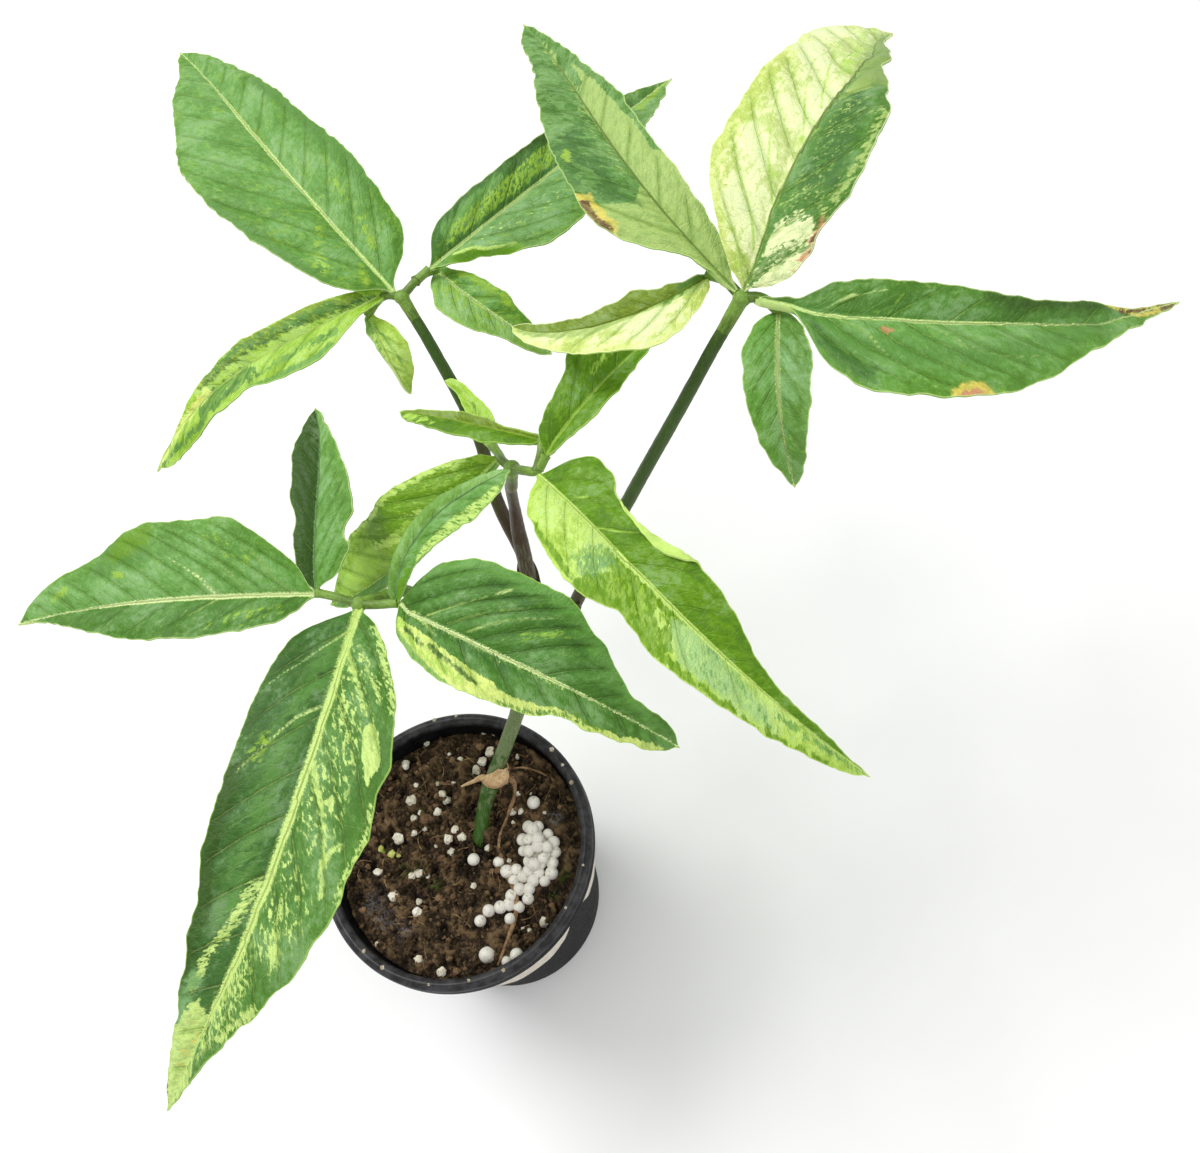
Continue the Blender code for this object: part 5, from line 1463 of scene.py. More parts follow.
CENTRE_BLADES = (
    Blade(
        (79, 44.5, 221.8), 132, (160, 157, 129), (20, -14, -57), (14, 10, 12, 4.5, 2), (11, 16, 13, 9, 4),
        (0, 6), (18, 12), (-14, -18), (1, 3, 0.2),
        BladeFinish(G.BRIGHT_GREEN, G.PALE_LIME, rib=G.PALE_LIME, rib_width=1.2, rib_feather=0.3,
                    vein=G.LIME, vein_gain=0.14, crease=0.3, margin=G.PALE_LIME, mottle=G.YELLOW_GREEN,
                    mottle_cover=0.05, under=G.PALE_LIME),
        marks=(
            Mark(G.LIME, ((0.12, 0.12), (0.18, 0.35), (0.25, 0.68)), 0.5, 0.3, ragged=0.1, soft=0.25),
            Mark(G.LIME, ((0.22, 0), (0.27, -0.35), (0.3, -0.65)), 0.6, 0.3, ragged=0.2, soft=0.3),
            Mark(G.LIME, ((0.12, 0), (0.16, -0.35)), 0.5, 0.3, ragged=0.2, soft=0.3),
            Mark(G.BRIGHT_GREEN, ((0.27, 0.12), (0.5, 0.08), (0.49, 0.35), (0.52, 0.7), (0.5, 1.1),
                                  (0.3, 1.1), (0.3, 0.7), (0.33, 0.4)), cover=0.8, grain=1.6, ragged=1),
            Mark(G.BLUE_GREEN, ((0.25, 0.35), (0.28, 0.15), (0.33, 0.2), (0.31, 0.75), (0.26, 0.7)),
                 cover=0.62, grain=1.2, ragged=2.2, soft=1.6),
            Mark(G.YELLOW_GREEN, ((0.3, 0.15), (0.5, 0.15), (0.5, 0.8), (0.3, 0.7)), cover=0.35, grain=1.6),
            Mark(G.PALE_LIME, ((0.45, 0.38), (0.47, 0.46)), 1.6, 1, cover=0.9, grain=1.2),
            Mark(G.PALE_SAGE, ((0.48, 0.2), (0.52, 0.06), (0.6, 0.08), (0.68, 0.25), (0.74, 0.6),
                               (0.76, 0.78), (0.55, 0.82), (0.5, 0.5)), cover=0.9, soft=1.2, grain=1.8),
            Mark(G.BLUE_GREEN, ((0.55, 0.5), (0.63, 0.65)), 3, 2.4, cover=0.42, soft=1.4, grain=1.2),
            Mark(G.BLUE_GREEN, ((0.56, 0.12), (0.68, 0.35)), 1.8, 1.4, cover=0.42, soft=1.4, grain=1.2),
            Mark(G.MID_GREEN, ((0.64, 0.25), (0.7, 0.5), (0.76, 0.78)), 1.2, 0.8, cover=0.5, soft=0.8,
                 grain=1.4),
            Mark(G.MID_GREEN, ((0.74, 0.3), (0.98, 0.3)), 1, 0.7, cover=0.75, grain=1.4),
            Mark(G.BRIGHT_GREEN, ((0.12, 0.97), (0.2, 0.88), (0.3, 0.9), (0.36, 0.8)), 1.4, 1.6,
                 ragged=0.6),
            Mark(G.BRIGHT_GREEN, ((0.52, 0.9), (0.7, 0.92), (0.88, 0.9)), 1.8, 1.2, cover=0.85),
        ),
        left_margin=((0, 0.8), (0.1, 1), (0.17, 1), (0.21, 0.85), (0.25, 0.92), (0.3, 1.1), (0.35, 1.28),
                     (0.38, 1.4), (0.41, 1.28), (0.44, 1.02), (0.55, 0.88), (0.72, 0.75), (0.87, 0.75),
                     (0.92, 0.4), (1, 0.4)),
        right_margin=((0, 0.8), (0.1, 1), (0.33, 0.97), (0.4, 0.72), (0.5, 1), (1, 1)),
        left_veins=(0.04, 0.12, 0.22, 0.33, 0.45, 0.6, 0.75),
        right_veins=(0.05, 0.12, 0.22, 0.34, 0.46, 0.6, 0.74), midrib=((0, 0), (0.3, 0.03), (1, 0)),
        curls=(Curl(-1, ((0.18, 0.82), (0.25, 0.8), (0.3, 0.86), (0.35, 0.92), (0.4, 1), (0.45, 1)), 158,
                    0.45),),
    ),
    Blade(
        (83.3, 47.8, 224), 60, (70, 61, 46), (38, -3, -24), (6, 9, 14, 13, 6), (3, 6, 5, 3, 2), (6, 6),
        (22, 16), (-14, -14), (1, 2, 0.4),
        BladeFinish(G.BRIGHT_GREEN, G.BRIGHT_GREEN, rib=G.LIME, rib_width=0.7, rib_feather=0.2, vein=G.LIME,
                    vein_gain=0.16, margin=G.LIME, mottle_cover=0.12),
        marks=(
            Mark(G.BLUE_GREEN, ((0.28, -0.4), (0.45, -0.12)), 3, 2, cover=0.35, soft=1.2, grain=1.6),
            Mark(G.LIME, ((0.43, -0.3), (0.6, -0.32)), 1, 0.6, cover=0.6, soft=0.5),
        ),
        left_veins=(0.05, 0.2, 0.36, 0.52, 0.68), right_veins=(0.05, 0.2, 0.36, 0.52, 0.68),
    ),
    Blade(
        (84, 53, 224), 51, (-55, -45, -45), (10, -10, -19), (3, 5, 5, 4, 3), (2, 3, 3, 2, 1.5), (-10, -6),
        (20, 16), (-10, -10), (0.5, 2, 0.6),
        BladeFinish(G.BRIGHT_GREEN, G.OLIVE, rib=G.YELLOW_GREEN, rib_width=0.3, rib_feather=0.1,
                    vein=G.LIME, vein_gain=0.12, margin=G.LIME, mottle_cover=0.1),
        marks=(
            Mark(G.LIME, ((0.7, -0.45), (0.92, -0.5)), 1.6, 1.2),
        ),
        right_margin=((0, 1), (0.08, 0.6), (0.25, 0.5), (0.4, 1), (0.85, 0.9), (0.95, 0.6)),
        left_veins=(0.05, 0.22, 0.4, 0.58), right_veins=(0.05, 0.22, 0.4, 0.58),
    ),
    Blade(
        (70.5, 65.5, 207), 84, (-109, -92, -61), (-15, -32, -31), (3, 4, 5, 5, 3), (8, 16, 19, 19, 12),
        (-8, -8), (20, 14), (-12, -12), (1.2, 2.5, 0.9),
        BladeFinish(G.MID_GREEN, G.YELLOW_GREEN, rib=G.PALE_LIME, rib_width=1, vein=G.LIME, vein_gain=0.24,
                    margin=G.PALE_LIME, mottle=G.BRIGHT_GREEN, mottle_cover=0.25),
        marks=(
            Mark(G.BRIGHT_GREEN, ((0.06, 0.1), (0.3, 0.3), (0.62, 0.45), (0.66, 0.8), (0.5, 0.92),
                                  (0.08, 0.93)), cover=0.64, grain=1.5),
            Mark(G.YELLOW_GREEN, ((0.1, 0.5), (0.3, 0.8)), 7, 6, cover=0.35, grain=1.3),
            Mark(G.PALE_LIME, ((0.36, 0.36), (0.42, 0.46)), 2, 1.2),
            Mark(G.PALE_LIME, ((0.5, 0.28), (0.62, 0.45)), 3, 1.6),
            Mark(G.LIME, ((0.62, 0.12), (0.95, 0.1), (0.9, 0.4), (0.75, 0.55), (0.64, 0.5)), soft=0.8,
                 cover=0.9),
            Mark(G.PALE_LIME, ((0.1, 0.95), (0.5, 0.94), (0.8, 0.94)), 1.6),
        ),
        left_veins=(0.05, 0.2, 0.36, 0.52, 0.68), right_veins=(0.04, 0.16, 0.28, 0.41, 0.55, 0.7),
    ),
    Blade(
        (69.5, 70.5, 206), 36, (-15, -4, -40), (10, -10, -18), (2, 2.5, 2.5, 2, 1.5), (4, 5, 3, 2, 1.5),
        (-6, -6), (14, 12), (-8, -8), (0.3, 1.5, 0),
        BladeFinish(G.LIME, G.LIME, rib=G.PALE_LIME, rib_width=0.6, vein_gain=0.3, margin=G.PALE_LIME),
        marks=(
            Mark(G.BRIGHT_GREEN, ((0.38, 0.1), (0.5, 0.2)), 1.8, 1.2),
        ),
        left_veins=(0.05, 0.3, 0.55, 0.8), right_veins=(0.05, 0.3, 0.55, 0.8),
    ),
)

FRONT_BLADES = (
    Blade(
        (4, 52, 196), 108, (-73, -67, -71), (14, -7, -17), (10, 14, 13, 8, 3), (13, 25, 25, 17, 9),
        (-8, -6), (16, 10), (-14, -12), (1.2, 3, 0.3),
        BladeFinish(G.LEAF_GREEN, G.MID_GREEN, rib=G.RIB_CREAM, rib_width=1.7, rib_feather=1, rib_end=0.8,
                    vein_gain=0.2, mottle_cover=0.15),
        marks=(
            Mark(G.LEAF_GREEN, ((0.5, 0.5), (0.7, 0.55), (0.7, 0.85), (0.5, 0.85)), soft=2),
            Mark(G.RIB_CREAM, ((0.29, 0.05), (0.33, 0.25), (0.43, 0.5)), 1, 0.3, cover=0.85, ragged=0.4,
                 grain=0.9),
            Mark(G.SAGE, ((0.28, -0.08), (0.35, -0.48)), 0.6, 0.3, cover=0.8, ragged=0.3, grain=0.9),
            Mark(G.VEIN_GREEN, ((0.07, 0.1), (0.13, 0.45), (0.2, 0.78)), 0.6, 0.4, ragged=0.2, grain=0.9),
            Mark(G.VEIN_GREEN, ((0.19, 0.1), (0.3, 0.5)), 0.6, 0.4, ragged=0.2, grain=0.9),
            Mark(G.BRIGHT_GREEN, ((0.5, 0.7), (0.6, 0.6), (0.66, 0.72), (0.62, 0.95), (0.5, 1)), soft=1.4,
                 cover=0.7),
            Mark(G.YELLOW_GREEN, ((0.59, 0.4), (0.61, 0.42)), 2, cover=0.7, soft=0.8),
            Mark(G.YELLOW_GREEN, ((0.8, 0.5), (0.84, 0.5)), 2, cover=0.7, soft=0.8),
            Mark(G.YELLOW_GREEN, ((0.2, 0.5), (0.34, 0.8)), 5, 3, cover=0.35, soft=1),
            Mark(G.YELLOW_GREEN, ((0.1, -0.6), (0.3, -0.75)), 4, 3, cover=0.35, soft=1),
        ),
        left_margin=((0, 0.8), (0.1, 0.9), (0.25, 0.87), (0.35, 0.97), (0.7, 0.97), (0.82, 0.8),
                     (0.86, 0.65), (0.9, 0.5), (0.93, 0.3), (1, 0.4)),
        left_veins=(0.05, 0.16, 0.28, 0.41, 0.55, 0.7),
        right_veins=(0.07, 0.13, 0.2, 0.3, 0.41, 0.53, 0.66),
    ),
    Blade(
        (4, 53, 196.5), 62, (16, 21, 0), (22, 7, -3), (5, 7, 9, 9, 5), (10, 14, 13, 8, 4), (-6, -6),
        (14, 12), (-12, -12), (0.8, 2, 0),
        # The left half's deep green is painted shade on the half turned from the light.
        BladeFinish(G.DEEP_GREEN, G.MID_GREEN, rib=G.BLUE_GREEN, rib_width=0.6, rib_feather=0.6,
                    rib_end=0.95, vein_gain=0.14, mottle_cover=0.15),
        marks=(
            # Painted shade over the left half.
            Mark(G.DEEP_GREEN, ((0, -1.1), (1, -1.1), (0.9, -0.3), (0.6, -0.05), (0, 0)), soft=1.6,
                 cover=0.85),
        ),
        left_margin=((0.2, 1), (0.29, 1), (0.32, 0.82), (0.4, 0.82), (0.44, 1)),
        right_margin=((0.2, 1), (0.24, 0.78), (0.31, 0.78), (0.36, 1), (0.6, 0.88), (0.75, 0.83),
                      (0.8, 0.7), (0.9, 0.6)),
        left_veins=(0.05, 0.18, 0.32, 0.46, 0.62, 0.78), right_veins=(0.05, 0.16, 0.28, 0.4, 0.54, 0.7),
    ),
    Blade(
        (15.5, 43, 195), 163, (-156, -137, -112), (22, -15, -42), (14, 27, 27, 16, 4), (16, 21, 20, 14, 6),
        (0, 0), (16, 10), (-14, -12), (1.3, 3.5, 0.5),
        BladeFinish(G.LEAF_GREEN, G.DARK_GREEN, rib=G.LIME_CREAM, rib_width=3.4, rib_feather=1.5,
                    rib_end=0.9, vein=G.CREAM_YELLOW, vein_gain=0.16, crease=0.75, margin=G.LIME,
                    mottle=G.CREAM_YELLOW, mottle_cover=0.06),
        marks=(
            Mark(G.LEAF_GREEN, ((0.05, 0.1), (0.3, 0.35), (0.6, 0.3)), 7, 6, soft=4, cover=0.6, grain=4),
            Mark(G.LIME_CREAM, ((0.08, -0.15), (0.3, -0.15), (0.42, -0.2), (0.47, -0.6), (0.38, -0.72),
                                (0.3, -0.62), (0.12, -0.6)), cover=0.36, grain=1.7, soft=2),
            Mark(G.LIME_CREAM, ((0.45, -0.2), (0.62, -0.2), (0.64, -0.75), (0.52, -0.8)), cover=0.34,
                 grain=1.7, soft=2),
            Mark(G.LIME_CREAM, ((0.1, -0.12), (0.16, -0.38), (0.23, -0.64)), 1.5, 0.9, cover=0.75,
                 grain=1.2, ragged=1),
            Mark(G.LIME_CREAM, ((0.32, -0.15), (0.38, -0.42), (0.46, -0.72)), 1.7, 1.2, cover=0.75,
                 grain=1.2, ragged=1),
            Mark(G.LIME_CREAM, ((0.2, -0.25), (0.29, -0.55)), 2.2, 1.6, cover=0.5, grain=1.4),
            Mark(G.LIME_CREAM, ((0.13, -0.55), (0.2, -0.8)), 1.6, 1.2, cover=0.5, grain=1.4),
            Mark(G.LIME_CREAM, ((0.06, -0.95), (0.12, -0.9), (0.22, -0.97)), 1.6, 1.2, cover=0.8, grain=1),
            Mark(G.LIME_CREAM, ((0.235, -0.72), (0.255, -0.65), (0.3, -0.7), (0.325, -0.78), (0.335, -0.88),
                                (0.3, -0.88), (0.26, -0.83)), ragged=0.9, grain=1.4, soft=0.15),
            Mark(G.LIME_CREAM, ((0.43, -0.76), (0.46, -0.68), (0.5, -0.78)), 1.9, 1.4, cover=0.85,
                 ragged=0.8, grain=1.1),
            Mark(G.LIME_CREAM, ((0.36, -0.97), (0.5, -0.98)), 1.3, 1, cover=0.7, grain=0.9),
            Mark(G.LIME_CREAM, ((0.54, -0.4), (0.6, -0.55), (0.62, -0.7)), 2.4, 2, cover=0.62, grain=1.1),
            Mark(G.LIME_CREAM, ((0.62, -0.1), (0.8, -0.1), (0.85, -0.5), (0.75, -0.75), (0.65, -0.5)),
                 cover=0.46, grain=1.1, soft=1.6),
            Mark(G.LIME_CREAM, ((0.7, -0.9), (0.78, -0.8)), 2, cover=0.8, grain=1.1),
            Mark(G.LIME_CREAM, ((0.64, -0.16), (0.76, -0.1)), 3, 3.6, cover=0.8, grain=1.3),
            Mark(G.LIME_CREAM, ((0.53, 0.04), (0.58, 0.14), (0.63, 0.26)), 3.6, 2.4, cover=0.6, grain=1.4),
            Mark(G.LIME_CREAM, ((0.63, 0.32), (0.68, 0.48), (0.74, 0.66)), 1.6, 2, cover=0.66, grain=1.3),
            Mark(G.DEEP_GREEN, ((0.35, 0.82), (0.5, 0.72), (0.62, 0.66), (0.72, 0.8), (0.76, 1.1),
                                (0.35, 1.1)), soft=1.8, cover=0.8, grain=3),
            Mark(G.DARK_GREEN, ((0.62, 0.02), (0.76, 0.1), (0.75, 0.45)), 4, 3, cover=0.7),
            Mark(G.RIB_PALE, ((0.22, 0.02), (0.25, 0.3), (0.3, 0.55), (0.37, 0.86)), 0.9, 0.5, ragged=0.3,
                 grain=1, soft=0.3),
            Mark(G.RIB_PALE, ((0.06, 0.05), (0.12, 0.4), (0.2, 0.88)), 0.7, 0.4, ragged=0.3, grain=1,
                 cover=0.7, soft=0.3),
            Mark(G.YELLOW_GREEN, ((0.3, 0.6), (0.33, 0.68)), 3, cover=0.5, soft=1.4),
            Mark(G.BLUE_GREEN, ((0.72, 0.62), (0.83, 0.95)), 4, 3, soft=1, cover=0.7, grain=1.4),
            Mark(G.LIME_CREAM, ((0.77, 0), (0.75, 0.35), (0.77, 0.55), (0.85, 1.1), (1.1, 1.1), (1.1, -0.2),
                                (0.95, -0.25), (0.84, -0.1)), ragged=1.1, grain=1.8, cover=0.95),
            Mark(G.LIME_CREAM, ((0.84, -0.1), (0.88, -0.65), (0.9, -1.1), (1.1, -1.1), (1.1, 0)),
                 ragged=1.2, grain=1.8, cover=0.85),
            Mark(G.YELLOW, ((0.8, 0.15), (0.9, 0.4)), 3, 2, cover=0.3, grain=1.6, soft=1),
        ),
        left_margin=((0, 0.8), (0.1, 0.93), (0.2, 0.98), (0.25, 0.95), (0.3, 1.01), (0.35, 0.95), (0.41, 1),
                     (0.46, 0.91), (0.51, 0.97), (0.56, 0.92), (0.62, 0.99), (0.67, 0.91), (0.71, 0.93),
                     (0.75, 0.82), (0.79, 0.87), (0.83, 0.8), (1, 0.9)),
        right_margin=((0, 0.8), (0.1, 1), (0.3, 0.98), (0.45, 0.93), (0.52, 0.97), (0.6, 0.88),
                      (0.66, 0.92), (0.71, 0.82), (0.76, 0.93), (0.8, 0.86), (0.86, 1), (1, 0.9)),
        left_veins=(0.03, 0.1, 0.18, 0.26, 0.33, 0.42, 0.5, 0.6, 0.7),
        right_veins=(0.06, 0.14, 0.23, 0.32, 0.4, 0.5, 0.6, 0.7), lean=(1.15, 0.85),
        midrib=((0, 0), (0.1, -0.05), (0.4, -0.09), (0.65, -0.12), (0.85, -0.08), (1, 0)),
    ),
    Blade(
        (26.5, 38.5, 196), 100, (144, 137, 129), (20, -14, -57), (15, 23, 24, 14, 5.5),
        (10, 15, 13, 9, 5.5), (10, 8), (18, 12), (-12, -16), (1.2, 3, 0.9),
        BladeFinish(G.LEAF_GREEN, G.LEAF_GREEN, rib=G.RIB_CREAM, rib_width=1.1, rib_feather=1.3,
                    rib_end=0.8, vein=G.RIB_PALE, vein_gain=0.1, crease=0.8, margin=G.LIME,
                    mottle_cover=0.1),
        marks=(
            Mark(G.LIME_CREAM, ((0.08, 0.14), (0.3, 0.12), (0.6, 0.1)), 1.8, 1.2, cover=0.42, grain=0.9),
            Mark(G.DARK_GREEN, ((0.3, -0.75), (0.6, -0.6)), 4, 3, soft=2.5, cover=0.5, grain=3),
            Mark(G.CREAM_YELLOW, ((0.05, 0.6), (0.1, 0.45), (0.2, 0.42), (0.3, 0.52), (0.4, 0.6),
                                  (0.46, 0.75), (0.6, 0.74), (0.7, 0.84), (0.8, 0.8), (0.9, 0.6),
                                  (0.95, 0.8), (0.9, 1.1), (0.05, 1.1)), ragged=0.6, grain=1.6, soft=0.15),
            Mark(G.LIME, ((0.06, 0.72), (0.2, 0.72), (0.35, 0.85)), 2.2, 1.6, cover=0.55, grain=1.6),
            Mark(G.MID_GREEN, ((0.03, 0.86), (0.1, 0.84), (0.2, 0.86), (0.3, 0.94), (0.36, 1.1),
                               (0.03, 1.1)), ragged=0.6, grain=1.4),
            Mark(G.DARK_GREEN, ((0.1, 0.65), (0.14, 0.62), (0.19, 0.64)), 1.3, 0.7, cover=0.85, ragged=0.8,
                 grain=1.1),
            Mark(G.DARK_GREEN, ((0.21, 0.57), (0.28, 0.61), (0.34, 0.7), (0.39, 0.77)), 1.7, 0.9,
                 ragged=0.8, grain=1.1),
            Mark(G.LIME_CREAM, ((0.26, 0.62), (0.32, 0.7)), 0.7, 0.5, ragged=0.3, grain=1),
            Mark(G.LEAF_GREEN, ((0.46, 0.93), (0.6, 0.95), (0.68, 0.9)), 1.2, 1, cover=0.7, grain=1.2),
            Mark(G.BRIGHT_GREEN, ((0.66, 0.82), (0.74, 0.88)), 1.4, 1, cover=0.6, soft=0.8),
            Mark(G.DARK_GREEN, ((0.1, 0.1), (0.5, 0.12), (0.5, 0.35), (0.15, 0.32)), soft=1.6, cover=0.55,
                 grain=3),
            Mark(G.LIME_CREAM, ((0.1, 0.14), (0.2, 0.3)), 1, 0.5, cover=0.7, grain=1, ragged=0.4),
            Mark(G.MID_GREEN, ((0.08, -1.1), (0.08, -0.86), (0.4, -0.84), (0.65, -0.75), (0.8, -0.5),
                               (0.98, -0.4), (0.98, 0.5), (0.86, 0.5), (0.86, -1.1)), soft=2.4, cover=0.75,
                 grain=3),
            Mark(G.YELLOW_GREEN, ((0.44, -0.3), (0.54, -0.6)), 2, 1.4, cover=0.45, soft=1, grain=1.6),
            Mark(G.RIB_PALE, ((0.13, -0.02), (0.25, -0.42), (0.36, -0.78)), 0.6, 0.4, cover=0.75,
                 ragged=0.3, soft=0.3),
            Mark(G.SAGE, ((0.21, -0.04), (0.32, -0.4), (0.42, -0.66)), 0.5, 0.3, cover=0.75, ragged=0.3,
                 soft=0.35),
            Mark(G.SAGE, ((0.28, -0.04), (0.38, -0.4), (0.5, -0.7)), 0.5, 0.3, cover=0.75, ragged=0.3,
                 soft=0.35),
        ),
        left_margin=((0, 0.8), (0.1, 1), (0.5, 0.92), (0.6, 0.8), (0.65, 0.87), (0.73, 0.7), (0.77, 0.55),
                     (0.85, 0.62), (0.9, 0.8), (0.95, 1), (1, 1.4)),
        right_margin=((0, 0.8), (0.1, 1), (0.55, 1), (0.64, 0.8), (0.7, 1), (1, 0.9)),
        left_veins=(0.03, 0.11, 0.19, 0.3, 0.4, 0.53, 0.68),
        right_veins=(0.05, 0.15, 0.26, 0.38, 0.5, 0.63, 0.76), lean=(1.3, 1),
        midrib=((0, 0), (0.05, 0.2), (0.1, 0.13), (0.2, 0.08), (0.7, 0.05), (1, 0)), quilt=1.8,
    ),
    Blade(
        (25.8, 38.4, 196.4), 56, (31, 77, 93), (42, 22, 8), (2.5, 3.5, 4, 3, 2), (3, 5, 8, 9, 6), (10, 4),
        (18, 16), (-10, -24), (0.6, 1.5, 0.4),
        BladeFinish(G.SOFT_GREEN, G.MID_GREEN, rib=G.BLUE_GREEN, rib_width=0.4, rib_feather=0.2,
                    vein_gain=0.12, margin=G.BLUE_GREEN, mottle=G.MID_GREEN, mottle_cover=0.3,
                    under=G.PALE_LIME),
        marks=(
            Mark(G.PALE_LIME, ((0.25, 1.1), (0.32, 0.72), (0.6, 0.6), (0.9, 0.6), (1, 1.1)), ragged=0.5,
                 cover=0.6, grain=1.4),
            Mark(G.BRIGHT_GREEN, ((0.02, 0.5), (0.2, 0.8)), 2.6, 2, soft=0.6),
        ),
        left_veins=(0.05, 0.2, 0.36, 0.52, 0.68), right_veins=(0.05, 0.2, 0.36, 0.52, 0.68),
    ),
)


@dataclass
class CompoundLeaf:
    """One leaf: its knot, its stub of stalk, the arms to its side blades, and its blades."""

    node: str
    hub: Point
    stalk_end: Point
    arms: tuple[tuple[Point, ...], ...]
    blades: tuple[Blade, ...]
    patterns: Patterns
    skin: StemFinish
    knot_radius: float = 2.5
    arm_radius: float = 1.35
    stub_radius: float = 1.8
    step: float = 1.2

    def build_knot(self) -> Item:
        """The knot with its stub and arms, each tapered into it."""
        parts = [stem_ball(self.node + "_knot", self.hub, self.knot_radius, 0.85, (20, 14), 1.0)]
        end, hub = Vector(self.stalk_end), Vector(self.hub)
        points = route_points([end, (end + hub) / 2, hub], self.step)
        radii = [mix((self.stub_radius, self.stub_radius + 0.3), index / (len(points) - 1))
                 for index in range(len(points))]
        parts.append(draw_tube(self.node + "_stub", points, radii, 16, 0.06))
        for index, arm in enumerate(self.arms):
            points = route_points(list(arm), self.step)
            last = len(points) - 1
            radii = [self.arm_radius + 0.5 * math.exp(-place) + 0.25 * math.exp(place - last)
                     for place in range(last + 1)]
            parts.append(draw_tube(f"{self.node}_arm_{index + 1}", points, radii, 14, 0.06))
        return join(self.node + "_knot", parts)

    def build(self) -> None:
        """Builds and dresses every piece of the leaf."""
        self.skin.dress(self.build_knot(), self.node, self.node, self.patterns)
        for index, blade in enumerate(self.blades):
            builder = BladeBuilder(f"{self.node}_blade_{index + 1}", blade, self.patterns)
            builder.dress(builder.build(), self.node)


@dataclass
class Cane:
    """The leaning cane with its swollen joints, and the leaf stalks that clasp it."""

    patterns: Patterns
    route: tuple[Point, ...] = (
        (-1.1, -6.6, 68.8), (8.0, 3.2, 80.0), (14.8, 10.5, 88.4), (22.0, 16.0, 96.5), (31.0, 21.9, 105.0),
        (43.4, 30.7, 118.0), (52.0, 38.7, 130.0), (58.9, 47.2, 142.0), (62.4, 54.4, 153.0),
        (64.8, 61.5, 164.0))
    radius: float = 2.6
    swell: float = 0.5
    swell_length: float = 3.0
    joints: tuple[float, ...] = (0.27, 0.55, 0.68, 0.85)
    scars: tuple[Point, ...] = ((0.18, 1.2, 0.5), (-0.12, -0.6, 0.6))
    step: float = 4.0
    fine: int = 5

    def coarse_frames(self) -> list:
        """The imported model's own stations along the cane."""
        return route_frames(route_points(list(self.route), self.step))

    def build(self) -> None:
        """The smooth cane, with a raised ring and scar at each joint."""
        points = route_points(list(self.route), self.step / self.fine)
        length = self.step * (len(self.coarse_frames()) - 1)
        radii = []
        for index in range(len(points)):
            share = index / (len(points) - 1)
            size = self.radius
            for joint in self.joints:
                away = (share - joint) * length
                size += self.swell * math.exp(-(away / self.swell_length) ** 2)
                for height, place, width in self.scars:
                    size += height * math.exp(-((away - place) / width) ** 2)
            radii.append(size)
        cane = draw_tube("cane", points, radii, 28, 0.1)
        finish = StemFinish("cane_skin", (52, 92, 16), (112, 128, 84), (150, 162, 122), (0.28, 0.36),
                            (78, 62, 48))
        finish.dress(cane, "cane", "cane", self.patterns)


@dataclass
class LeafStalk:
    """One leaf stalk, and the sleeve at its foot that clasps the cane."""

    node: str
    cane: Cane
    cane_share: float
    side: Point
    clasp_length: float
    route: tuple[Point, ...]
    stalk_end: Point
    hub: Point
    skin: StemFinish
    foot_radius: float = 2.5
    top_radius: float = 1.8
    clasp_wall: float = 1.0
    clasp_clearance: float = 0.45
    half_angles: Spot = (130.0, 35.0)
    bud: Point | None = None

    def finish_points(self) -> list[Vector]:
        """The last stretch, straight into the leaf's knot."""
        end = Vector(self.stalk_end)
        lead = (Vector(self.hub) - end).normalized()
        return [end - lead * 7.0, end + lead * 0.4]

    def build(self) -> None:
        """Builds and dresses the stalk with its sleeve."""
        frames = self.cane.coarse_frames()
        if not self.clasp_length:
            tip, tangent = frames[-1][0], frames[-1][1]
            points = route_points([tip - tangent * 0.2, tip + tangent * 5.0] + list(self.route)
                                  + self.finish_points(), 1.2)
            count = len(points) - 1
            radii = [mix((self.cane.radius, self.top_radius), min(1.0, 2.5 * index / count))
                     for index in range(count + 1)]
            tube = draw_tube(self.node, points, radii, 22, 0.08)
            self.skin.dress(tube, self.node, "stalks", self.cane.patterns)
            return
        first = round(self.cane_share * (len(frames) - 1))
        rings = round(self.clasp_length / self.cane.step) + 1
        clasped = frames[first:first + rings]
        inner = self.cane.radius + self.cane.swell
        away = inner + self.clasp_clearance + self.foot_radius
        start = [point + square_to(tangent, self.side) * away
                 for point, tangent, _, _ in (clasped[0], clasped[-1])]
        points = route_points(start + list(self.route) + self.finish_points(), 1.2)
        count = len(points) - 1
        radii = [mix((self.foot_radius, self.top_radius), index / count)
                 * (1 - 0.45 * math.exp(-index / 3)) for index in range(count + 1)]
        parts = [draw_tube(self.node, points, radii, 22, 0.08), self.build_sleeve(clasped, inner + 0.1)]
        if self.bud:
            parts.append(stem_ball(self.node + "_bud", self.bud, 1.1, 1.7, (12, 8), 0.0))
        self.skin.dress(join(self.node, parts), self.node, "stalks", self.cane.patterns)

    def build_sleeve(self, clasped: list, inner: float) -> Item:
        """The thin sleeve round the cane, which narrows to a tongue at its top."""
        item, flat = flat_sheet(self.node + "_sleeve", 14, 28)
        places, skin = [], []
        for along, across in flat[:, :2]:
            share = (along + 1) / 2
            point, _, front, other = round_run(clasped, self.side, share)
            angle = math.radians(mix(self.half_angles, share ** 1.4)) * across
            radius = inner + self.clasp_wall / 2 - 0.55 * across ** 2
            out = front * math.cos(angle) + other * math.sin(angle)
            places.append(tuple((point + out * radius) * MM))
            skin.append((3 * math.cos(angle), 3 * math.sin(angle), share * self.clasp_length))
        write_points(item, np.array(places))
        write_values(item, "along", np.zeros(len(places)))
        write_values(item, "skin", np.array(skin))
        give_thickness(item, self.clasp_wall - 0.1)
        face_out(item)
        shade_smooth(item, SMOOTH_ANGLE)
        return item


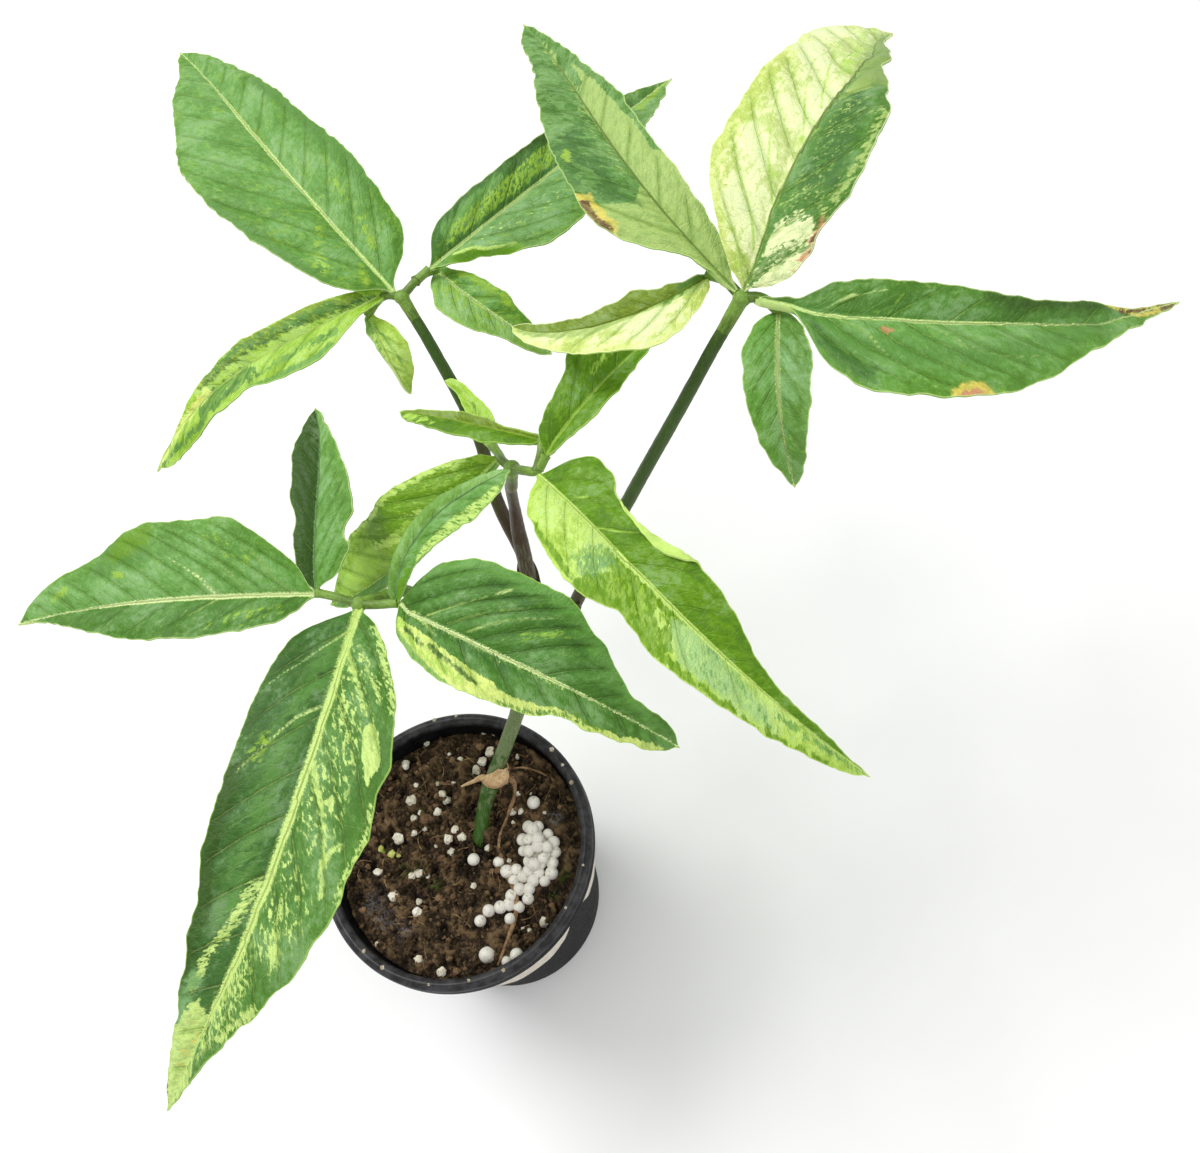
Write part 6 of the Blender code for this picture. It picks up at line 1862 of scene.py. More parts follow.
@dataclass
class NurseryPot:
    """The thin black pot with its rolled lip, foot ring, centre pad and drain holes."""

    patterns: Patterns
    height: float = 90.0
    rim_radius: float = 50.0
    base_radius: float = 36.0
    wall: float = 1.4
    lip_width: float = 4.5
    lip_drop: float = 7.0
    floor: float = 2.0
    foot_lift: float = 2.5
    foot_width: float = 7.0
    pad_radius: float = 9.0
    edge_round: float = 1.0
    holes: int = 6
    hole_radius: float = 3.5
    hole_ring: float = 20.0
    sides: int = 144

    def wall_radius(self, height: float) -> float:
        """The outer radius of the tapered wall at a height."""
        lip_foot = self.rim_radius - self.lip_width + self.wall
        return self.base_radius + (lip_foot - self.base_radius) * height / (self.height - self.lip_drop)

    def rings(self) -> list[Spot]:
        """The half outline, from the middle of the underside, up outside, and down inside."""
        lip_foot = self.height - self.lip_drop
        lip_round = self.lip_width / 2
        centre = self.rim_radius - lip_round
        foot_inner = self.base_radius - self.foot_width
        floor_top = self.foot_lift + self.floor
        rings = [(0.2, 0.0), (self.pad_radius - 0.4, 0.0), (self.pad_radius, 0.3),
                 (self.pad_radius + self.edge_round, self.foot_lift),
                 (foot_inner - self.edge_round, self.foot_lift),
                 (foot_inner - 0.2, 0.3), (foot_inner + 0.2, 0.0), (self.base_radius - self.edge_round, 0.0),
                 (self.base_radius - 0.3, 0.3), (self.wall_radius(self.edge_round), self.edge_round)]
        for share in (0.25, 0.5, 0.75, 0.97):
            rings.append((self.wall_radius(lip_foot * share), lip_foot * share))
        rings += [(self.wall_radius(lip_foot), lip_foot), (self.rim_radius - 0.5, lip_foot),
                  (self.rim_radius - 0.1, lip_foot + 0.15), (self.rim_radius, lip_foot + 0.6)]
        for step in range(17):
            angle = math.pi * step / 16
            bead = 0.12 * math.cos(3 * angle) if 2 < step < 14 else 0.0
            rings.append((centre + (lip_round + bead) * math.cos(angle),
                          self.height - lip_round + (lip_round - abs(bead)) * math.sin(angle)))
        inner_lip = self.wall_radius(lip_foot) - self.wall
        corner = floor_top + self.edge_round
        rings += [(inner_lip, lip_foot), (self.wall_radius(lip_foot / 2) - self.wall, lip_foot / 2),
                  (self.wall_radius(corner) - self.wall, corner),
                  (self.wall_radius(floor_top) - self.wall - self.edge_round, floor_top), (0.2, floor_top)]
        return rings

    def build(self) -> None:
        """Turns the pot, cuts its drain holes and dresses it."""
        pot = turn_rings("pot", self.rings(), self.sides)
        cutters = []
        for hole in range(self.holes):
            angle = 2 * math.pi * (hole + 0.5) / self.holes
            deselect()
            spot = (self.hole_ring * math.cos(angle) * MM, self.hole_ring * math.sin(angle) * MM, 2 * MM)
            bpy.ops.mesh.primitive_cylinder_add(vertices=24, radius=self.hole_radius * MM, depth=14 * MM,
                                                location=spot)
            cutters.append(added(f"drain_{hole}"))
            settle(cutters[-1])
        cutter = join("drain_cutter", cutters)
        cut = pot.modifiers.new("drains", "BOOLEAN")
        cut.operation = "DIFFERENCE"
        cut.object = cutter
        cut.solver = "EXACT"
        apply_modifiers(pot)
        bpy.data.objects.remove(cutter)
        shade_smooth(pot, 35.0)
        hand_over(pot, ("pot",), [self.finish()])

    def finish(self) -> Material:
        """Black moulded plastic: satin, finely scuffed, with pale dust on the lip that is also a painted
        highlight along it.
        """
        material, wire, shader = new_material("pot_plastic")
        spot = wire.spot()
        speckle = wire.use(self.patterns.speckle, Spot=spot, Grain=0.8).outputs
        colour = wire.paint(speckle["Broad"], screen_colour((13, 12, 13)), (25, 24, 26))
        parts = wire.place("ShaderNodeSeparateXYZ")
        wire.feed(parts.inputs[0], spot)
        on_lip = wire.span(parts.outputs["Z"], self.height - 3.4, self.height - 1.2)
        # Pale dust on the lip, and a painted highlight along the lip.
        dust = wire.times(on_lip, wire.span(speckle["Broad"], 0.0, 1.0, 0.1, 0.4))
        colour = wire.paint(dust, colour, (84, 82, 86))
        scuffs = wire.noise(wire.stretch(spot, (0.5, 0.5, 6.0)), 1.0, 4.0, 0.7)
        colour = wire.paint(wire.span(scuffs, 0.58, 0.8, 0.0, 0.3), colour, (78, 75, 74))
        wire.feed(shader.inputs["Coat Weight"], wire.times(on_lip, 0.4))
        shader.inputs["Coat Roughness"].default_value = 0.32
        wire.surface(shader, colour, wire.span(speckle["Fine"], 0.0, 1.0, 0.5, 0.62), 0.05,
                     wire.bump(wire.plus(speckle["Fine"], wire.times(scuffs, 0.5)), 0.08, 0.6))
        return material


@dataclass
class PaperBand:
    """The blank weathered paper band that stands just off the pot's wall."""

    patterns: Patterns
    pot: NurseryPot
    top: float = 81.0
    start: float = -100.0
    end: float = 55.0
    thickness: float = 0.5
    off_wall: float = 0.6
    tears: tuple[Point, ...] = ((0.8, 0.35, 2.0), (0.3, 1.4, 5.0))
    low_edge: tuple[Spot, ...] = ((-100.0, 49.0), (-92.0, 46.0), (-81.0, 51.0), (-69.0, 54.0), (-60.0, 59.0),
                                  (-55.0, 66.0), (-51.0, 77.0), (-47.0, 75.0), (-36.0, 57.0), (-22.0, 49.0),
                                  (-16.0, 46.0), (0.0, 48.0), (30.0, 52.0), (55.0, 55.0))

    def build(self) -> None:
        """Bends a fine grid round the wall, with a torn lower edge, and gives it thickness."""
        band, flat = flat_sheet("paper_band", 150, 22)
        turn = mix((self.start, self.end), (flat[:, 0] + 1) / 2)
        low = read_curve(turn, self.low_edge)
        share = (flat[:, 1] + 1) / 2
        places = []
        for angle, bottom, up in zip(turn, low, share):
            ragged = sum(size * noise.noise(Vector((angle * often, seed, 0.0)))
                         for size, often, seed in self.tears)
            height = bottom + ragged * (1 - up) + (self.top - bottom) * up
            ripple = 0.18 * noise.noise(Vector((angle * 0.12, height * 0.12, 3.0)))
            radius = self.pot.wall_radius(height) + self.off_wall + ripple
            turned = math.radians(angle)
            places.append((radius * math.cos(turned) * MM, radius * math.sin(turned) * MM, height * MM))
        write_points(band, np.array(places))
        give_thickness(band, self.thickness)
        face_out(band)
        shade_smooth(band, 40.0)
        finish = SpeckledFinish("band_paper", (222, 215, 202), (200, 192, 178), (176, 168, 154), grain=0.5,
                                fleck_share=0.2, roughness=(0.7, 0.85), relief=0.12, gloss=0.25)
        finish.dress(band, "paper_band", "paper_band", self.patterns)


@dataclass
class SoilBed:
    """The crumbly potting soil with perlite, bark crumbs, root fibres and specks of moss."""

    patterns: Patterns
    pot: NurseryPot
    top: float = 80.0
    hump: float = 1.8
    lump: float = 1.6
    lump_size: float = 9.0
    rings: int = 84
    sides: int = 248
    bead_bed: Spot = (28.0, -12.0)
    bed_half: Spot = (7.5, 13.0)
    bed_turn: float = -18.0
    bead_radius: float = 2.25
    bed_slope: float = 6.0
    bed_calm: float = 0.75
    hump_radius: float = 45.5
    calm_rim: Spot = (42.0, 5.0)
    sides_foot: float = 70.0
    foot: float = 4.8
    cane_clear: Point = (9.0, 3.5, 6.0)
    crumb_reach: float = 44.5
    hairs: int = 70
    hair_reach: Spot = (41.0, 44.0)
    hair_radius: float = 0.16
    clod_sizes: tuple[Point, ...] = ((3.4, 5.5, 4.0), (2.6, 2.4, 9.0), (1.6, 1.1, 2.0))
    trail: tuple[Spot, ...] = ((17.0, -18.0), (14.6, -21.0), (11.6, -23.4), (8.6, -25.8), (5.0, -27.2))
    grains: tuple[Point, ...] = (
        (21.7, 41.0, 1.7), (24.6, 39.3, 1.6), (21.2, 31.8, 2.1), (17.3, 29.1, 1.9), (14.2, 27.4, 2.1),
        (9.6, 33.6, 1.1), (-1.0, 45.0, 1.2), (-11.1, 39.6, 1.9), (-0.1, 20.5, 1.6), (-0.6, 22.6, 1.4),
        (-3.6, 16.2, 1.5), (-11.9, 24.2, 2.0), (-1.3, 27.6, 0.9), (-10.1, 19.1, 1.1), (-13.3, 18.4, 1.5),
        (-10.2, 13.1, 1.1), (-14.4, 12.3, 1.2), (-20.7, 12.9, 2.1), (0.7, 7.5, 1.5), (-2.7, 5.0, 1.8),
        (2.1, 4.0, 1.6), (-3.6, 1.4, 1.7), (-17.3, -1.6, 1.7), (-19.9, -1.9, 1.5), (-14.2, -4.2, 0.9),
        (-28.0, -6.3, 2.1), (-20.2, -11.3, 1.3), (-21.0, -15.3, 1.8), (1.1, -14.5, 1.1), (22.4, 6.4, 1.5),
        (25.1, 5.2, 1.2), (26.4, 11.6, 1.0), (30.8, 10.4, 0.9), (9.7, -3.3, 1.3), (15.5, -10.3, 0.9),
        (4.4, 25.4, 1.0), (23.3, 18.4, 0.7), (33.2, 1.5, 0.7), (-18.6, -38.1, 1.7), (-25.4, -30.9, 1.6),
        (-38.5, -19.9, 1.1), (14.8, -35.9, 0.8), (12.6, -34.5, 0.8), (20.4, -35.3, 1.8), (6.1, 37.3, 0.7),
        (-8.3, 5.3, 0.8), (21.3, 2.5, 0.9), (-31.0, 4.0, 1.5), (-9.0, 30.0, 0.9), (30.0, 27.0, 1.1))
    sprouts: tuple[Point, ...] = ((-28.3, 12.3, 1.5), (-24.6, 8.6, 1.5), (-22.4, 7.8, 1.3))
    rim_grit: tuple[Point, ...] = (
        (6.4, 48.4, 0.8), (14.6, 46.6, 0.6), (44.3, 19.6, 0.9), (46.0, 12.4, 0.6), (46.9, 5.0, 0.8),
        (-40.9, -23.3, 0.7), (-36.0, -31.0, 0.8), (3.8, -47.6, 0.7), (-8.5, -46.4, 0.6), (30.5, -36.0, 0.5),
        (41.0, -24.5, 0.5), (-22.0, -42.5, 0.5))
    moss: tuple[Point, ...] = (
        (-17.0, -1.0, 5.0), (-22.0, 1.0, 4.0), (-26.0, 9.0, 3.0), (-12.0, -8.0, 4.0), (32.0, -22.0, 4.0),
        (27.0, -28.0, 3.0), (-9.0, 20.0, 3.0))
    webs: tuple[Point, ...] = (
        (-36.0, -6.0, 7.0), (-33.0, -13.0, 6.0), (-28.0, -19.0, 5.0), (36.0, -2.0, 4.0))

    def bed_share(self, x: float, y: float) -> float:
        """1 on the level bed of the feed beads, 0 well away from it."""
        turn = math.radians(self.bed_turn)
        dx, dy = x - self.bead_bed[0], y - self.bead_bed[1]
        across = abs(dx * math.cos(turn) + dy * math.sin(turn)) - self.bed_half[0] - self.bead_radius
        along = abs(dy * math.cos(turn) - dx * math.sin(turn)) - self.bed_half[1] - self.bead_radius
        away = max(across, along, 0.0)
        for spot in self.trail:
            away = min(away, max(0.0, math.hypot(x - spot[0], y - spot[1]) - 2 * self.bead_radius))
        return max(0.0, 1.0 - away / self.bed_slope)

    def height(self, x: float, y: float) -> float:
        """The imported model's lumpy top."""
        hump = self.hump * (1 - (math.hypot(x, y) / self.hump_radius) ** 2)
        lump = self.lump * noise.noise(Vector((x, y, 0.0)) / self.lump_size)
        level = self.bed_share(x, y)
        return self.top + hump * (1 - level) + lump * (1 - level) + level * self.hump / 2

    def crumbled(self, x: float, y: float) -> float:
        """The real top, with clods, pits and crumbs."""
        level = self.bed_share(x, y)
        rim = 1 - max(0.0, math.hypot(x, y) - self.calm_rim[0]) / self.calm_rim[1]
        return self.height(x, y) + self.clods(x, y) * (1 - self.bed_calm * level) * rim

    def clods(self, x: float, y: float) -> float:
        """How far clods and crumbs stand above the mean top, and pits below it."""
        return sum(height * noise.noise(Vector((x, y, seed)) / size)
                   for height, size, seed in self.clod_sizes)

    def build(self) -> None:
        """Builds the bed and what lies loose on it."""
        self.build_bed()
        self.build_crumbs("soil_crumbs_dark", 460, (0.45, 1.3), (84, 66, 48), (44, 33, 23), 11)
        self.build_crumbs("soil_crumbs_brown", 460, (0.4, 1.2), (128, 102, 74), (82, 64, 46), 23)
        self.build_crumbs("soil_bark", 60, (0.9, 1.8), (146, 116, 86), (96, 74, 54), 37)
        self.build_perlite()
        self.build_seedlings()
        self.build_rim_grit()
        self.build_fibres()

    def build_bed(self) -> None:
        """The filled bed: a fine disc with a crumbled top, drawn down to the pot's floor."""
        top_radius = self.pot.wall_radius(self.top) - self.pot.wall - 0.3
        low_radius = self.pot.wall_radius(6.0) - self.pot.wall - 1.6
        rings = [(0.25 + (top_radius - 0.25) * ring / self.rings, self.top)
                 for ring in range(self.rings + 1)]
        rings += [(top_radius - 1.0, self.sides_foot), (low_radius, self.foot), (0.25, self.foot)]
        bed = turn_rings("soil_bed", rings, self.sides)
        places = read_points(bed) / MM
        for place in places:
            if place[2] > self.top - 1.0:
                place[2] = self.crumbled(place[0], place[1])
        write_points(bed, places * MM)
        write_values(bed, "stand", np.array([self.clods(place[0], place[1]) for place in places]))
        shade_smooth(bed, 70.0)
        hand_over(bed, ("soil",), [self.finish()])

    def dress(self, piece: Item, finish: SpeckledFinish) -> None:
        """Dresses one of the loose pieces."""
        finish.dress(piece, "soil", "soil", self.patterns)

    def finish(self) -> Material:
        """Dark peat with brown fibre, moss, grey root webs, painted shade in the pits between clods and
        painted light on their tops.
        """
        material, wire, shader = new_material("soil_peat")
        spot = wire.spot()
        speckle = wire.use(self.patterns.speckle, Spot=spot, Grain=1.1).outputs
        colour = wire.paint(speckle["Broad"], screen_colour((56, 43, 31)), (120, 96, 69))
        crumbs = wire.cells(spot, 0.85)
        stand = wire.reading("stand")
        fibre = wire.noise(wire.stretch(spot, (1.4, 0.35, 1.0)), 1.0, 5.0, 0.7)
        moss = wire.times(self.pool(wire, spot, self.moss), wire.span(speckle["Fine"], 0.4, 0.9))
        threads = wire.cells(wire.stretch(spot, (1.0, 1.0, 0.2)), 0.5, "DISTANCE_TO_EDGE")
        web = wire.times(self.pool(wire, spot, self.webs), wire.span(threads, 0.0, 0.14, 0.6, 0.06))
        for mask, tint in ((wire.span(crumbs, 0.2, 0.8, 0.0, 0.8), (32, 24, 18)),
                           # Painted shade in the pits between the clods.
                           (wire.span(stand, -2.3, -0.2, 0.88, 0.0), (26, 18, 13)),
                           # Painted light on the clods' tops.
                           (wire.span(stand, 0.4, 2.4, 0.0, 0.6), (150, 122, 88)),
                           (wire.span(fibre, 0.55, 0.72, 0.0, 0.6), (164, 134, 102)),
                           (moss, (70, 92, 28)),
                           (web, (132, 132, 138))):
            colour = wire.paint(mask, colour, tint)
        wire.surface(shader, colour, wire.span(speckle["Fine"], 0.0, 1.0, 0.82, 0.95), 0.2,
                     wire.bump(wire.plus(wire.times(fibre, 0.8), speckle["Fine"]), 0.6, 0.9))
        return material

    def pool(self, wire: Wiring, spot: Socket, centres: tuple[Point, ...]) -> Socket:
        """A mask of round patches on the soil's top."""
        mask: object = 0.0
        for x, y, radius in centres:
            away = wire.place("ShaderNodeVectorMath", operation="DISTANCE")
            wire.feed(away.inputs[0], wire.stretch(spot, (1.0, 1.0, 0.0)))
            away.inputs[1].default_value = (x, y, 0.0)
            near = wire.span(away.outputs["Value"], radius * 0.3, radius, 1.0, 0.0)
            mask = wire.math("MAXIMUM", mask, near)
        return mask

    def lumps(self, name: str, spots: list[Point], squash: float, sink: float, detail: int = 2) -> Item:
        """Sets angular lumps on the soil, each a place and a radius, squashed and sunk by shares of it."""
        middles = [Vector((x, y, self.crumbled(x, y) + radius * sink)) for x, y, radius in spots]
        turns = [Matrix.Rotation(2.399 * index, 3, "Z") @ Matrix.Rotation(1.7 * index, 3, "X")
                 for index in range(len(spots))]

        def shape(index: int, point: Vector) -> Vector:
            """A point of one lump, in millimetres."""
            lump = noise.noise(point * 1.6 + Vector((index * 3.1, 0.0, 0.0)))
            corner = turns[index] @ (point * (1.0 + 0.45 * lump))
            corner.z *= squash
            return middles[index] + corner * spots[index][2]

        return set_copies(name, len(spots), detail, 30.0, shape)

    def build_crumbs(self, name: str, count: int, sizes: Spot, light: Bytes, dark: Bytes, seed: int) -> None:
        """Scatters crumbs over the bed, clear of the beads and of the cane."""
        picks = np.random.default_rng(seed)
        bare_x, bare_y, bare_radius = self.cane_clear
        spots = []
        while len(spots) < count:
            radius = self.crumb_reach * math.sqrt(picks.random())
            angle = 2 * math.pi * picks.random()
            x, y = radius * math.cos(angle), radius * math.sin(angle)
            size = sizes[0] + (sizes[1] - sizes[0]) * picks.random() ** 2
            if self.bed_share(x, y) < 0.9 and math.hypot(x - bare_x, y - bare_y) > bare_radius:
                spots.append((x, y, size))
        self.dress(self.lumps(name, spots, 0.75, 0.25, 1),
                   SpeckledFinish(name + "_peat", light, dark, dark, grain=0.7, roughness=(0.8, 0.95),
                                  relief=0.3, gloss=0.2))

    def build_perlite(self) -> None:
        """The white perlite grains that show on the soil."""
        self.dress(self.lumps("soil_perlite", list(self.grains), 0.8, 0.3),
                   SpeckledFinish("perlite", (244, 239, 228), (218, 209, 190), (184, 160, 124), grain=0.8,
                                  fleck_share=0.25, roughness=(0.75, 0.9), relief=0.25, gloss=0.3))

    def build_seedlings(self) -> None:
        """The tiny yellowed sprouts on the soil."""
        self.dress(self.lumps("soil_sprouts", list(self.sprouts), 0.5, 0.5),
                   SpeckledFinish("sprout", (196, 204, 120), (128, 146, 48), (206, 150, 90), grain=1.0,
                                  fleck_share=0.2, roughness=(0.5, 0.7), relief=0.1, gloss=0.3))

    def build_rim_grit(self) -> None:
        """The specks of perlite dust and peat that stick to the pot's lip."""
        round_over = self.pot.lip_width / 2
        middles = []
        for x, y, _ in self.rim_grit:
            fall = min(1.0, abs(math.hypot(x, y) - self.pot.rim_radius + round_over) / round_over)
            drop = round_over * (1 - math.sqrt(1 - fall * fall))
            middles.append(Vector((x, y, self.pot.height - drop + 0.1)))

        def shape(index: int, point: Vector) -> Vector:
            """A point of one speck, in millimetres."""
            lump = noise.noise(point * 1.5 + Vector((index * 4.3, 1.0, 0.0)))
            corner = point * (1.0 + 0.4 * lump) * self.rim_grit[index][2]
            corner.z *= 0.6
            return middles[index] + corner

        self.dress(set_copies("soil_rim_grit", len(middles), 2, 30.0, shape),
                   SpeckledFinish("rim_grit", (214, 206, 190), (170, 156, 134), (120, 100, 78), grain=0.6,
                                  fleck_share=0.25, roughness=(0.75, 0.9), relief=0.2, gloss=0.25))

    def build_fibres(self) -> None:
        """Fine root hairs and coir threads that lie on the soil."""
        picks = np.random.default_rng(5)
        parts = []
        while len(parts) < self.hairs:
            radius = self.hair_reach[0] * math.sqrt(picks.random())
            angle = 2 * math.pi * picks.random()
            x, y = radius * math.cos(angle), radius * math.sin(angle)
            heading = 2 * math.pi * picks.random()
            length = 2.5 + 6.0 * picks.random()
            bow = picks.random() - 0.5
            spots = []
            for share in (-0.5, -0.2, 0.15, 0.5):
                run, aside = length * share, bow * length * (0.25 - share ** 2)
                sx = x + run * math.cos(heading) - aside * math.sin(heading)
                sy = y + run * math.sin(heading) + aside * math.cos(heading)
                spots.append((sx, sy, self.crumbled(sx, sy) + 0.15 + 0.4 * picks.random()))
            if max(math.hypot(spot[0], spot[1]) for spot in spots) > self.hair_reach[1]:
                continue
            if max(self.bed_share(spot[0], spot[1]) for spot in spots) > 0.9:
                continue
            points = route_points(spots, 1.2)
            parts.append(draw_tube(f"hair_{len(parts)}", points, [self.hair_radius] * len(points), 5))
        self.dress(join("soil_hairs", parts),
                   SpeckledFinish("coir", (176, 144, 106), (112, 84, 58), (86, 62, 42), grain=0.6,
                                  roughness=(0.7, 0.85), relief=0.1, gloss=0.25))


@dataclass
class FeedBeads:
    """The white coated feed beads: the heap, the trail below it, and the stray ones."""

    patterns: Patterns
    soil: SoilBed
    level: float = 83.3
    sizes: tuple[float, ...] = (2.25, 2.1, 2.4, 2.0, 2.3)
    heap: tuple[Spot, ...] = (
        (26.3, -2.0), (29.5, -3.2), (28.0, -6.2), (32.0, -7.3), (22.9, -5.6), (25.4, -9.0), (29.2, -9.9),
        (32.9, -10.9), (21.9, -9.6), (25.9, -12.9), (28.9, -13.6), (32.5, -14.4), (22.8, -13.9),
        (26.4, -16.4), (21.4, -17.0), (30.2, -17.6), (24.6, -19.0), (28.8, -20.9), (25.6, -22.6),
        (21.8, -20.9), (18.9, -18.3), (17.3, -14.9), (13.9, -14.2), (15.3, -18.2), (16.3, -21.9),
        (19.4, -23.1), (18.1, -26.2))
    upper: tuple[Spot, ...] = ((27.6, -4.2), (25.2, -7.2), (28.4, -8.2), (24.0, -11.2), (30.6, -12.4),
                               (27.6, -10.9), (28.0, -15.6), (24.2, -16.2))
    trail: tuple[Spot, ...] = ((14.0, -27.4), (11.2, -25.3), (9.8, -30.2), (7.7, -25.1), (3.6, -24.8),
                               (-0.4, -26.9), (12.9, -23.0))
    strays: tuple[Point, ...] = (
        (30.8, 5.9, 2.4), (-1.7, -38.7, 2.9), (11.8, -9.4, 2.1), (3.8, -5.5, 2.2), (8.4, -43.0, 2.4),
        (4.2, -43.3, 2.0))

    def size(self, index: int) -> float:
        """The radius of one bead: the sizes take turns."""
        return self.sizes[index % len(self.sizes)]

    def beads(self, name: str, spots: list[Ball]) -> Item:
        """Sets smooth beads at these places, each with its radius."""

        def shape(index: int, point: Vector) -> Vector:
            """A point of one bead, in millimetres."""
            dent = 1.0 + 0.05 * noise.noise(point * 1.3 + Vector((index * 2.7, 0.0, 0.0)))
            return Vector(spots[index][:3]) + point * spots[index][3] * dent

        return set_copies(name, len(spots), 3, SMOOTH_ANGLE, shape)

    def build(self) -> None:
        """Builds and dresses the heap and the trail."""
        heap = [(x, y, self.level - 0.2, self.size(index)) for index, (x, y) in enumerate(self.heap)]
        heap += [(x, y, self.level + 2.5, self.size(index + 2)) for index, (x, y) in enumerate(self.upper)]
        finish = SpeckledFinish("bead_coat", (232, 227, 219), (212, 206, 198), (188, 178, 166), grain=1.4,
                                fleck_share=0.12, roughness=(0.42, 0.58), relief=0.06, gloss=0.45)
        material = finish.make(self.patterns)
        hand_over(self.beads("feed_bead_heap", heap), ("feed_bead_heap",), [material])
        trail = [(x, y, self.soil.crumbled(x, y) + self.size(index) * 0.7, self.size(index + 1))
                 for index, (x, y) in enumerate(self.trail)]
        trail += [(x, y, self.soil.crumbled(x, y) + radius * 0.65, radius) for x, y, radius in self.strays]
        hand_over(self.beads("feed_bead_trail", trail), ("feed_bead_trail",), [material])


@dataclass
class DrySheath:
    """The dry papery sheath on the cane's lowest joint, with its curled spike."""

    patterns: Patterns
    cane: Cane
    start: float = 0.295
    rings: int = 3
    wall: float = 0.7
    clearance: float = 0.75
    facing: Point = (0.7, -0.7, 0.0)
    half_angles: Spot = (150.0, 60.0)
    spike_angle: float = -125.0
    spike_route: tuple[Point, ...] = ((13.8, 17.6, 95.0), (10.0, 16.6, 97.5))

    def build(self) -> None:
        """Builds and dresses the sheath and its spike."""
        frames = self.cane.coarse_frames()
        first = round(self.start * (len(frames) - 1))
        clasped = frames[first:first + self.rings]
        inner = self.cane.radius + self.clearance
        sleeve, flat = flat_sheet("dry_sheath", 18, 36)
        places = []
        for along, across in flat[:, :2]:
            share = (along + 1) / 2
            point, tangent, front, other = round_run(clasped, self.facing, share)
            angle = math.radians(mix(self.half_angles, share)) * across
            bulge = 1.7 * math.sin(math.pi * min(1.0, share * 1.2)) * math.exp(-(across * 1.2) ** 2)
            crease = 0.22 * noise.noise(Vector((angle * 4.0, share * 2.0, 1.0)))
            radius = inner + self.wall / 2 + bulge + crease
            tear = 0.5 * noise.noise(Vector((angle * 2.5, 8.0, 0.0))) * share
            spot = point + (front * math.cos(angle) + other * math.sin(angle)) * radius + tangent * tear
            places.append(tuple(spot * MM))
        write_points(sleeve, np.array(places))
        give_thickness(sleeve, 0.5)
        face_out(sleeve)
        shade_smooth(sleeve, SMOOTH_ANGLE)
        point = (clasped[0][0] + clasped[1][0]) / 2
        tangent = clasped[0][1]
        front = square_to(tangent, self.facing)
        angle = math.radians(self.spike_angle)
        out = front * math.cos(angle) + tangent.cross(front) * math.sin(angle)
        start = [point + out * (inner + 0.2), point + out * (inner + self.wall + 1.0)]
        points = route_points(start + list(self.spike_route), 0.8)
        last = len(points) - 1
        radii = [mix((1.15, 0.3), (index / last) ** 1.3) for index in range(last + 1)]
        spike = draw_tube("dry_spike", points, radii, 14, 0.12)
        finish = SpeckledFinish("sheath_paper", (226, 194, 152), (188, 150, 108), (146, 110, 74), grain=0.6,
                                fleck_share=0.12, roughness=(0.6, 0.8), relief=0.2, gloss=0.3)
        finish.dress(join("dry_sheath", [sleeve, spike]), "dry_sheath", "dry_sheath", self.patterns)


@dataclass
class DryFibre:
    """The dry root fibres that curl from the sheath down over the soil."""

    patterns: Patterns
    soil: SoilBed
    drop: tuple[Point, ...] = ((27.0, 13.0, 96.5), (27.4, 11.6, 92.5), (25.6, 9.2, 88.6), (22.0, 6.0, 85.2))
    lay: tuple[Spot, ...] = ((17.6, 2.6), (14.6, -1.2), (13.4, -5.6))
    strand: tuple[Spot, ...] = ((8.8, -7.5), (11.6, -12.2), (14.3, -19.3), (14.2, -24.6), (12.1, -29.6),
                                (7.0, -36.0), (0.6, -43.2))
    rootlet: tuple[Spot, ...] = ((26.0, 22.0), (31.0, 20.5), (35.5, 17.5), (38.5, 13.5))

    def build(self) -> None:
        """Builds the falling fibre, the strand that crosses the beads and a pale rootlet."""
        lay = [(x, y, self.soil.crumbled(x, y) + 0.9) for x, y in self.lay]
        parts = []
        for number, shift in enumerate(((0.0, 0.0, 0.0), (0.5, 0.4, -0.3))):
            route = [Vector(spot) + Vector(shift) for spot in list(self.drop) + lay]
            points = route_points(route, 0.9)
            last = len(points) - 1
            radii = [0.62 + 0.15 * math.sin(index * 0.5 + number) - 0.25 * index / last
                     for index in range(last + 1)]
            parts.append(draw_tube(f"fall_{number}", points, radii, 10, 0.1))
        for number, (spots, size, lift) in enumerate(((self.strand, 0.8, 2.2), (self.rootlet, 0.4, 0.6))):
            route = []
            for x, y in spots:
                over = lift if self.soil.bed_share(x, y) > 0.5 else 0.6
                route.append((x, y, self.soil.crumbled(x, y) + over + 0.2))
            points = route_points(route, 1.0)
            last = len(points) - 1
            radii = [size * (1.1 - 0.6 * abs(2 * index / last - 1) ** 3) for index in range(last + 1)]
            parts.append(draw_tube(f"laid_{number}", points, radii, 10, 0.1))
        finish = SpeckledFinish("fibre", (172, 138, 102), (122, 92, 64), (90, 66, 44), grain=0.6,
                                roughness=(0.65, 0.8), relief=0.15, gloss=0.3)
        finish.dress(join("dry_fibre", parts), "dry_fibre", "dry_fibre", self.patterns)


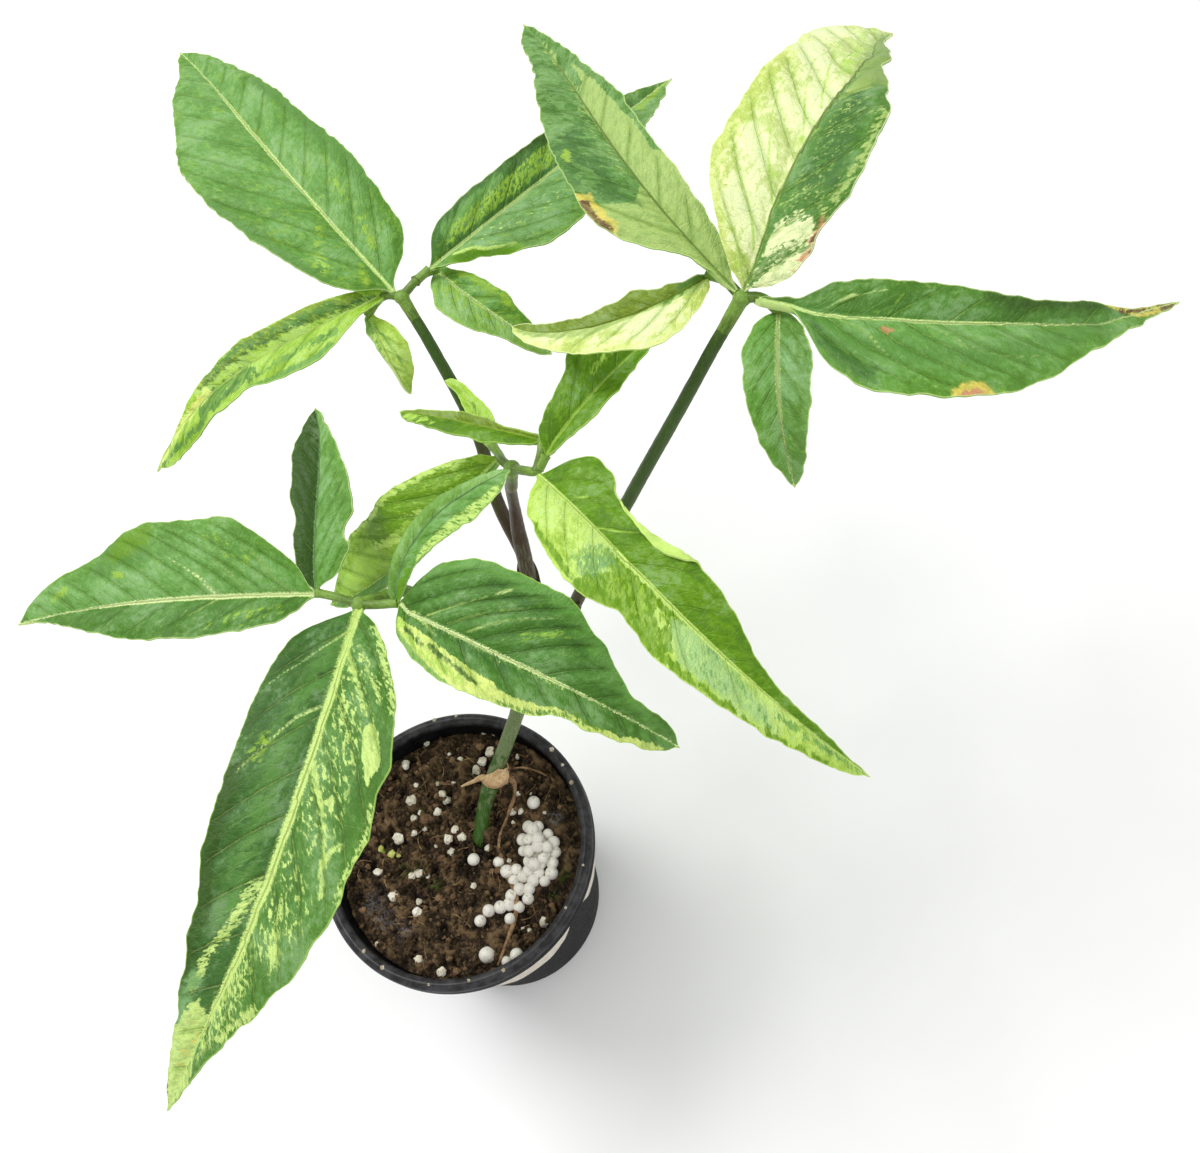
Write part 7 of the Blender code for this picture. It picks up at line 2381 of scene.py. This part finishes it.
@dataclass
class Studio:
    """The camera at the photograph's view, a pale floor, a white sky and soft lamps."""

    floor_size: float = 8.0
    floor_tones: Spot = (0.84, 0.88)
    sky_strength: float = 0.76
    aim: Point = (0.05, 0.05, 0.18)
    lamps: tuple[tuple[str, Point, float, float], ...] = (
        ("key", (-0.5, 0.7, 1.5), 0.9, 18.0), ("fill", (1.0, -0.8, 1.2), 1.2, 5.0))

    def build(self) -> None:
        """Sets up the whole studio."""
        self.set_camera()
        self.lay_floor()
        self.hang_lights()
        bpy.context.scene.view_settings.view_transform = "Standard"

    def set_camera(self) -> None:
        """Places the camera."""
        data = bpy.data.cameras.new("camera")
        data.lens = LENS
        data.sensor_width = LENS
        data.clip_end = 20.0
        camera = bpy.data.objects.new("camera", data)
        bpy.context.scene.collection.objects.link(camera)
        right, up, back = Vector(CAMERA_RIGHT), Vector(CAMERA_UP), Vector(CAMERA_BACK)
        turn = Matrix((right, up, back)).transposed().to_4x4()
        camera.matrix_world = Matrix.Translation(Vector(CAMERA_PLACE) * MM) @ turn
        bpy.context.scene.camera = camera

    def lay_floor(self) -> None:
        """A plain pale floor."""
        deselect()
        bpy.ops.mesh.primitive_plane_add(size=self.floor_size, location=(0.0, 0.0, 0.0))
        floor = added("floor")
        settle(floor)
        material, wire, shader = new_material("floor_paper")
        grain = wire.noise(wire.spot(), 0.02, 2.0)
        dim, bright = ((tone, tone, tone, 1.0) for tone in self.floor_tones)
        wire.feed(shader.inputs["Base Color"], wire.blend(grain, dim, bright))
        shader.inputs["Roughness"].default_value = 0.9
        floor.data.materials.append(material)

    def hang_lights(self) -> None:
        """A white sky, a wide soft lamp above, and a weaker one from the side."""
        world = bpy.data.worlds.new("sky")
        bpy.context.scene.world = world
        world.use_nodes = True
        sky = world.node_tree.nodes["Background"]
        sky.inputs["Color"].default_value = (1.0, 1.0, 1.0, 1.0)
        sky.inputs["Strength"].default_value = self.sky_strength
        for name, place, size, power in self.lamps:
            data = bpy.data.lights.new(name, "AREA")
            data.shape = "DISK"
            data.size = size
            data.energy = power
            lamp = bpy.data.objects.new(name, data)
            bpy.context.scene.collection.objects.link(lamp)
            turn = (Vector(self.aim) - Vector(place)).to_track_quat("-Z", "Y").to_matrix().to_4x4()
            lamp.matrix_world = Matrix.Translation(Vector(place)) @ turn


def main() -> None:
    """Builds the studio and then the plant, from the pot up."""
    logging.basicConfig(level=logging.INFO, format="%(name)s %(message)s")
    patterns = Patterns()
    Studio().build()
    pot = NurseryPot(patterns)
    pot.build()
    PaperBand(patterns, pot).build()
    soil = SoilBed(patterns, pot)
    soil.build()
    FeedBeads(patterns, soil).build()
    cane = Cane(patterns)
    cane.build()
    DrySheath(patterns, cane).build()
    DryFibre(patterns, soil).build()
    knot = StemFinish("knot_skin", (88, 118, 36), (116, 152, 58), (164, 190, 104))
    leaves = (
        CompoundLeaf("leaf_back", (60.2, 128.0, 218.0), (61.4, 122.0, 212.5), (
            ((60.2, 128.0, 218.0), (66.0, 130.5, 219.5), (71.5, 131.5, 221.0)),
            ((66.0, 130.5, 219.5), (70.0, 133.0, 218.5), (73.2, 134.0, 217.0)),
            ((60.2, 128.0, 218.0), (56.0, 131.5, 217.5), (52.0, 132.5, 215.5), (47.5, 132.0, 212.0)),
        ), BACK_BLADES, patterns, knot),
        CompoundLeaf("leaf_right", (144.8, 48.2, 255.0), (137.8, 46.2, 247.5), (
            ((144.8, 48.2, 255.0), (149.0, 45.5, 255.5), (152.0, 42.0, 252.5)),
            ((144.8, 48.2, 255.0), (143.0, 55.0, 255.5), (140.5, 60.5, 253.5)),
        ), RIGHT_BLADES, patterns, knot),
        CompoundLeaf("leaf_centre", (72.8, 55.0, 214.0), (71.3, 57.4, 205.5), (
            ((72.8, 55.0, 214.0), (76.0, 49.5, 218.5), (79.5, 45.8, 221.5), (83.3, 47.8, 224.0)),
            ((79.5, 45.8, 221.5), (82.5, 49.5, 223.8), (84.0, 53.0, 224.0)),
            ((72.8, 55.0, 214.0), (71.0, 60.5, 211.0), (70.5, 65.5, 207.5), (69.5, 70.5, 206.0)),
        ), CENTRE_BLADES, patterns, knot),
        CompoundLeaf("leaf_front", (15.0, 44.0, 194.5), (21.3, 45.6, 190.8), (
            ((15.0, 44.0, 194.5), (9.0, 49.0, 195.4), (4.0, 52.5, 196.0)),
            ((15.0, 44.0, 194.5), (20.5, 41.0, 195.2), (26.5, 38.5, 196.0)),
        ), FRONT_BLADES, patterns, knot),
    )
    dark = StemFinish("stalk_right_skin", (72, 66, 40), (56, 84, 18), (86, 116, 46))
    brown = StemFinish("stalk_centre_skin", (72, 54, 42), (96, 96, 56), (112, 100, 72), (0.35, 0.9))
    back = StemFinish("stalk_back_skin", (66, 46, 38), (56, 88, 16), (86, 98, 50), (0.2, 0.75))
    green = StemFinish("stalk_front_skin", (80, 104, 36), (98, 134, 44), (140, 166, 84))
    stalks = (
        ("stalk_back", leaves[0], 0.86, (0.1, 1.0, 0.0), 12.0,
         ((62.4, 77.5, 167.0), (65.0, 93.6, 180.0), (64.4, 104.5, 191.0)), back, None),
        ("stalk_right", leaves[1], 0.56, (0.85, -0.5, 0.0), 12.0,
         ((68.0, 42.0, 136.0), (87.5, 44.2, 168.0), (105.0, 44.5, 197.0), (122.3, 44.0, 226.0)), dark,
         (73.9, 40.3, 146.5)),
        ("stalk_centre", leaves[2], 1.0, (0.0, 0.0, 0.0), 0.0,
         ((67.5, 65.0, 178.0), (69.5, 62.5, 194.0)), brown, None),
        ("stalk_front", leaves[3], 0.69, (-0.6, 0.8, 0.0), 8.0,
         ((41.0, 49.0, 158.0), (31.0, 48.5, 177.0)), green, None),
    )
    for node, leaf, share, side, clasp, route, skin, bud in stalks:
        LeafStalk(node, cane, share, side, clasp, route, leaf.stalk_end, leaf.hub, skin, bud=bud).build()
    for leaf in leaves:
        leaf.build()


if __name__ == "__main__":
    main()
